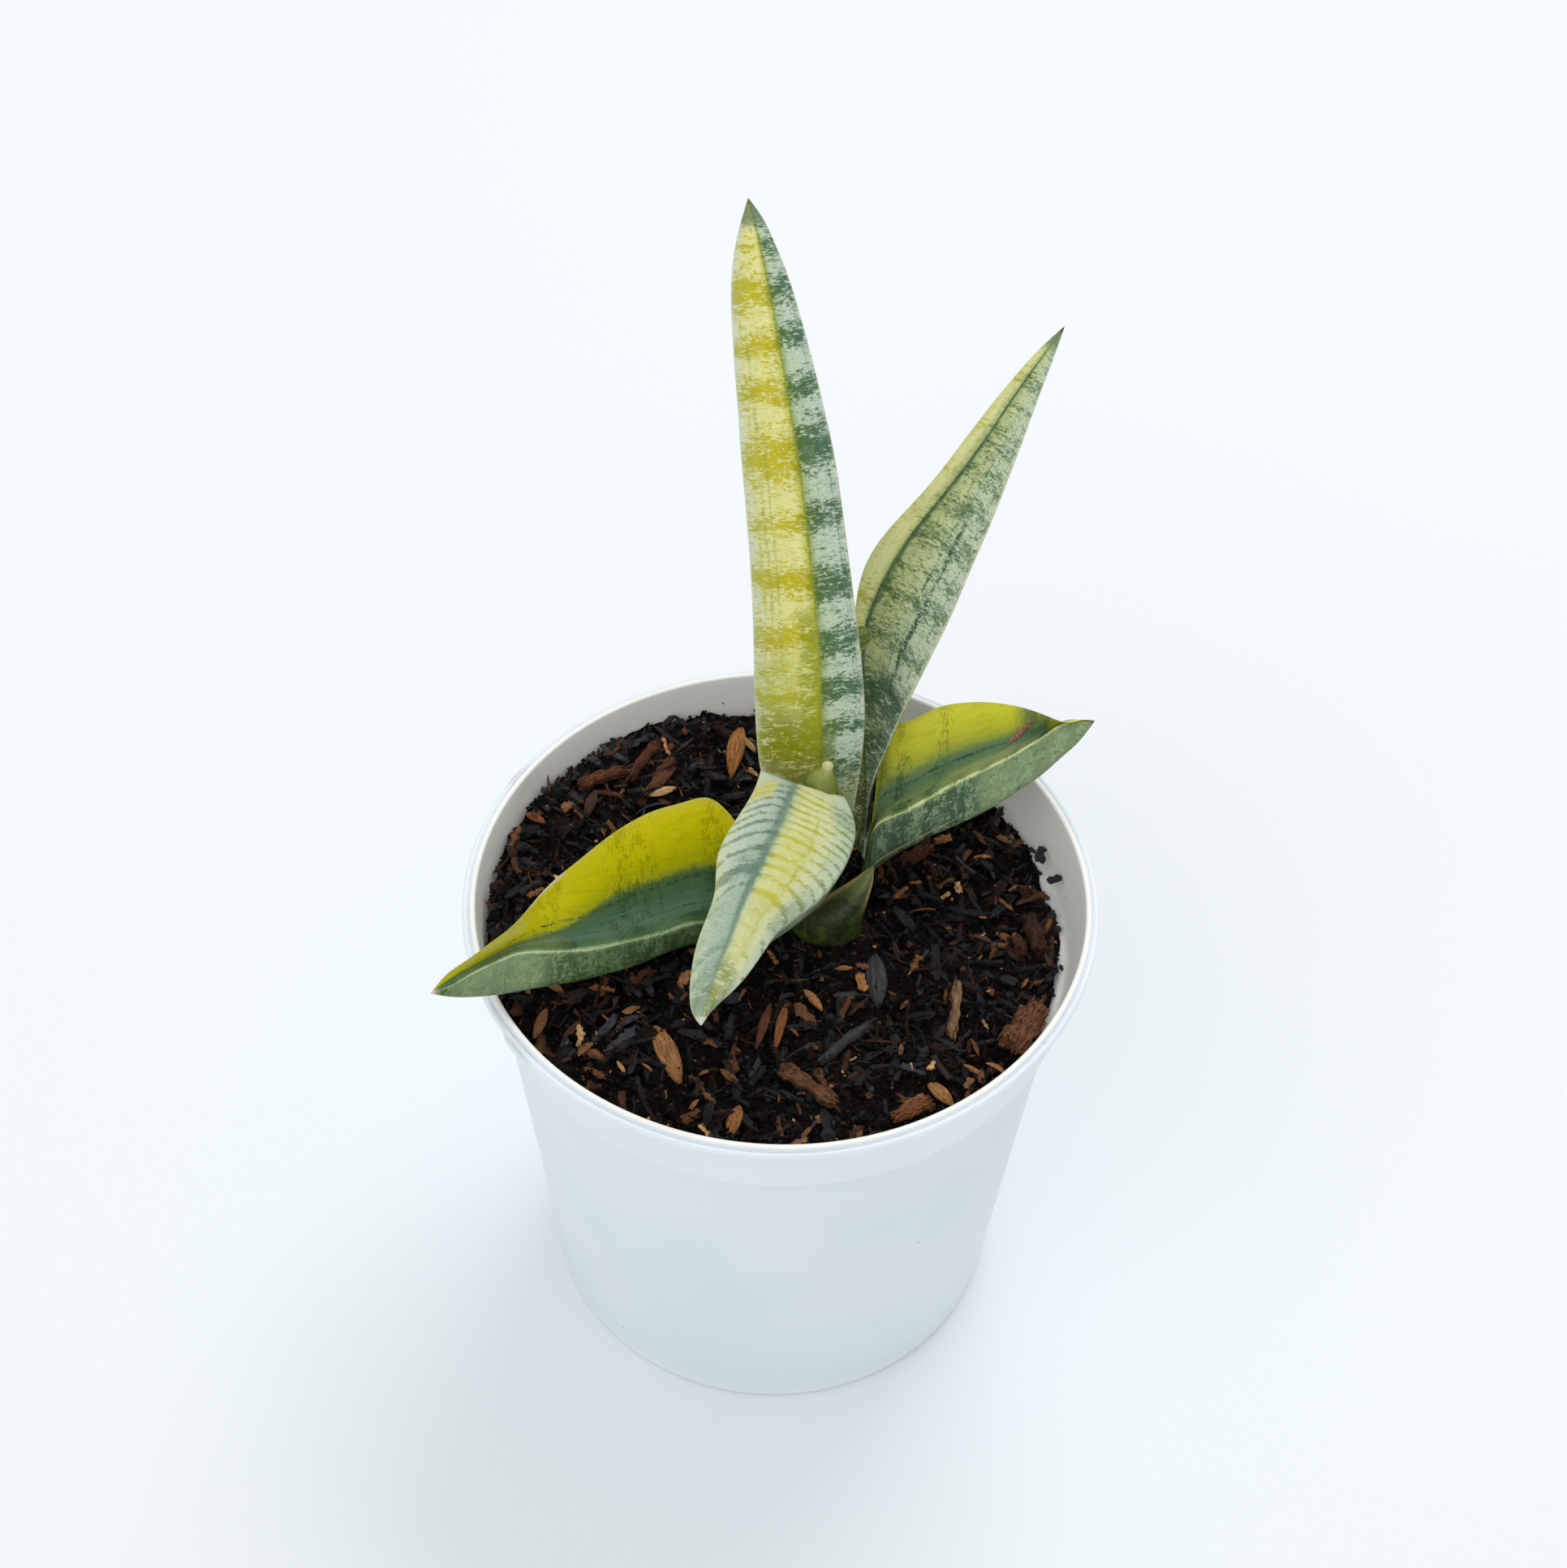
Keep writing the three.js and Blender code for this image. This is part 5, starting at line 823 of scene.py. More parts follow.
def lathe(profile, n=288, wobble=None):
    """Rings of a turned surface; the first and last points may lie on the axis."""
    ang = np.linspace(0, 2 * np.pi, n, endpoint=False)
    P = np.array(profile)
    ring = P[:, None, :] * np.ones((1, n, 1))
    r, z = ring[..., 0], ring[..., 1]
    v = np.stack([r * np.cos(ang), r * np.sin(ang), z], -1)
    if wobble is not None:
        v = wobble(v)
    quads = []
    for k in range(len(P) - 1):
        j = np.arange(n)
        quads.append(np.stack([k * n + j, k * n + (j + 1) % n, (k + 1) * n + (j + 1) % n, (k + 1) * n + j], -1))
    return v.reshape(-1, 3), np.concatenate(quads)


outer = [
    [0.02, 0], [12.0, 0], [12.7, 1.5], [BASE_R - 6.4, 1.5], [BASE_R - 5.7, 0],
    [BASE_R - 0.9, 0], [BASE_R - 0.25, 0.25], [BASE_R, 0.9],
]
outer += [[BASE_R + (BODY_R - BASE_R) * t, 0.9 + (COLLAR_Z - 1.3) * t] for t in np.linspace(0, 1, 40)[1:]]
outer += [
    [BODY_R + 0.28, COLLAR_Z - 0.12], [COLLAR_R - 0.30, COLLAR_Z], [COLLAR_R, COLLAR_Z + 0.35],
    [COLLAR_R + 0.55, COLLAR_Z + 3.4], [COLLAR_R + 1.2, COLLAR_Z + 7.0], [RIM - 1.25, POT_HEIGHT - 2.4],
    [RIM - 0.62, POT_HEIGHT - 2.05], [RIM - 0.04, POT_HEIGHT - 1.45], [RIM - 0.06, POT_HEIGHT - 0.9], [RIM - 0.42, POT_HEIGHT - 0.5],
    [RIM - 0.80, POT_HEIGHT - 0.62], [RIM - 0.98, POT_HEIGHT - 0.98], [RIM - 1.16, POT_HEIGHT - 0.62], [RIM - 1.28, POT_HEIGHT - 0.12],
    [RIM - 1.62, POT_HEIGHT], [LIP + 0.30, POT_HEIGHT - 0.02], [LIP + 0.04, POT_HEIGHT - 0.22],
]
inner_down = [[LIP, POT_HEIGHT - 0.5]] + [list(p) for p in INNER[::-1][1:]]
dense = []
for a, b in zip(inner_down[:-1], inner_down[1:]):
    m = max(1, int(np.hypot(b[0] - a[0], b[1] - a[1]) / 3))
    dense += [[a[0] + (b[0] - a[0]) * k / m, a[1] + (b[1] - a[1]) * k / m] for k in range(m)]
dense.append(inner_down[-1])
pot_profile = rounded(outer + dense + [[0.02, 2.6]], 0.38, 4)


def pot_wobble(v):
    """The slight unevenness of a thin moulded wall."""
    q = v.reshape(-1, 3)
    r = np.hypot(q[:, 0], q[:, 1])
    a = np.arctan2(q[:, 1], q[:, 0])
    up = np.clip(q[:, 2] / 20, 0, 1)
    d = 0.10 * np.sin(2 * a + 0.7) * up + 0.05 * np.sin(5 * a + 1.9) * up + 0.04 * value_noise(q, 0.05, 91) * up
    d = np.where(r > 30, np.minimum(d, 0.12), 0)
    s = 1 + d / np.maximum(r, 1)
    q = q.copy()
    q[:, 0] *= s
    q[:, 1] *= s
    return q.reshape(v.shape)


verts, faces = lathe(pot_profile, 288, pot_wobble)
pot = make_mesh("pot_shell", verts, faces)


def ellipsoid(centre, axes, frame, nu=48, nv=28, lump=0.0, seed=0):
    th = np.linspace(0, np.pi, nv)
    ph = np.linspace(0, 2 * np.pi, nu, endpoint=False)
    d = np.stack([np.sin(th)[:, None] * np.cos(ph), np.sin(th)[:, None] * np.sin(ph), np.cos(th)[:, None] * np.ones(nu)], -1)
    p = d * (1 + lump * value_noise(d * 2, 1.0, seed))[..., None] * np.array(axes)
    p = p @ np.array(frame) + np.array(centre)
    quads = []
    for k in range(nv - 1):
        j = np.arange(nu)
        quads.append(np.stack([k * nu + j, (k + 1) * nu + j, (k + 1) * nu + (j + 1) % nu, k * nu + (j + 1) % nu], -1))
    return p.reshape(-1, 3), np.concatenate(quads)


lug_parts = []
for deg in (151, 218):
    a = math.radians(deg)
    ax = [[math.cos(a), math.sin(a), 0], [-math.sin(a), math.cos(a), 0], [0, 0, 1]]
    v, f = ellipsoid(((RIM - 0.72) * math.cos(a), (RIM - 0.72) * math.sin(a), POT_HEIGHT - 1.9), (1.15, 4.1, 1.2), ax)
    lug_parts.append((v, f))


def join_parts(name, parts, **kw):
    off, vs, fs = 0, [], {}
    for v, f in parts:
        for g in (f if isinstance(f, list) else [f]):
            fs.setdefault(g.shape[1], []).append(g + off)
        vs.append(v)
        off += len(v)
    return make_mesh(name, np.concatenate(vs), [np.concatenate(g) for g in fs.values()], **kw)


# drainage holes
cutters = []
for i in range(8):
    a = (i + 0.5) / 8 * 2 * np.pi
    prof = [[0.01, -2], [2.8, -2], [2.8, 6], [0.01, 6]]
    v, f = lathe(prof, 40)
    cutters.append((v + [22 * math.cos(a), 22 * math.sin(a), 0], f))
cutter = join_parts("hole_cutter", cutters)
mod = pot.modifiers.new("holes", "BOOLEAN")
mod.operation = "DIFFERENCE"
mod.solver = "EXACT"
mod.object = cutter
bpy.context.view_layer.update()
deps = bpy.context.evaluated_depsgraph_get()
cut_mesh = bpy.data.meshes.new_from_object(pot.evaluated_get(deps))
pot.modifiers.clear()
pot.data = cut_mesh
bpy.data.objects.remove(cutter)
lugs = join_parts("pot_lugs", lug_parts)
for o in bpy.context.selected_objects:
    o.select_set(False)
pot.select_set(True)
lugs.select_set(True)
bpy.context.view_layer.objects.active = pot
bpy.ops.object.join()
pot.data.set_sharp_from_angle(angle=math.radians(50))


def pot_material():
    nd = Nodes("pot_plastic_material")
    p = nd.object_mm()
    q = nd.xyz(p)
    broad = nd.noise(nd.vscale(p, 0.03), 1.0, detail=2.0)
    fine = nd.noise(nd.vscale(p, 1.6), 1.0, detail=4.0, rough=0.6)
    grain = nd.noise(nd.vscale(p, 5.0), 1.0, detail=2.0)
    col = nd.mix(nd.step(broad, 0.35, 0.65), srgb(231, 237, 243), srgb(238, 243, 248))
    # painted shade: where the thin wall is backed by dark mix less light comes through and it looks a touch deeper and
    # cooler, so the body below the collar is painted that way
    below = nd.mul(nd.step(q[2], COLLAR_Z + 0.5, COLLAR_Z - 0.5), nd.step(q[2], 1.0, 4.0))
    col = nd.mix(nd.mul(below, 0.45), col, srgb(218, 232, 238))
    # dust in the crease of the rim and along the inside of the wall
    rr = nd.math("SQRT", nd.add(nd.mul(q[0], q[0]), nd.mul(q[1], q[1])))
    crease = nd.mul(nd.step(nd.math("ABSOLUTE", nd.sub(rr, RIM - 0.98)), 0.22, 0.05), nd.step(q[2], POT_HEIGHT - 1.3, POT_HEIGHT - 1.0))
    broken = nd.step(nd.noise(nd.vscale(p, (0.35, 0.35, 0.35)), 1.0, detail=5.0, rough=0.8), 0.62, 0.70)
    col = nd.mix(nd.mul(nd.mul(crease, broken), 0.6), col, srgb(110, 106, 102))
    # halfway through the wall, below and above the ledge
    mid_body = nd.add(BASE_R - 0.5, nd.mul(q[2], 0.1027))
    mid_collar = nd.add(46.2 - 0.2016 * COLLAR_Z, nd.mul(q[2], 0.2016))
    mid_wall = nd.add(mid_body, nd.mul(nd.sub(mid_collar, mid_body), nd.step(q[2], COLLAR_Z - 0.6, COLLAR_Z + 0.4)))
    inside = nd.mul(nd.step(nd.sub(mid_wall, rr), -0.1, 0.25), nd.step(q[2], 60, 66))
    # painted light: the inside face of the wall is painted a brighter, warmer white than the outside, standing in for
    # light that comes through the thin wall
    col = nd.mix(inside, col, srgb(252, 249, 243))
    spatter = nd.step(nd.noise(nd.vscale(p, (0.9, 0.9, 1.1)), 1.0, detail=5.0, rough=0.75), 0.64, 0.69)
    col = nd.mix(nd.mul(nd.mul(inside, spatter), nd.step(q[2], 86, 78)), col, srgb(96, 78, 66))
    # faint warm grey patches on the inside of the wall, fading out between 76 and 84 mm up
    inner_warm_patches = nd.mul(inside, nd.mul(nd.step(q[2], 84, 76), nd.step(nd.noise(nd.vscale(p, (0.12, 0.12, 0.3)), 1.0, detail=4.0, rough=0.6), 0.35, 0.7)))
    col = nd.mix(nd.mul(inner_warm_patches, 0.16), col, srgb(206, 196, 184))
    # a few stray specks of mix on the outside
    cell = nd.voronoi(nd.vscale(p, 0.16), 1.0)
    speck = nd.mul(nd.step(cell, 0.048, 0.030), nd.step(nd.noise(nd.vscale(p, 0.11), 1.0, detail=1.0), 0.5, 0.56))
    col = nd.mix(nd.mul(speck, 0.75), col, srgb(104, 100, 96))
    rough = nd.add(0.34, nd.mul(fine, 0.14))
    n1 = nd.bump(broad, 0.5, 0.12)
    n2 = nd.bump(grain, 0.012, 0.6, n1)
    n3 = nd.bump(fine, 0.03, 0.35, n2)
    return nd.finish(col, rough, n3, IOR=1.47, Specular_IOR_Level=0.5, Subsurface_Weight=0.30, Subsurface_Radius=(1.0, 1.0, 1.0), Subsurface_Scale=0.002)


pot.data.materials.clear()
pot.data.materials.append(pot_material())
for poly in pot.data.polygons:
    poly.material_index = 0
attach(pot, "root")
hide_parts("pot")


# ------------------------------------------------------------------ shoot, scale, stem
def tube(points, radii, sides=20, steps=60, seed=0, lump=0.0, squash=1.0):
    pts = np.array(points, float)
    t = np.r_[0, np.cumsum(np.linalg.norm(np.diff(pts, axis=0), axis=1))]
    x = np.linspace(0, t[-1], steps)
    c = spline(t, pts, x)
    d = np.gradient(c, axis=0)
    d /= np.linalg.norm(d, axis=1, keepdims=True)
    ref = np.array([1.0, 0, 0]) if abs(d[0][0]) < 0.8 else np.array([0, 1.0, 0])
    r = np.interp(np.linspace(0, 1, steps), np.linspace(0, 1, len(radii)), radii)
    ang = np.linspace(0, 2 * np.pi, sides, endpoint=False)
    rings = []
    for k in range(steps):
        u = ref - d[k] * (ref @ d[k])
        u /= np.linalg.norm(u)
        w = np.cross(d[k], u)
        rings.append(c[k] + (np.cos(ang)[:, None] * u * squash + np.sin(ang)[:, None] * w) * r[k])
    rings = np.array(rings)
    if lump:
        out = rings - rings.mean(1, keepdims=True)
        out /= np.maximum(np.linalg.norm(out, axis=2, keepdims=True), 1e-6)
        rings = rings + out * (lump * value_noise(rings.reshape(-1, 3), 0.9, seed).reshape(steps, sides, 1)) * (r[:, None, None] / max(r))
    v = np.r_[rings.reshape(-1, 3), [rings[0].mean(0)], [rings[-1].mean(0)]]
    quads = []
    j = np.arange(sides)
    for k in range(steps - 1):
        quads.append(np.stack([k * sides + j, k * sides + (j + 1) % sides, (k + 1) * sides + (j + 1) % sides, (k + 1) * sides + j], -1))
    a, b = len(v) - 2, len(v) - 1
    tris = np.r_[np.stack([(j + 1) % sides, j, np.full(sides, a)], -1), np.stack([(steps - 1) * sides + j, (steps - 1) * sides + (j + 1) % sides, np.full(sides, b)], -1)]
    return v, [np.concatenate(quads), tris]


# the new leaf, still rolled to a spike with a blunt nib
nl = dict(points=[[6.0, 9.6, 77.9], [6.1, 10.6, 84], [6.0, 12.0, 90], [5.7, 13.4, 96.0], [5.9, 14.0, 99.0], [6.55, 14.1, 101.4], [6.75, 13.9, 103.8]])
zs = np.linspace(77.9, 103.8, 53)
t_rad = np.interp(zs, [77.9, 82, 90, 96, 98.3, 99.4, 100.4, 101.3, 102.2, 103.0, 103.5, 103.8], [2.6, 3.0, 3.0, 2.95, 2.85, 2.55, 1.95, 1.15, 0.82, 0.92, 0.86, 0.35])
v, f = tube(nl["points"], t_rad, sides=40, steps=130, seed=7, lump=0.10, squash=1.0)
ang = np.arctan2(v[:, 1] - 11, v[:, 0] - 6.3)
new_leaf = make_mesh("leaf_new_skin", v, f)
nd = Nodes("leaf_new_material")
p = nd.object_mm()
q = nd.xyz(p)
grain = nd.noise(nd.vscale(p, (2.2, 2.2, 1.0)), 1.0, detail=3.0, rough=0.6)
up = nd.ramp(nd.math("MULTIPLY_ADD", q[2], 1 / 26.0, -78.0 / 26.0), [
    (0.0, srgb(60, 82, 24)), (0.70, srgb(74, 94, 24)), (0.82, srgb(104, 118, 34)), (0.88, srgb(128, 138, 50)), (0.93, srgb(180, 184, 104)), (0.975, srgb(204, 204, 140)), (1.0, srgb(206, 202, 146))])
col = nd.mix(nd.mul(nd.step(grain, 0.4, 0.7), 0.30), up, srgb(96, 118, 40))
new_leaf.data.materials.append(nd.finish(col, nd.add(0.36, nd.mul(grain, 0.15)), nd.bump(grain, 0.08, 0.5), Specular_IOR_Level=0.45))
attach(new_leaf, "root")
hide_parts("leaf_new")

# the short scale leaf at the foot, with its torn papery edge
SECTIONS["leaf_basal_scale"] = [
    [[2.6, -0.2, 77.2], [8.2, -2.6, 77.0], [12.6, -0.2, 77.4], [11.8, 0.8, 77.0], [8.2, -0.6, 76.6], [3.4, 0.9, 76.9]],
    [[1.7, -0.6, 80.2], [7.6, -3.5, 80.0], [13.0, -0.7, 80.6], [12.3, 0.5, 80.2], [7.9, -1.5, 79.7], [2.5, 0.5, 79.9]],
    [[2.2, -0.4, 83.0], [8.0, -3.5, 83.3], [13.2, -0.8, 83.6], [12.6, 0.4, 83.3], [8.4, -1.9, 82.9], [3.0, 0.4, 82.8]],
    [[5.4, 0.4, 86.2], [9.9, -2.2, 87.2], [14.0, 0.6, 87.0], [13.4, 1.2, 86.7], [10.0, -1.2, 86.6], [6.2, 1.0, 86.0]],
    [[10.6, 2.6, 88.6], [13.0, 1.6, 89.0], [14.6, 3.4, 88.6], [14.2, 3.8, 88.3], [12.8, 2.6, 88.4], [11.0, 3.2, 88.3]],
    [[14.2, 5.4, 89.3], [14.35, 5.4, 89.4], [14.5, 5.5, 89.3], [14.5, 5.6, 89.2], [14.35, 5.6, 89.15], [14.2, 5.6, 89.2]],
]
scale_ob, _ = leaf("leaf_basal_scale", n_along=80, n_up=36, n_low=26, margin=0.25, wave=0.16, seed=6)
nd = Nodes("leaf_basal_scale_material")
av = nd.xyz(nd.uv("leaf_av"))
p = nd.object_mm()
grain = nd.noise(nd.vscale(p, (1.2, 1.2, 1.2)), 1.0, detail=4.0, rough=0.65, distortion=0.7)
patch = nd.noise(nd.vscale(p, 0.35), 1.0, detail=3.0)
col = nd.mix(nd.step(grain, 0.38, 0.64), srgb(50, 66, 26), srgb(22, 34, 18))
col = nd.mix(nd.mul(nd.step(patch, 0.45, 0.7), 0.6), col, srgb(92, 104, 36))
col = nd.mix(nd.mul(nd.step(av[1], 0.62, 0.8), 0.7), col, srgb(88, 98, 34))
edge = nd.math("MINIMUM", nd.math("ABSOLUTE", nd.sub(av[0], 1.0)), nd.math("MINIMUM", av[0], nd.math("ABSOLUTE", nd.sub(av[0], 2.0))))
dry = nd.mul(nd.step(nd.add(edge, nd.mul(nd.sub(patch, 0.5), 0.15)), 0.16, 0.05), nd.step(av[1], 0.35, 0.6))
col = nd.mix(dry, col, srgb(142, 120, 76))
scale_ob.data.materials.append(nd.finish(col, nd.add(0.30, nd.mul(grain, 0.3)), nd.bump(grain, 0.14, 0.6)))


# the short creeping stem and its thick roots, buried in the mix
ROOT_RUNS = [
  [[-5, 3.5, 65], [-15, -6, 58], [-22, -15, 42], [-24, -18, 24]],
  [[0, 6, 68], [-2, -8, 56], [4, -20, 38], [6, -24, 18]],
  [[6, 9, 69], [18, 2, 60], [26, -6, 42], [28, -10, 22]],
  [[7, 11, 70], [14, 22, 60], [18, 28, 44], [16, 26, 26]],
  [[-2, 6, 67], [-12, 18, 56], [-20, 24, 40], [-20, 22, 20]],
]
STEM_RUNS = [([[-7, 3, 66], [-2, 6, 69.5], [4, 8.5, 71.8], [9.5, 11.5, 72.6]], [3.4, 5.2, 5.6, 5.2, 3.2], 48, 90)]
STEM_RUNS += [(run, [1.7, 1.5, 1.2, 0.9, 0.6], 16, 60) for run in ROOT_RUNS]
stem_parts = []
for k, (points, radii, sides, steps) in enumerate(STEM_RUNS):
    stem_parts.append(tube(points, np.interp(np.linspace(0, 1, steps), np.linspace(0, 1, len(radii)), radii) * (1 + (0.05 if k == 0 else 0.02) * np.cos(np.linspace(0, 9 * np.pi, steps))), sides, steps, 40 + k, 0.35 if k == 0 else 0.12))
stem_ob = join_parts("stem_and_roots_detail", stem_parts)
nd = Nodes("stem_and_roots_material")
p = nd.object_mm()
fibre_n = nd.noise(nd.vscale(p, (1.8, 1.8, 0.6)), 1.0, detail=4.0, rough=0.7)
grime = nd.noise(nd.vscale(p, 0.6), 1.0, detail=4.0, rough=0.6)
col = nd.mix(nd.step(fibre_n, 0.38, 0.66), srgb(196, 142, 78), srgb(150, 98, 50))
col = nd.mix(nd.mul(nd.step(grime, 0.46, 0.66), 0.7), col, srgb(64, 46, 34))
stem_ob.data.materials.append(nd.finish(col, nd.add(0.6, nd.mul(fibre_n, 0.25)), nd.bump(fibre_n, 0.25, 0.7)))
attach(stem_ob, "root")
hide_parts("stem_and_roots")

# the forked splinter caught on the inner face of the right leaf
sp_a, sp_b = np.array([35.4, 21.9, 100.75]), np.array([39.6, 26.2, 102.05])
fork = sp_a + (sp_b - sp_a) * 0.56
side_way = np.array([0.30, -0.30, 0.22])
splinter_parts = [
    tube([sp_a, sp_a * 0.75 + sp_b * 0.25 + [0.05, -0.06, 0.14], fork + [0.02, 0.0, 0.10], sp_a * 0.2 + sp_b * 0.8 + [-0.06, 0.07, 0.08], sp_b], [0.14, 0.34, 0.36, 0.26, 0.10], 14, 44, 51, 0.10, 1.25),
    tube([fork + [-0.1, -0.1, 0.06], fork * 0.55 + sp_b * 0.45 + side_way * 0.7, sp_b - [0.9, 0.9, 0.25] + side_way], [0.24, 0.20, 0.08], 10, 24, 52, 0.08, 1.2),
    tube([sp_a + [1.0, 1.0, 0.3], sp_a + [0.45, 0.75, 0.42], sp_a + [0.1, 0.55, 0.40]], [0.18, 0.15, 0.06], 10, 16, 53, 0.06, 1.2),
]
splinter_ob = join_parts("splinter_on_right_leaf_detail", splinter_parts)
nd = Nodes("splinter_material")
p = nd.object_mm()
wood_n = nd.noise(nd.vscale(p, (3.0, 3.0, 5.0)), 1.0, detail=4.0, rough=0.7)
col = nd.mix(nd.step(wood_n, 0.36, 0.64), srgb(160, 112, 78), srgb(74, 44, 32))
splinter_ob.data.materials.append(nd.finish(col, nd.add(0.55, nd.mul(wood_n, 0.3)), nd.bump(wood_n, 0.06, 0.7)))
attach(splinter_ob, "root")
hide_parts("splinter_on_right_leaf")


# ------------------------------------------------------------------ potting mix
def soil_height(x, y):
    """The CAD surface of the mix."""
    return 79.2 - 0.085 * x + 0.04 * y + 0.7 * (0.5 * np.sin(0.31 * x + 0.7) * np.cos(0.27 * y - 0.4) + 0.3 * np.sin(0.17 * x - 0.36 * y + 2.1) + 0.2 * np.cos(0.52 * x + 0.44 * y))


def ground(x, y):
    q = np.stack([x, y, np.zeros_like(x)], -1)
    lumps = 0.75 * value_noise(q, 0.22, 31) + 0.42 * value_noise(q, 0.55, 32) + 0.22 * value_noise(q, 1.3, 33) + 0.10 * value_noise(q, 3.1, 34)
    # the mix is heaped a little against the foot of the rosette
    heap = 2.3 * np.exp(-((x - 8.5) / 6.5) ** 2 - ((y + 4.5) / 3.4) ** 2)
    return soil_height(x, y) - 0.55 + lumps + heap


# ceiling: fragments stay below the undersides of the leaves
CELL = 0.25
HALF = 48.0
N_GRID = int(2 * HALF / CELL) + 1
gx = np.linspace(-HALF, HALF, N_GRID)
GX, GY = np.meshgrid(gx, gx, indexing="ij")
ceiling = np.full((N_GRID, N_GRID), 1e3)
for name in list(leaf_objects) + ["leaf_basal_scale", "leaf_new"]:
    ob = bpy.data.objects[name + "_skin"]
    me = ob.data
    co = np.zeros(len(me.vertices) * 3, np.float32)
    me.vertices.foreach_get("co", co)
    co = co.reshape(-1, 3).astype(float) * 1000
    me.calc_loop_triangles()
    tri = np.zeros(len(me.loop_triangles) * 3, np.int32)
    me.loop_triangles.foreach_get("vertices", tri)
    T = co[tri.reshape(-1, 3)]
    # sample every triangle densely enough for the grid
    for w in ([1 / 3, 1 / 3, 1 / 3], [0.8, 0.1, 0.1], [0.1, 0.8, 0.1], [0.1, 0.1, 0.8], [0.45, 0.45, 0.1], [0.45, 0.1, 0.45], [0.1, 0.45, 0.45]):
        s = np.einsum("k,nkc->nc", w, T)
        i = np.round((s[:, 0] + HALF) / CELL).astype(int)
        j = np.round((s[:, 1] + HALF) / CELL).astype(int)
        # the feet stand in the mix, so only what is clear of it counts
        ok = (i >= 0) & (j >= 0) & (i < N_GRID) & (j < N_GRID) & (s[:, 2] > (82.2 if name == "leaf_basal_scale" else 79.6))
        np.minimum.at(ceiling, (i[ok], j[ok]), s[ok, 2])
# spread a little so that nothing brushes a leaf
for _ in range(2):
    c = ceiling.copy()
    for dx, dy in ((1, 0), (-1, 0), (0, 1), (0, -1)):
        c = np.minimum(c, np.roll(np.roll(ceiling, dx, 0), dy, 1))
    ceiling = c

height = np.minimum(ground(GX, GY), ceiling - 0.25)
floor_under_leaf = soil_height(GX, GY) - 5
height = np.maximum(height, floor_under_leaf)
base_height = height.copy()


def sample(grid, x, y):
    i = np.clip((np.asarray(x) + HALF) / CELL, 0, N_GRID - 1.001)
    j = np.clip((np.asarray(y) + HALF) / CELL, 0, N_GRID - 1.001)
    i0, j0 = i.astype(int), j.astype(int)
    fi, fj = i - i0, j - j0
    return (grid[i0, j0] * (1 - fi) * (1 - fj) + grid[i0 + 1, j0] * fi * (1 - fj) + grid[i0, j0 + 1] * (1 - fi) * fj + grid[i0 + 1, j0 + 1] * fi * fj)


def edge_radius(a):
    """How far the mix reaches at each angle before it meets the wall."""
    r = np.full_like(a, 45.0)
    for _ in range(4):
        z = soil_height(r * np.cos(a), r * np.sin(a))
        r = wall_radius(z) - 0.18
    # it has shrunk back unevenly from the wall
    q = np.stack([np.cos(a) * 6, np.sin(a) * 6, np.zeros_like(a)], -1)
    q2 = np.stack([np.cos(a) * 24, np.sin(a) * 24, np.zeros_like(a)], -1)
    gap = 0.25 + 0.9 * np.clip(value_noise(q, 1.0, 61), 0, 1) + 0.5 * np.clip(value_noise(q2, 1.0, 62), 0, 1)
    return r - gap


# the top surface: a square grid wrapped onto the disc
n = 250
s = np.linspace(-1, 1, n)
SX, SY = np.meshgrid(s, s, indexing="ij")
big = np.maximum(abs(SX), abs(SY))
small = np.where(big > 0, np.where(abs(SX) >= abs(SY), SY / np.where(SX == 0, 1, SX), SX / np.where(SY == 0, 1, SY)), 0)
ang = np.where(abs(SX) >= abs(SY), small * np.pi / 4 + np.where(SX < 0, np.pi, 0), np.pi / 2 - small * np.pi / 4 + np.where(SY < 0, np.pi, 0))
rad = big * edge_radius(ang)
TX, TY = rad * np.cos(ang), rad * np.sin(ang)
TZ = sample(base_height, TX, TY)
q3 = np.stack([TX, TY, TZ], -1)
TZ = TZ + 0.12 * value_noise(q3, 4.0, 35) + 0.06 * value_noise(q3, 8.0, 36)
top = np.stack([TX, TY, TZ], -1).reshape(-1, 3)
ii, jj = np.meshgrid(np.arange(n - 1), np.arange(n - 1), indexing="ij")
top_faces = np.stack([ii * n + jj, (ii + 1) * n + jj, (ii + 1) * n + jj + 1, ii * n + jj + 1], -1).reshape(-1, 4)
edge_ids = np.r_[np.arange(0, n), np.arange(1, n) * n + n - 1, (n - 1) * n + np.arange(n - 2, -1, -1), np.arange(n - 2, 0, -1) * n]
m = len(edge_ids)
rim_pts = top[edge_ids]
rim_a = np.arctan2(rim_pts[:, 1], rim_pts[:, 0])
mix_v = [top]
mix_f4 = [top_faces]
prev = edge_ids
start = len(top)
levels = [0.985, 0.96, 0.93, 0.9, 0.8, 0.65, 0.5, 0.35, 0.2, 0.08]
for frac in levels + [0.0]:
    z = 2.95 + (rim_pts[:, 2] - 2.95) * frac
    r = wall_radius(z) - 0.3 - 0.25 * (value_noise(np.stack([rim_pts[:, 0], rim_pts[:, 1], z], -1), 0.5, 37) * 0.5 + 0.5)
    mix_v.append(np.stack([r * np.cos(rim_a), r * np.sin(rim_a), z], -1))
    cur = start + np.arange(m)
    mix_f4.append(np.stack([prev, cur, np.roll(cur, -1), np.roll(prev, -1)], -1))
    prev = cur
    start += m
mix_v.append(np.array([[0, 0, 2.95]]))
mix_tri = np.stack([prev, np.full(m, start), np.roll(prev, -1)], -1)
mix_v = np.concatenate(mix_v)
mix_f4 = np.concatenate(mix_f4)


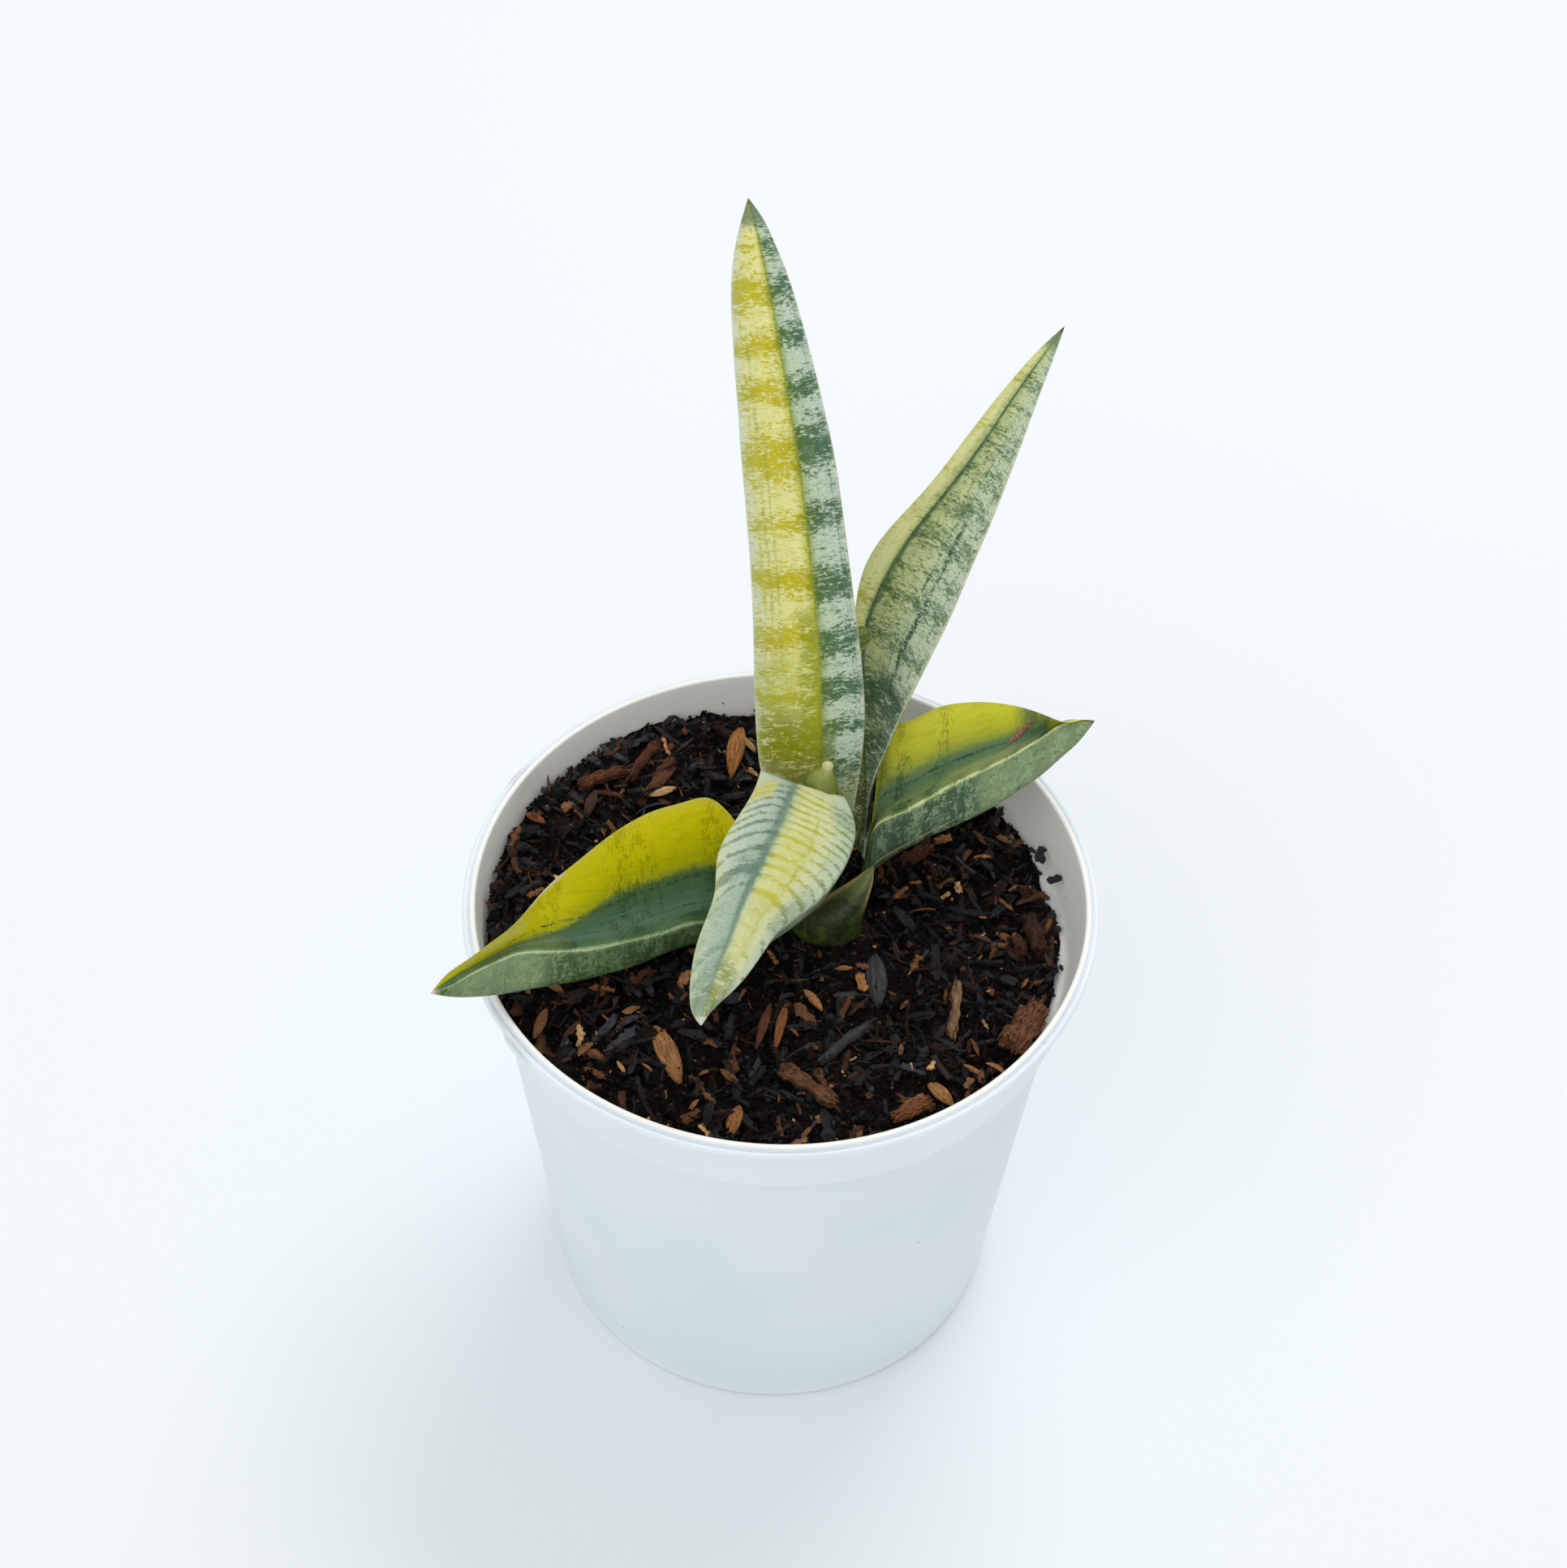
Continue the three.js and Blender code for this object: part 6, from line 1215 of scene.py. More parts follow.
def outward(verts, quads, tris):
    v0 = verts[quads[:, 0]]
    vol = sum(np.einsum("ij,ij->i", v0, np.cross(verts[quads[:, k]], verts[quads[:, k + 1]])).sum() for k in (1, 2))
    t0 = verts[tris[:, 0]]
    vol += np.einsum("ij,ij->i", t0, np.cross(verts[tris[:, 1]], verts[tris[:, 2]])).sum()
    return (quads, tris) if vol > 0 else (quads[:, ::-1], tris[:, ::-1])


mix_f4, mix_tri = outward(mix_v, mix_f4, mix_tri)
mix = make_mesh("potting_mix_body", mix_v, [mix_f4, mix_tri])


def soil_material():
    nd = Nodes("potting_mix_material")
    p = nd.object_mm()
    big_n = nd.noise(nd.vscale(p, 0.25), 1.0, detail=3.0)
    mid = nd.noise(nd.vscale(p, 1.3), 1.0, detail=5.0, rough=0.7)
    fine = nd.noise(nd.vscale(p, 4.5), 1.0, detail=5.0, rough=0.75)
    cells = nd.voronoi(nd.vscale(p, 1.9), 1.0)
    col = nd.mix(nd.step(mid, 0.36, 0.66), srgb(7, 5, 5), srgb(32, 22, 18))
    col = nd.mix(nd.mul(nd.step(big_n, 0.45, 0.7), 0.5), col, srgb(14, 11, 11))
    col = nd.mix(nd.mul(nd.step(fine, 0.60, 0.72), 0.6), col, srgb(64, 46, 36))
    h = nd.add(nd.mul(mid, 0.8), nd.mul(cells, 0.6))
    n1 = nd.bump(h, 0.5, 0.9)
    n2 = nd.bump(fine, 0.22, 0.9, n1)
    return nd.finish(col, nd.add(0.62, nd.mul(fine, 0.3)), n2, Specular_IOR_Level=0.08)


def tint_material(name, streak=(0.35, 0.35, 6.0), contrast=0.45, bump_mm=0.12, rough=(0.55, 0.3), spec=0.35, dirt=0.45):
    """Colour from the mesh, broken up with grain that runs along each fragment."""
    nd = Nodes(name)
    tint = nd.attr("tint", "Color")
    g = nd.uv("frag")
    along = nd.noise(nd.vadd(nd.vscale(g, (4.0, 22.0, 1.0)), nd.vscale(nd.object_mm(), 0.35)), 1.0, detail=4.0, rough=0.65)
    p = nd.object_mm()
    mott = nd.noise(nd.vscale(p, 1.7), 1.0, detail=4.0, rough=0.65)
    fine = nd.noise(nd.vscale(p, 6.0), 1.0, detail=3.0, rough=0.7)
    dark = nd.mix(1.0, tint, (0.24, 0.21, 0.20, 1.0), "MULTIPLY")
    pale = nd.mix(1.0, tint, (1.9, 1.75, 1.6, 1.0), "MULTIPLY")
    col = nd.mix(nd.mul(nd.step(along, 0.40, 0.62), contrast), tint, dark)
    col = nd.mix(nd.mul(nd.step(along, 0.50, 0.30), 0.35), col, pale)
    col = nd.mix(nd.mul(nd.step(mott, 0.50, 0.68), dirt), col, srgb(16, 12, 10))
    n1 = nd.bump(along, bump_mm, 0.8)
    n2 = nd.bump(fine, bump_mm * 0.7, 0.7, n1)
    # wet glints: some spots are smoother than the rest
    wet = nd.step(nd.noise(nd.vscale(p, 2.6), 1.0, detail=3.0, rough=0.7), 0.48, 0.66)
    dull = nd.add(rough[0] + 0.30, nd.mul(mott, rough[1]))
    return nd.finish(col, nd.sub(dull, nd.mul(wet, 0.42)), n2, Specular_IOR_Level=spec)


mix.data.materials.append(soil_material())
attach(mix, "root")
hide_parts("potting_mix")


# ---- fragment shapes: unit meshes along +X, returned as (verts, [faces...], frag uv per vertex)
def shard(L, W, T, kind, r, fine=False):
    """A splinter, bark chip, crumb or husk as a closed loft."""
    n_ring = {"crumb": 5, "lump": 16, "fibre": 9, "shard": 8, "bark": 14, "husk": 15, "stick": 16}[kind]
    sides = {"crumb": 6, "lump": 20, "fibre": 5, "shard": 8, "bark": 16, "husk": 14, "stick": 12}[kind]
    if fine:
        n_ring, sides = {"husk": (34, 36), "bark": (40, 36), "stick": (44, 24)}[kind]
    if kind == "lump":
        th = np.linspace(0.12, np.pi - 0.12, n_ring)
        ph = np.linspace(0, 2 * np.pi, sides, endpoint=False)
        d = np.stack([np.broadcast_to(-np.cos(th)[:, None], (n_ring, sides)), np.sin(th)[:, None] * np.cos(ph), np.sin(th)[:, None] * np.sin(ph)], -1)
        k = int(r.integers(1, 9999))
        size_ = 1 + 0.30 * value_noise(d * 1.6 + k, 1.0, 3) + 0.20 * value_noise(d * 4.2 + k, 1.0, 4) + 0.10 * value_noise(d * 9 + k, 1.0, 5)
        P = d * size_[..., None] * np.array([L, W, T]) / 2
        v = np.r_[P.reshape(-1, 3), [P[0].mean(0)], [P[-1].mean(0)]]
        j = np.arange(sides)
        quads = np.concatenate([np.stack([i * sides + j, i * sides + (j + 1) % sides, (i + 1) * sides + (j + 1) % sides, (i + 1) * sides + j], -1) for i in range(n_ring - 1)])
        tris = np.r_[np.stack([(j + 1) % sides, j, np.full(sides, len(v) - 2)], -1), np.stack([(n_ring - 1) * sides + j, (n_ring - 1) * sides + (j + 1) % sides, np.full(sides, len(v) - 1)], -1)]
        quads, tris = outward(v, quads, tris)
        fu = np.concatenate([np.stack([np.repeat(np.linspace(0, 1, n_ring), sides), np.tile(np.abs(np.arange(sides) / sides - 0.5) * 2, n_ring)], -1), [[0, 0.5], [1, 0.5]]])
        return v, quads, tris, fu
    t = np.linspace(0, 1, n_ring)
    ang = np.linspace(0, 2 * np.pi, sides, endpoint=False)
    ca, sa = np.cos(ang), np.sin(ang)
    if kind == "husk":
        w = np.clip(np.sin(np.pi * (0.03 + 0.94 * t)), 0, 1) ** (0.62 + 0.25 * r.random())
        skew = 0.2 * (r.random() - 0.5)
        bow = (0.10 + 0.16 * r.random()) * L * (4 * t * (1 - t) - 1) * 0.5
        cx = (t - 0.5) * L
        y = ca[None, :] * w[:, None] * W / 2
        ridge = 1 + (0.16 if fine else 0.22) * np.cos(ang * (9 if fine else 5))[None, :] * (sa[None, :] > 0)
        dome = (1 - ca[None, :] ** 2) ** 0.5
        hollow = 0.55 * (1 - (ca[None, :]) ** 2)
        zt = np.where(sa[None, :] >= 0, dome * ridge * T * 0.62 * w[:, None] ** 0.5, -dome * T * 0.12 * w[:, None] + hollow * T * 0.35 * w[:, None])
        z = zt + bow[:, None]
        x = cx[:, None] + skew * y
    else:
        if fine:
            wj = 1 + 0.14 * np.interp(t, np.linspace(0, 1, 9), r.standard_normal(9)) + 0.03 * r.standard_normal(n_ring)
            hj = 1 + 0.16 * np.interp(t, np.linspace(0, 1, 9), r.standard_normal(9)) + 0.03 * r.standard_normal(n_ring)
        else:
            wj = 1 + (0.24 if kind == "shard" else 0.16) * r.standard_normal(n_ring)
            hj = 1 + 0.20 * r.standard_normal(n_ring)
        ends = np.minimum(np.minimum(t, 1 - t) * (6 if kind != "crumb" else 3) + (0.30 if kind == "crumb" else 0.5), 1)
        if kind == "shard":
            # one end snapped off, the other splintered
            e0, e1 = r.uniform(0.25, 0.95, 2)
            ends = np.minimum(np.minimum(e0 + t * 5, e1 + (1 - t) * 5), 1)
        if kind == "fibre":
            ends = np.minimum(np.minimum(t, 1 - t) * 8 + 0.25, 1)
        prof = 1 + (0.07 if fine else 0.20) * r.standard_normal(sides)
        box_ = np.maximum(abs(ca), abs(sa)) if kind in ("bark", "shard") else np.ones(sides)
        k = 1 / (0.45 + 0.55 * box_)
        y = (ca * prof * k)[None, :] * (wj * ends)[:, None] * W / 2
        z = (sa * prof * k)[None, :] * (hj * ends)[:, None] * T / 2
        bend = (r.random() - 0.5) * L * (0.5 if kind == "fibre" else 0.12)
        curve = bend * (4 * t * (1 - t) - 0.66)
        lift = (r.random() - 0.3) * (0.22 * L if kind == "fibre" else 0.08 * L) * (4 * t * (1 - t) - 0.66)
        x = ((t - 0.5) * L)[:, None] + 0.06 * L * r.standard_normal((n_ring, sides)) * (np.minimum(t, 1 - t) < 0.15)[:, None]
        y = y + curve[:, None]
        z = z + lift[:, None]
        if fine:
            g = np.stack([np.broadcast_to(t[:, None] * L, z.shape), y, z], -1)
            k = int(r.integers(1, 9999))
            z = z + T * 0.16 * value_noise(g * [0.8, 1.6, 1.6] + k, 1.0, 8) + T * 0.07 * value_noise(g * [2.2, 5, 5] + k, 1.0, 9)
            y = y + W * 0.08 * value_noise(g * [1.1, 1.6, 1.6] + k, 1.0, 10)
        elif kind != "fibre":
            z = z + T * 0.10 * r.standard_normal(z.shape)
            y = y + W * 0.06 * r.standard_normal(y.shape)
    P = np.stack([x, y, z], -1)
    v = np.r_[P.reshape(-1, 3), [P[0].mean(0)], [P[-1].mean(0)]]
    j = np.arange(sides)
    quads = np.concatenate([np.stack([k * sides + j, k * sides + (j + 1) % sides, (k + 1) * sides + (j + 1) % sides, (k + 1) * sides + j], -1) for k in range(n_ring - 1)])
    a, b = len(v) - 2, len(v) - 1
    tris = np.r_[np.stack([(j + 1) % sides, j, np.full(sides, a)], -1), np.stack([(n_ring - 1) * sides + j, (n_ring - 1) * sides + (j + 1) % sides, np.full(sides, b)], -1)]
    quads, tris = outward(v, quads, tris)
    fu = np.concatenate([np.stack([np.repeat(t, sides), np.tile(np.abs(np.arange(sides) / sides - 0.5) * 2, n_ring)], -1), [[0, 0.5], [1, 0.5]]])
    return v, quads, tris, fu


def turned(v, heading, pitch, roll):
    ch, sh, cp, sp, cr, sr = math.cos(heading), math.sin(heading), math.cos(pitch), math.sin(pitch), math.cos(roll), math.sin(roll)
    Rx = np.array([[1, 0, 0], [0, cr, -sr], [0, sr, cr]])
    Ry = np.array([[cp, 0, sp], [0, 1, 0], [-sp, 0, cp]])
    Rz = np.array([[ch, -sh, 0], [sh, ch, 0], [0, 0, 1]])
    return v @ (Rz @ Ry @ Rx).T


class Batch:
    """Fragments gathered into one object."""

    def __init__(self, name, material, slot, replaces=(), crisp=26):
        self.name, self.material, self.slot, self.nodes, self.crisp = name, material, slot, replaces, crisp
        self.v, self.q, self.t, self.uv, self.tint, self.n = [], [], [], [], [], 0

    def add(self, v, quads, tris, fu, tint):
        off = self.n
        self.v.append(v)
        self.q.append(quads + off)
        self.t.append(tris + off)
        self.uv.append(fu)
        self.tint.append(np.tile(tint, (len(v), 1)))
        self.n += len(v)

    def build(self):
        if not self.n:
            return None
        uv = np.concatenate(self.uv)
        q, t = np.concatenate(self.q), np.concatenate(self.t)
        per_loop = np.r_[uv[q.ravel()], uv[t.ravel()]]
        ob = make_mesh(self.name, np.concatenate(self.v), [q, t], uvs={"frag": per_loop}, attrs={"tint": np.concatenate(self.tint)})
        ob.data.materials.append(self.material)
        ob.data.set_sharp_from_angle(angle=math.radians(self.crisp))
        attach(ob, "root")
        if self.nodes:
            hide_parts(*self.nodes)
        return ob


def settle(v, x, y, sink, buffer=True, q=85, cap=None):
    """Drop a turned fragment onto the mix; returns its placed vertices or None where it can't lie."""
    px, py = v[:, 0] + x, v[:, 1] + y
    r = np.hypot(px, py)
    i = np.round((px + HALF) / CELL).astype(int)
    j = np.round((py + HALF) / CELL).astype(int)
    if (i < 0).any() or (j < 0).any() or (i >= N_GRID).any() or (j >= N_GRID).any():
        return None
    under = height[i, j]
    low = v[:, 2]
    z = np.percentile(under - low, q) - sink
    if (r > wall_radius(low + z) - 0.12).any():
        return None
    if (low + z > ceiling[i, j] - 0.1).any():
        return None
    top_z = low + z
    if cap is not None and (top_z > soil_height(px, py) + cap).any():
        return None
    if buffer:
        np.maximum.at(height, (i, j), top_z)
    return np.stack([px, py, top_z], -1)


def lin(*c):
    return np.array(srgb(*c)[:3])


DARKS = [lin(13, 9, 9), lin(20, 14, 12), lin(9, 7, 7), lin(30, 20, 16), lin(15, 13, 13), lin(7, 6, 6), lin(42, 29, 23)]
BROWNS = [lin(90, 58, 40), lin(110, 70, 46), lin(64, 42, 31), lin(128, 86, 56), lin(50, 34, 27)]
TANS = [lin(166, 116, 70), lin(192, 144, 92), lin(148, 100, 60), lin(214, 170, 118), lin(134, 92, 58), lin(178, 126, 80)]
CHARS = [lin(20, 21, 24), lin(30, 31, 36), lin(12, 12, 14), lin(54, 57, 64), lin(12, 12, 14)]

crumb_mat = tint_material("crumb_material", contrast=0.45, bump_mm=0.16, rough=(0.38, 0.4), spec=0.14)
shard_mat = tint_material("shard_material", contrast=0.75, bump_mm=0.16, rough=(0.5, 0.35), spec=0.18)
husk_mat = tint_material("husk_material", contrast=0.65, bump_mm=0.12, rough=(0.36, 0.35), spec=0.30, dirt=0.5)
char_mat = tint_material("char_material", contrast=0.6, bump_mm=0.16, rough=(0.24, 0.35), spec=0.40, dirt=0.35)

SECTORS = 3
batches = {}


def batch(kind, x, y):
    k = int((math.atan2(y, x) + math.pi) / (2 * math.pi) * SECTORS) % SECTORS
    key = (kind, k)
    if key not in batches:
        mat = {"crumbs": crumb_mat, "shards": shard_mat, "husks": husk_mat, "chars": char_mat}[kind]
        slot = {"crumbs": "potting_mix", "shards": "bark", "husks": "rice_husk", "chars": "charred_husk"}[kind]
        batches[key] = Batch(f"mix_{kind}_{k + 1}", mat, slot)
    return batches[key]


def scatter(count, kind, group, sizes, palette, sink, tilt=0.3, q=85, r_bias=0.5, cap=2.2, tries=3, keep=None):
    for _ in range(count):
        for _t in range(tries):
            a = rng.random() * 2 * np.pi
            rr = 46.5 * rng.random() ** r_bias
            x, y = rr * math.cos(a), rr * math.sin(a)
            L = math.exp(rng.uniform(math.log(sizes[0][0]), math.log(sizes[0][1])))
            W = L * rng.uniform(*sizes[1])
            T = W * rng.uniform(*sizes[2])
            if keep is not None and not keep(x, y):
                continue
            v, quads, tris, fu = shard(L, W, T, kind, rng)
            v = turned(v, rng.random() * 2 * np.pi, rng.normal() * tilt, rng.normal() * tilt if kind not in ("crumb", "lump") else rng.random() * 6)
            p = settle(v, x, y, sink * T, q=q, cap=cap)
            if p is None:
                continue
            base = palette[rng.integers(len(palette))]
            tint = base * rng.uniform(0.65, 1.35)
            batch(group, x, y).add(p, quads, tris, fu, np.clip(tint, 0, 1))
            break


# ---- named loose pieces, each in its CAD place: (name, kind, a, b, width, thickness, palette colour)
NAMED = [
    ("husk_tan_front", "husk", (-19.0, -20.8), (-14.6, -30.6), 3.4, 0.8, lin(176, 124, 76)),
    ("husk_split_front_a", "husk", (1.5, -14.0), (-0.3, -23.4), 1.5, 0.8, lin(166, 104, 58)),
    ("husk_split_front_b", "husk", (-1.0, -14.6), (-3.1, -23.2), 1.5, 0.8, lin(120, 76, 48)),
    ("husk_charred_centre", "husk", (15.1, -3.6), (15.7, -13.9), 3.4, 0.9, lin(60, 60, 64)),
    ("stick_pale_right", "stick", (28.4, -7.5), (27.3, -18.1), 1.4, 1.1, lin(150, 116, 86)),
    ("bark_chunk_right", "bark", (36.3, -20.3), (41.0, -12.8), 4.2, 3.4, lin(128, 86, 60)),
    ("bark_chip_wall", "bark", (40.0, 6.2), (41.8, -0.6), 2.6, 1.6, lin(70, 46, 36)),
    ("husk_tall_back", "husk", (-7.4, 42.2), (-8.9, 30.6), 3.0, 0.9, lin(170, 112, 58)),
    ("bark_bar_back_left", "bark", (-33.2, 25.8), (-26.5, 29.7), 1.8, 1.5, lin(110, 68, 46)),
    ("bark_bar_back_mid", "bark", (-25.4, 28.1), (-21.4, 36.2), 1.7, 1.4, lin(96, 58, 40)),
    ("bark_bar_back_low", "bark", (-22.2, 25.0), (-18.3, 31.0), 1.6, 1.2, lin(104, 66, 46)),
    ("husk_left_edge", "husk", (-41.8, 18.9), (-38.4, 17.4), 1.4, 0.7, lin(164, 92, 58)),
    ("husk_left_front", "husk", (-37.2, -24.9), (-35.6, -19.3), 1.7, 0.8, lin(160, 112, 74)),
    ("bark_slab_front", "bark", (1.2, -27.0), (9.0, -32.5), 2.4, 1.6, lin(112, 76, 52)),
    ("stick_charred_front", "stick", (7.1, -24.9), (14.3, -17.2), 1.4, 1.4, lin(62, 60, 58)),
    ("husk_front_rim", "husk", (-6.8, -39.9), (-5.4, -34.5), 2.4, 0.7, lin(164, 108, 62)),
    ("bark_front_right", "bark", (18.2, -34.3), (23.7, -30.8), 2.0, 1.5, lin(134, 84, 50)),
    ("bark_under_right_leaf", "bark", (19.4, 15.0), (24.2, 19.2), 2.2, 1.5, lin(92, 56, 40)),
    ("husk_right_front", "husk", (23.3, -27.0), (27.5, -30.8), 2.4, 0.7, lin(176, 124, 74)),
]


def near_named(x, y, margin=0.0):
    for _, _, a, b, w, _, _ in NAMED:
        a_, b_ = np.array(a), np.array(b)
        t = np.clip(((x - a_[0]) * (b_[0] - a_[0]) + (y - a_[1]) * (b_[1] - a_[1])) / max(((b_ - a_) ** 2).sum(), 1e-6), 0, 1)
        c = a_ + (b_ - a_) * t
        if math.hypot(x - c[0], y - c[1]) < w / 2 + margin:
            return True
    return False


def open_ground(x, y):
    return not near_named(x, y, 0.3)


scatter(170, "lump", "crumbs", ((2.2, 5.2), (0.7, 1.0), (0.6, 0.9)), DARKS, 0.45, q=70, cap=1.7)
scatter(650, "shard", "chars", ((1.4, 6.5), (0.10, 0.26), (0.4, 0.9)), CHARS + DARKS + DARKS, 0.35, tilt=0.36, cap=1.9)
scatter(5200, "crumb", "crumbs", ((0.45, 1.7), (0.6, 1.0), (0.6, 1.0)), DARKS, 0.35, q=60, cap=1.8)
scatter(420, "shard", "shards", ((1.4, 5.0), (0.14, 0.32), (0.4, 0.8)), DARKS + BROWNS, 0.3, tilt=0.36, cap=2.1)
scatter(430, "fibre", "shards", ((2.0, 8.0), (0.025, 0.06), (0.8, 1.0)), BROWNS + DARKS + CHARS, 0.2, tilt=0.24, cap=2.5)
scatter(60, "husk", "chars", ((2.4, 6.0), (0.24, 0.38), (0.25, 0.4)), CHARS, 0.25, tilt=0.4, cap=2.3, keep=open_ground)
scatter(7000, "crumb", "crumbs", ((0.28, 1.05), (0.6, 1.0), (0.6, 1.0)), DARKS + DARKS + DARKS + CHARS + BROWNS[:1], 0.2, q=70, cap=2.5, tries=2)
scatter(380, "shard", "chars", ((1.2, 5.6), (0.10, 0.26), (0.4, 0.9)), CHARS + CHARS + DARKS, 0.2, tilt=0.38, cap=2.6, keep=open_ground)
scatter(170, "shard", "shards", ((1.0, 5.2), (0.16, 0.38), (0.4, 0.7)), BROWNS + TANS[:1], 0.12, tilt=0.40, cap=2.7, keep=open_ground)
scatter(62, "husk", "husks", ((2.2, 5.2), (0.24, 0.40), (0.25, 0.4)), TANS + BROWNS, 0.1, tilt=0.45, cap=2.8, keep=open_ground)
scatter(110, "shard", "husks", ((0.8, 3.4), (0.18, 0.4), (0.4, 0.7)), TANS + BROWNS[3:4], 0.1, tilt=0.42, cap=2.7, keep=open_ground)
scatter(900, "crumb", "chars", ((0.25, 0.8), (0.5, 0.9), (0.5, 0.9)), CHARS, 0.1, q=75, cap=2.6, tries=2)
scatter(160, "crumb", "husks", ((0.3, 0.9), (0.4, 0.9), (0.5, 0.9)), TANS, 0.1, q=75, cap=2.6, tries=2)

# steep pieces standing against the wall break up the edge of the mix
def rim_scatter(count, kind, group, sizes, palette, tilt, cap):
    for _ in range(count):
        for _t in range(6):
            a = rng.random() * 2 * np.pi
            L = math.exp(rng.uniform(math.log(sizes[0][0]), math.log(sizes[0][1])))
            W = L * rng.uniform(*sizes[1])
            T = W * rng.uniform(*sizes[2])
            rr = float(edge_radius(np.array([a]))[0]) - rng.uniform(0.2, 3.0)
            x, y = rr * math.cos(a), rr * math.sin(a)
            v, quads, tris, fu = shard(L, W, T, kind, rng)
            v = turned(v, rng.random() * 2 * np.pi, rng.normal() * tilt, rng.normal() * tilt)
            p = settle(v, x, y, 0.3 * T, q=55, cap=cap)
            if p is None or not open_ground(x, y):
                continue
            tint = palette[rng.integers(len(palette))] * rng.uniform(0.65, 1.35)
            batch(group, x, y).add(p, quads, tris, fu, np.clip(tint, 0, 1))
            break


rim_scatter(130, "shard", "chars", ((1.6, 5.0), (0.18, 0.4), (0.3, 0.8)), CHARS + DARKS, 0.7, 4.0)
rim_scatter(60, "shard", "shards", ((1.6, 5.0), (0.18, 0.4), (0.3, 0.8)), BROWNS, 0.6, 3.6)

# black flakes of charcoal that lie on the ledge inside the wall
flakes = Batch("mix_flakes_on_ledge", char_mat, "charred_husk")
for fx, fy, L, W, head in ((42.0, 16.2, 3.6, 1.5, 1.35), (44.0, 10.6, 2.6, 1.2, 0.5), (44.6, 3.8, 1.3, 0.8, 1.0), (40.9, 19.6, 1.6, 0.7, 2.2), (38.2, 23.6, 1.1, 0.6, 0.4), (45.0, -3.4, 1.2, 0.6, 1.6)):
    r = np.random.default_rng(int(fx * 100 + fy * 10))
    v, quads, tris, fu = shard(L, W, 0.35, "shard", r)
    v = turned(v, head, 0.1, 0.2)
    a = math.atan2(fy, fx)
    px, py = v[:, 0] + fx, v[:, 1] + fy
    rr = np.hypot(px, py)
    z_wall = np.interp(rr, INNER[2:7, 0], INNER[2:7, 1])
    rest = max(float((z_wall - v[:, 2]).max()), float((sample(height, px, py) - v[:, 2]).max())) + 0.05
    push = min(0.0, float((wall_radius(v[:, 2] + rest) - 0.1 - rr).min()))
    flakes.add(np.stack([px + push * math.cos(a), py + push * math.sin(a), v[:, 2] + rest], -1), quads, tris, fu, lin(24, 26, 30))
flakes.build()

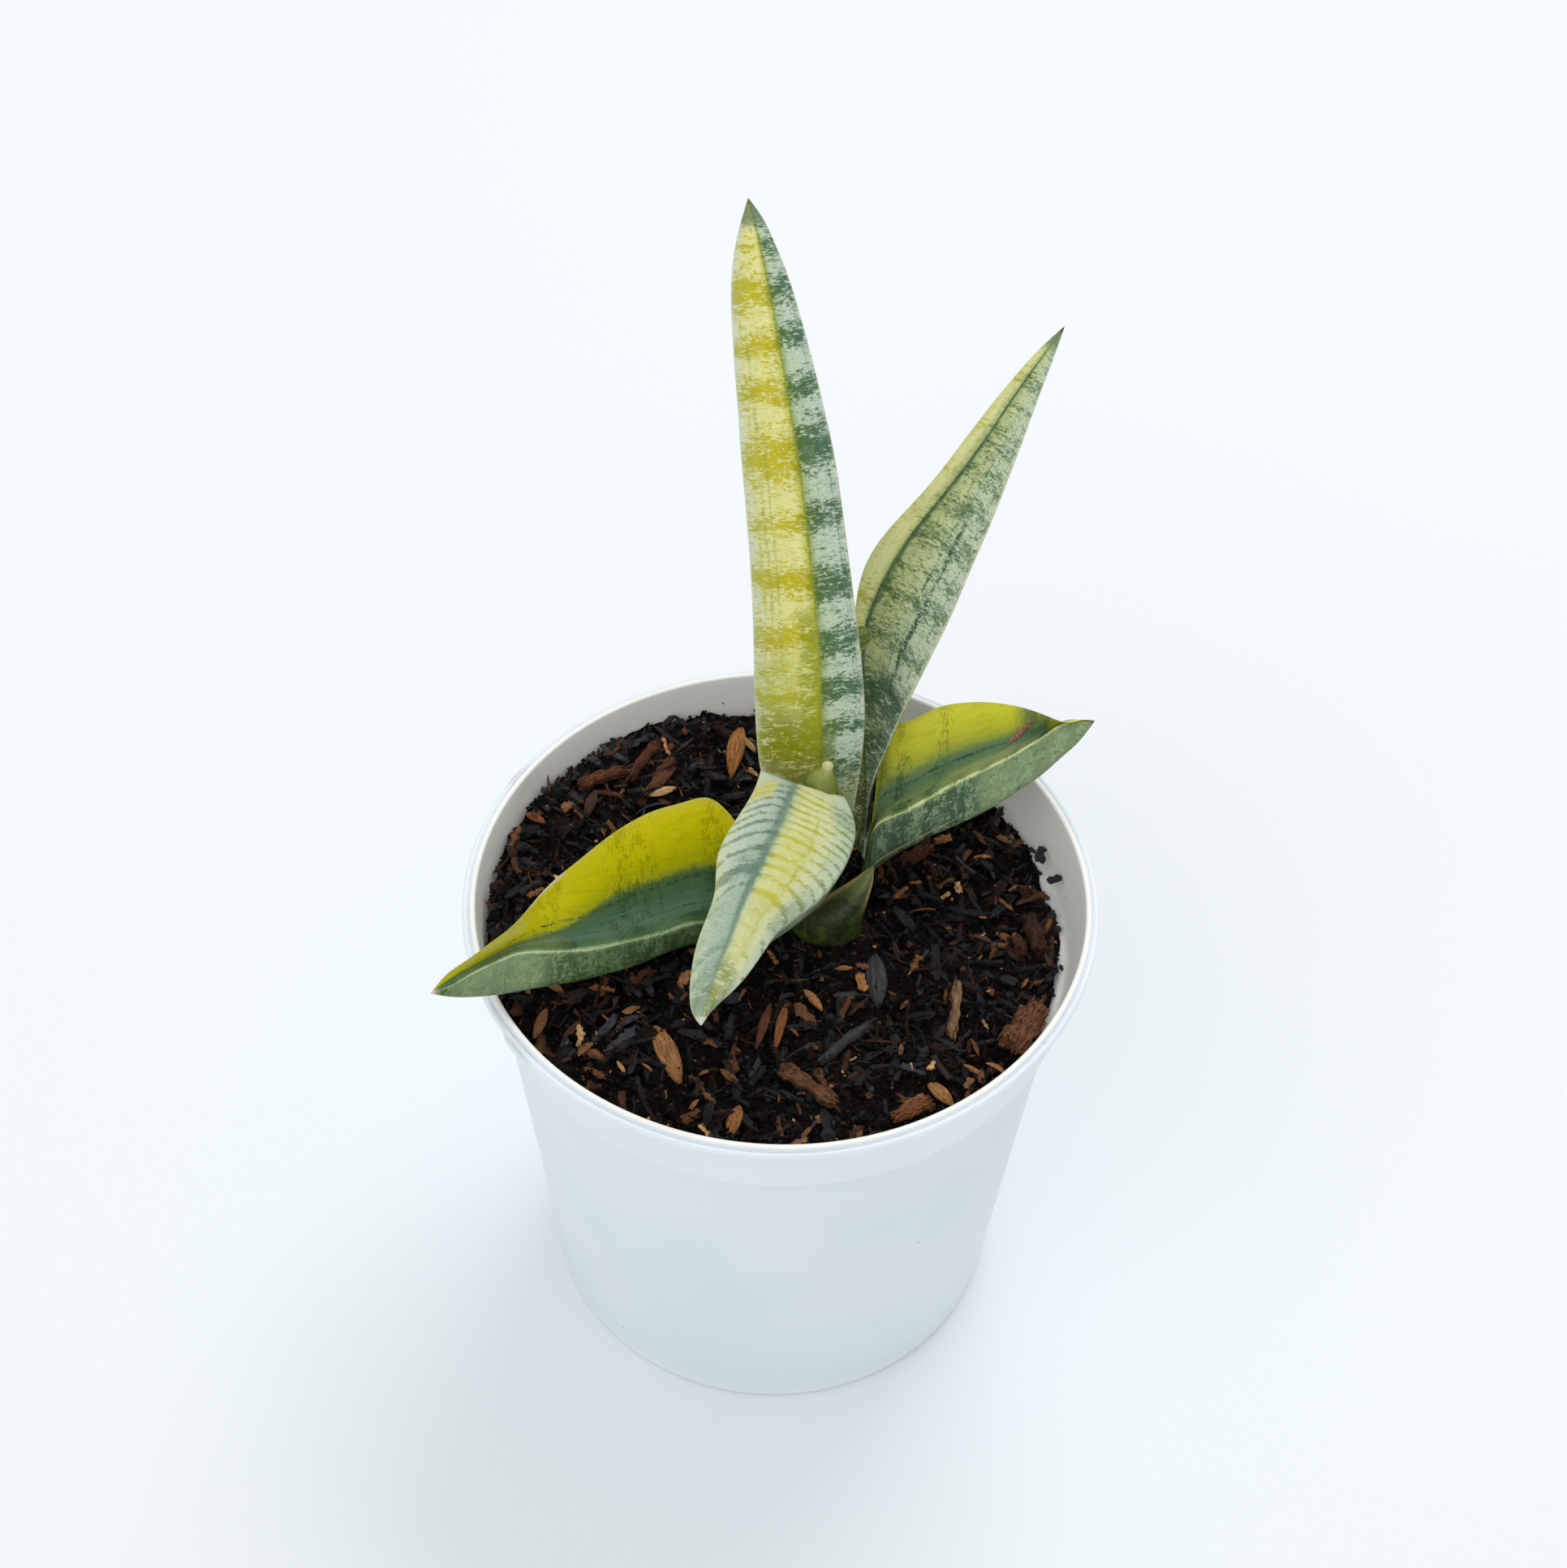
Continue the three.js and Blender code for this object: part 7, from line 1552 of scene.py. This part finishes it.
loose_mats = {"husk": husk_mat, "bark": shard_mat, "stick": shard_mat}
for name, kind, a, b, w, t, tint in NAMED:
    r = np.random.default_rng(abs(sum(ord(c) * (k + 3) for k, c in enumerate(name))))
    dx, dy = b[0] - a[0], b[1] - a[1]
    L = math.hypot(dx, dy)
    v, quads, tris, fu = shard(L, w, t * (1.5 if kind == "husk" else 1.0), kind, r, fine=True)
    lo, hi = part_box(name)
    cad_mid = (lo.z + hi.z) * 500
    za, zb = soil_height(*a), soil_height(*b)
    pitch = -math.atan2(zb - za, L)
    v = turned(v, math.atan2(dy, dx), pitch, 0.12 * r.standard_normal())
    cx, cy = (a[0] + b[0]) / 2, (a[1] + b[1]) / 2
    px, py = v[:, 0] + cx, v[:, 1] + cy
    i = np.clip(np.round((px + HALF) / CELL).astype(int), 0, N_GRID - 1)
    j = np.clip(np.round((py + HALF) / CELL).astype(int), 0, N_GRID - 1)
    z = np.percentile(height[i, j] - v[:, 2], 80) - 0.15 * t
    z = min(max(z, cad_mid - 0.4), cad_mid + 1.4)
    room = (ceiling[i, j] - 0.15 - v[:, 2]).min()
    z = min(z, room)
    piece_batch = Batch(name + "_detail", char_mat if "charred" in name else loose_mats[kind], {"husk": "charred_husk" if "charred" in name else "rice_husk", "bark": "bark", "stick": "charred_husk" if "charred" in name else "pale_wood"}[kind], (name,), 38)
    piece_batch.add(np.stack([px, py, v[:, 2] + z], -1), quads, tris, fu, tint)
    piece_batch.build()

for key in sorted(batches):
    batches[key].build()


# ------------------------------------------------------------------ floor and light
def floor():
    n = 60
    r = np.r_[0.0, np.geomspace(0.02, 6.0, 80)] * 1000
    ang = np.linspace(0, 2 * np.pi, n, endpoint=False)
    verts = [[0, 0, 0]]
    for rr in r[1:]:
        for t in ang:
            verts.append([rr * math.cos(t), rr * math.sin(t), 0])
    faces = []
    for k in range(1, len(r) - 1):
        for j in range(n):
            a0 = 1 + (k - 1) * n + j
            a1 = 1 + (k - 1) * n + (j + 1) % n
            faces.append([a0, a0 + n, a1 + n, a1])
    tris = [[0, 1 + j, 1 + (j + 1) % n] for j in range(n)]
    ob = make_mesh("floor", np.array(verts), [np.array(faces), np.array(tris)])
    nd = Nodes("floor_material")
    ob.data.materials.append(nd.finish(srgb(240, 244, 247), 0.7, Specular_IOR_Level=0.2))


floor()
world = bpy.data.worlds.new("world")
scene.world = world
world.use_nodes = True
bg = world.node_tree.nodes["Background"]
bg.inputs["Color"].default_value = (0.965, 0.992, 1.0, 1.0)
bg.inputs["Strength"].default_value = 0.68


def area(name, position, target, size, power, colour=(1, 1, 1), size_y=None):
    light = bpy.data.lights.new(name, "AREA")
    light.shape = "RECTANGLE" if size_y else "SQUARE"
    light.size = size
    if size_y:
        light.size_y = size_y
    light.energy = power
    light.color = colour
    ob = bpy.data.objects.new(name, light)
    scene.collection.objects.link(ob)
    z = (np.array(position, float) - np.array(target, float))
    z /= np.linalg.norm(z)
    x = np.cross([0, 0, 1.0], z)
    x /= np.linalg.norm(x)
    y = np.cross(z, x)
    ob.matrix_world = Matrix((
        (x[0], y[0], z[0], position[0]), (x[1], y[1], z[1], position[1]), (x[2], y[2], z[2], position[2]), (0, 0, 0, 1)))
    return ob


area("softbox_back", (0.35, 0.75, 1.30), (0, 0, 0.08), 0.8, 7.5)
area("softbox_front", (-0.55, -0.85, 1.15), (0, 0, 0.1), 1.3, 5.0)
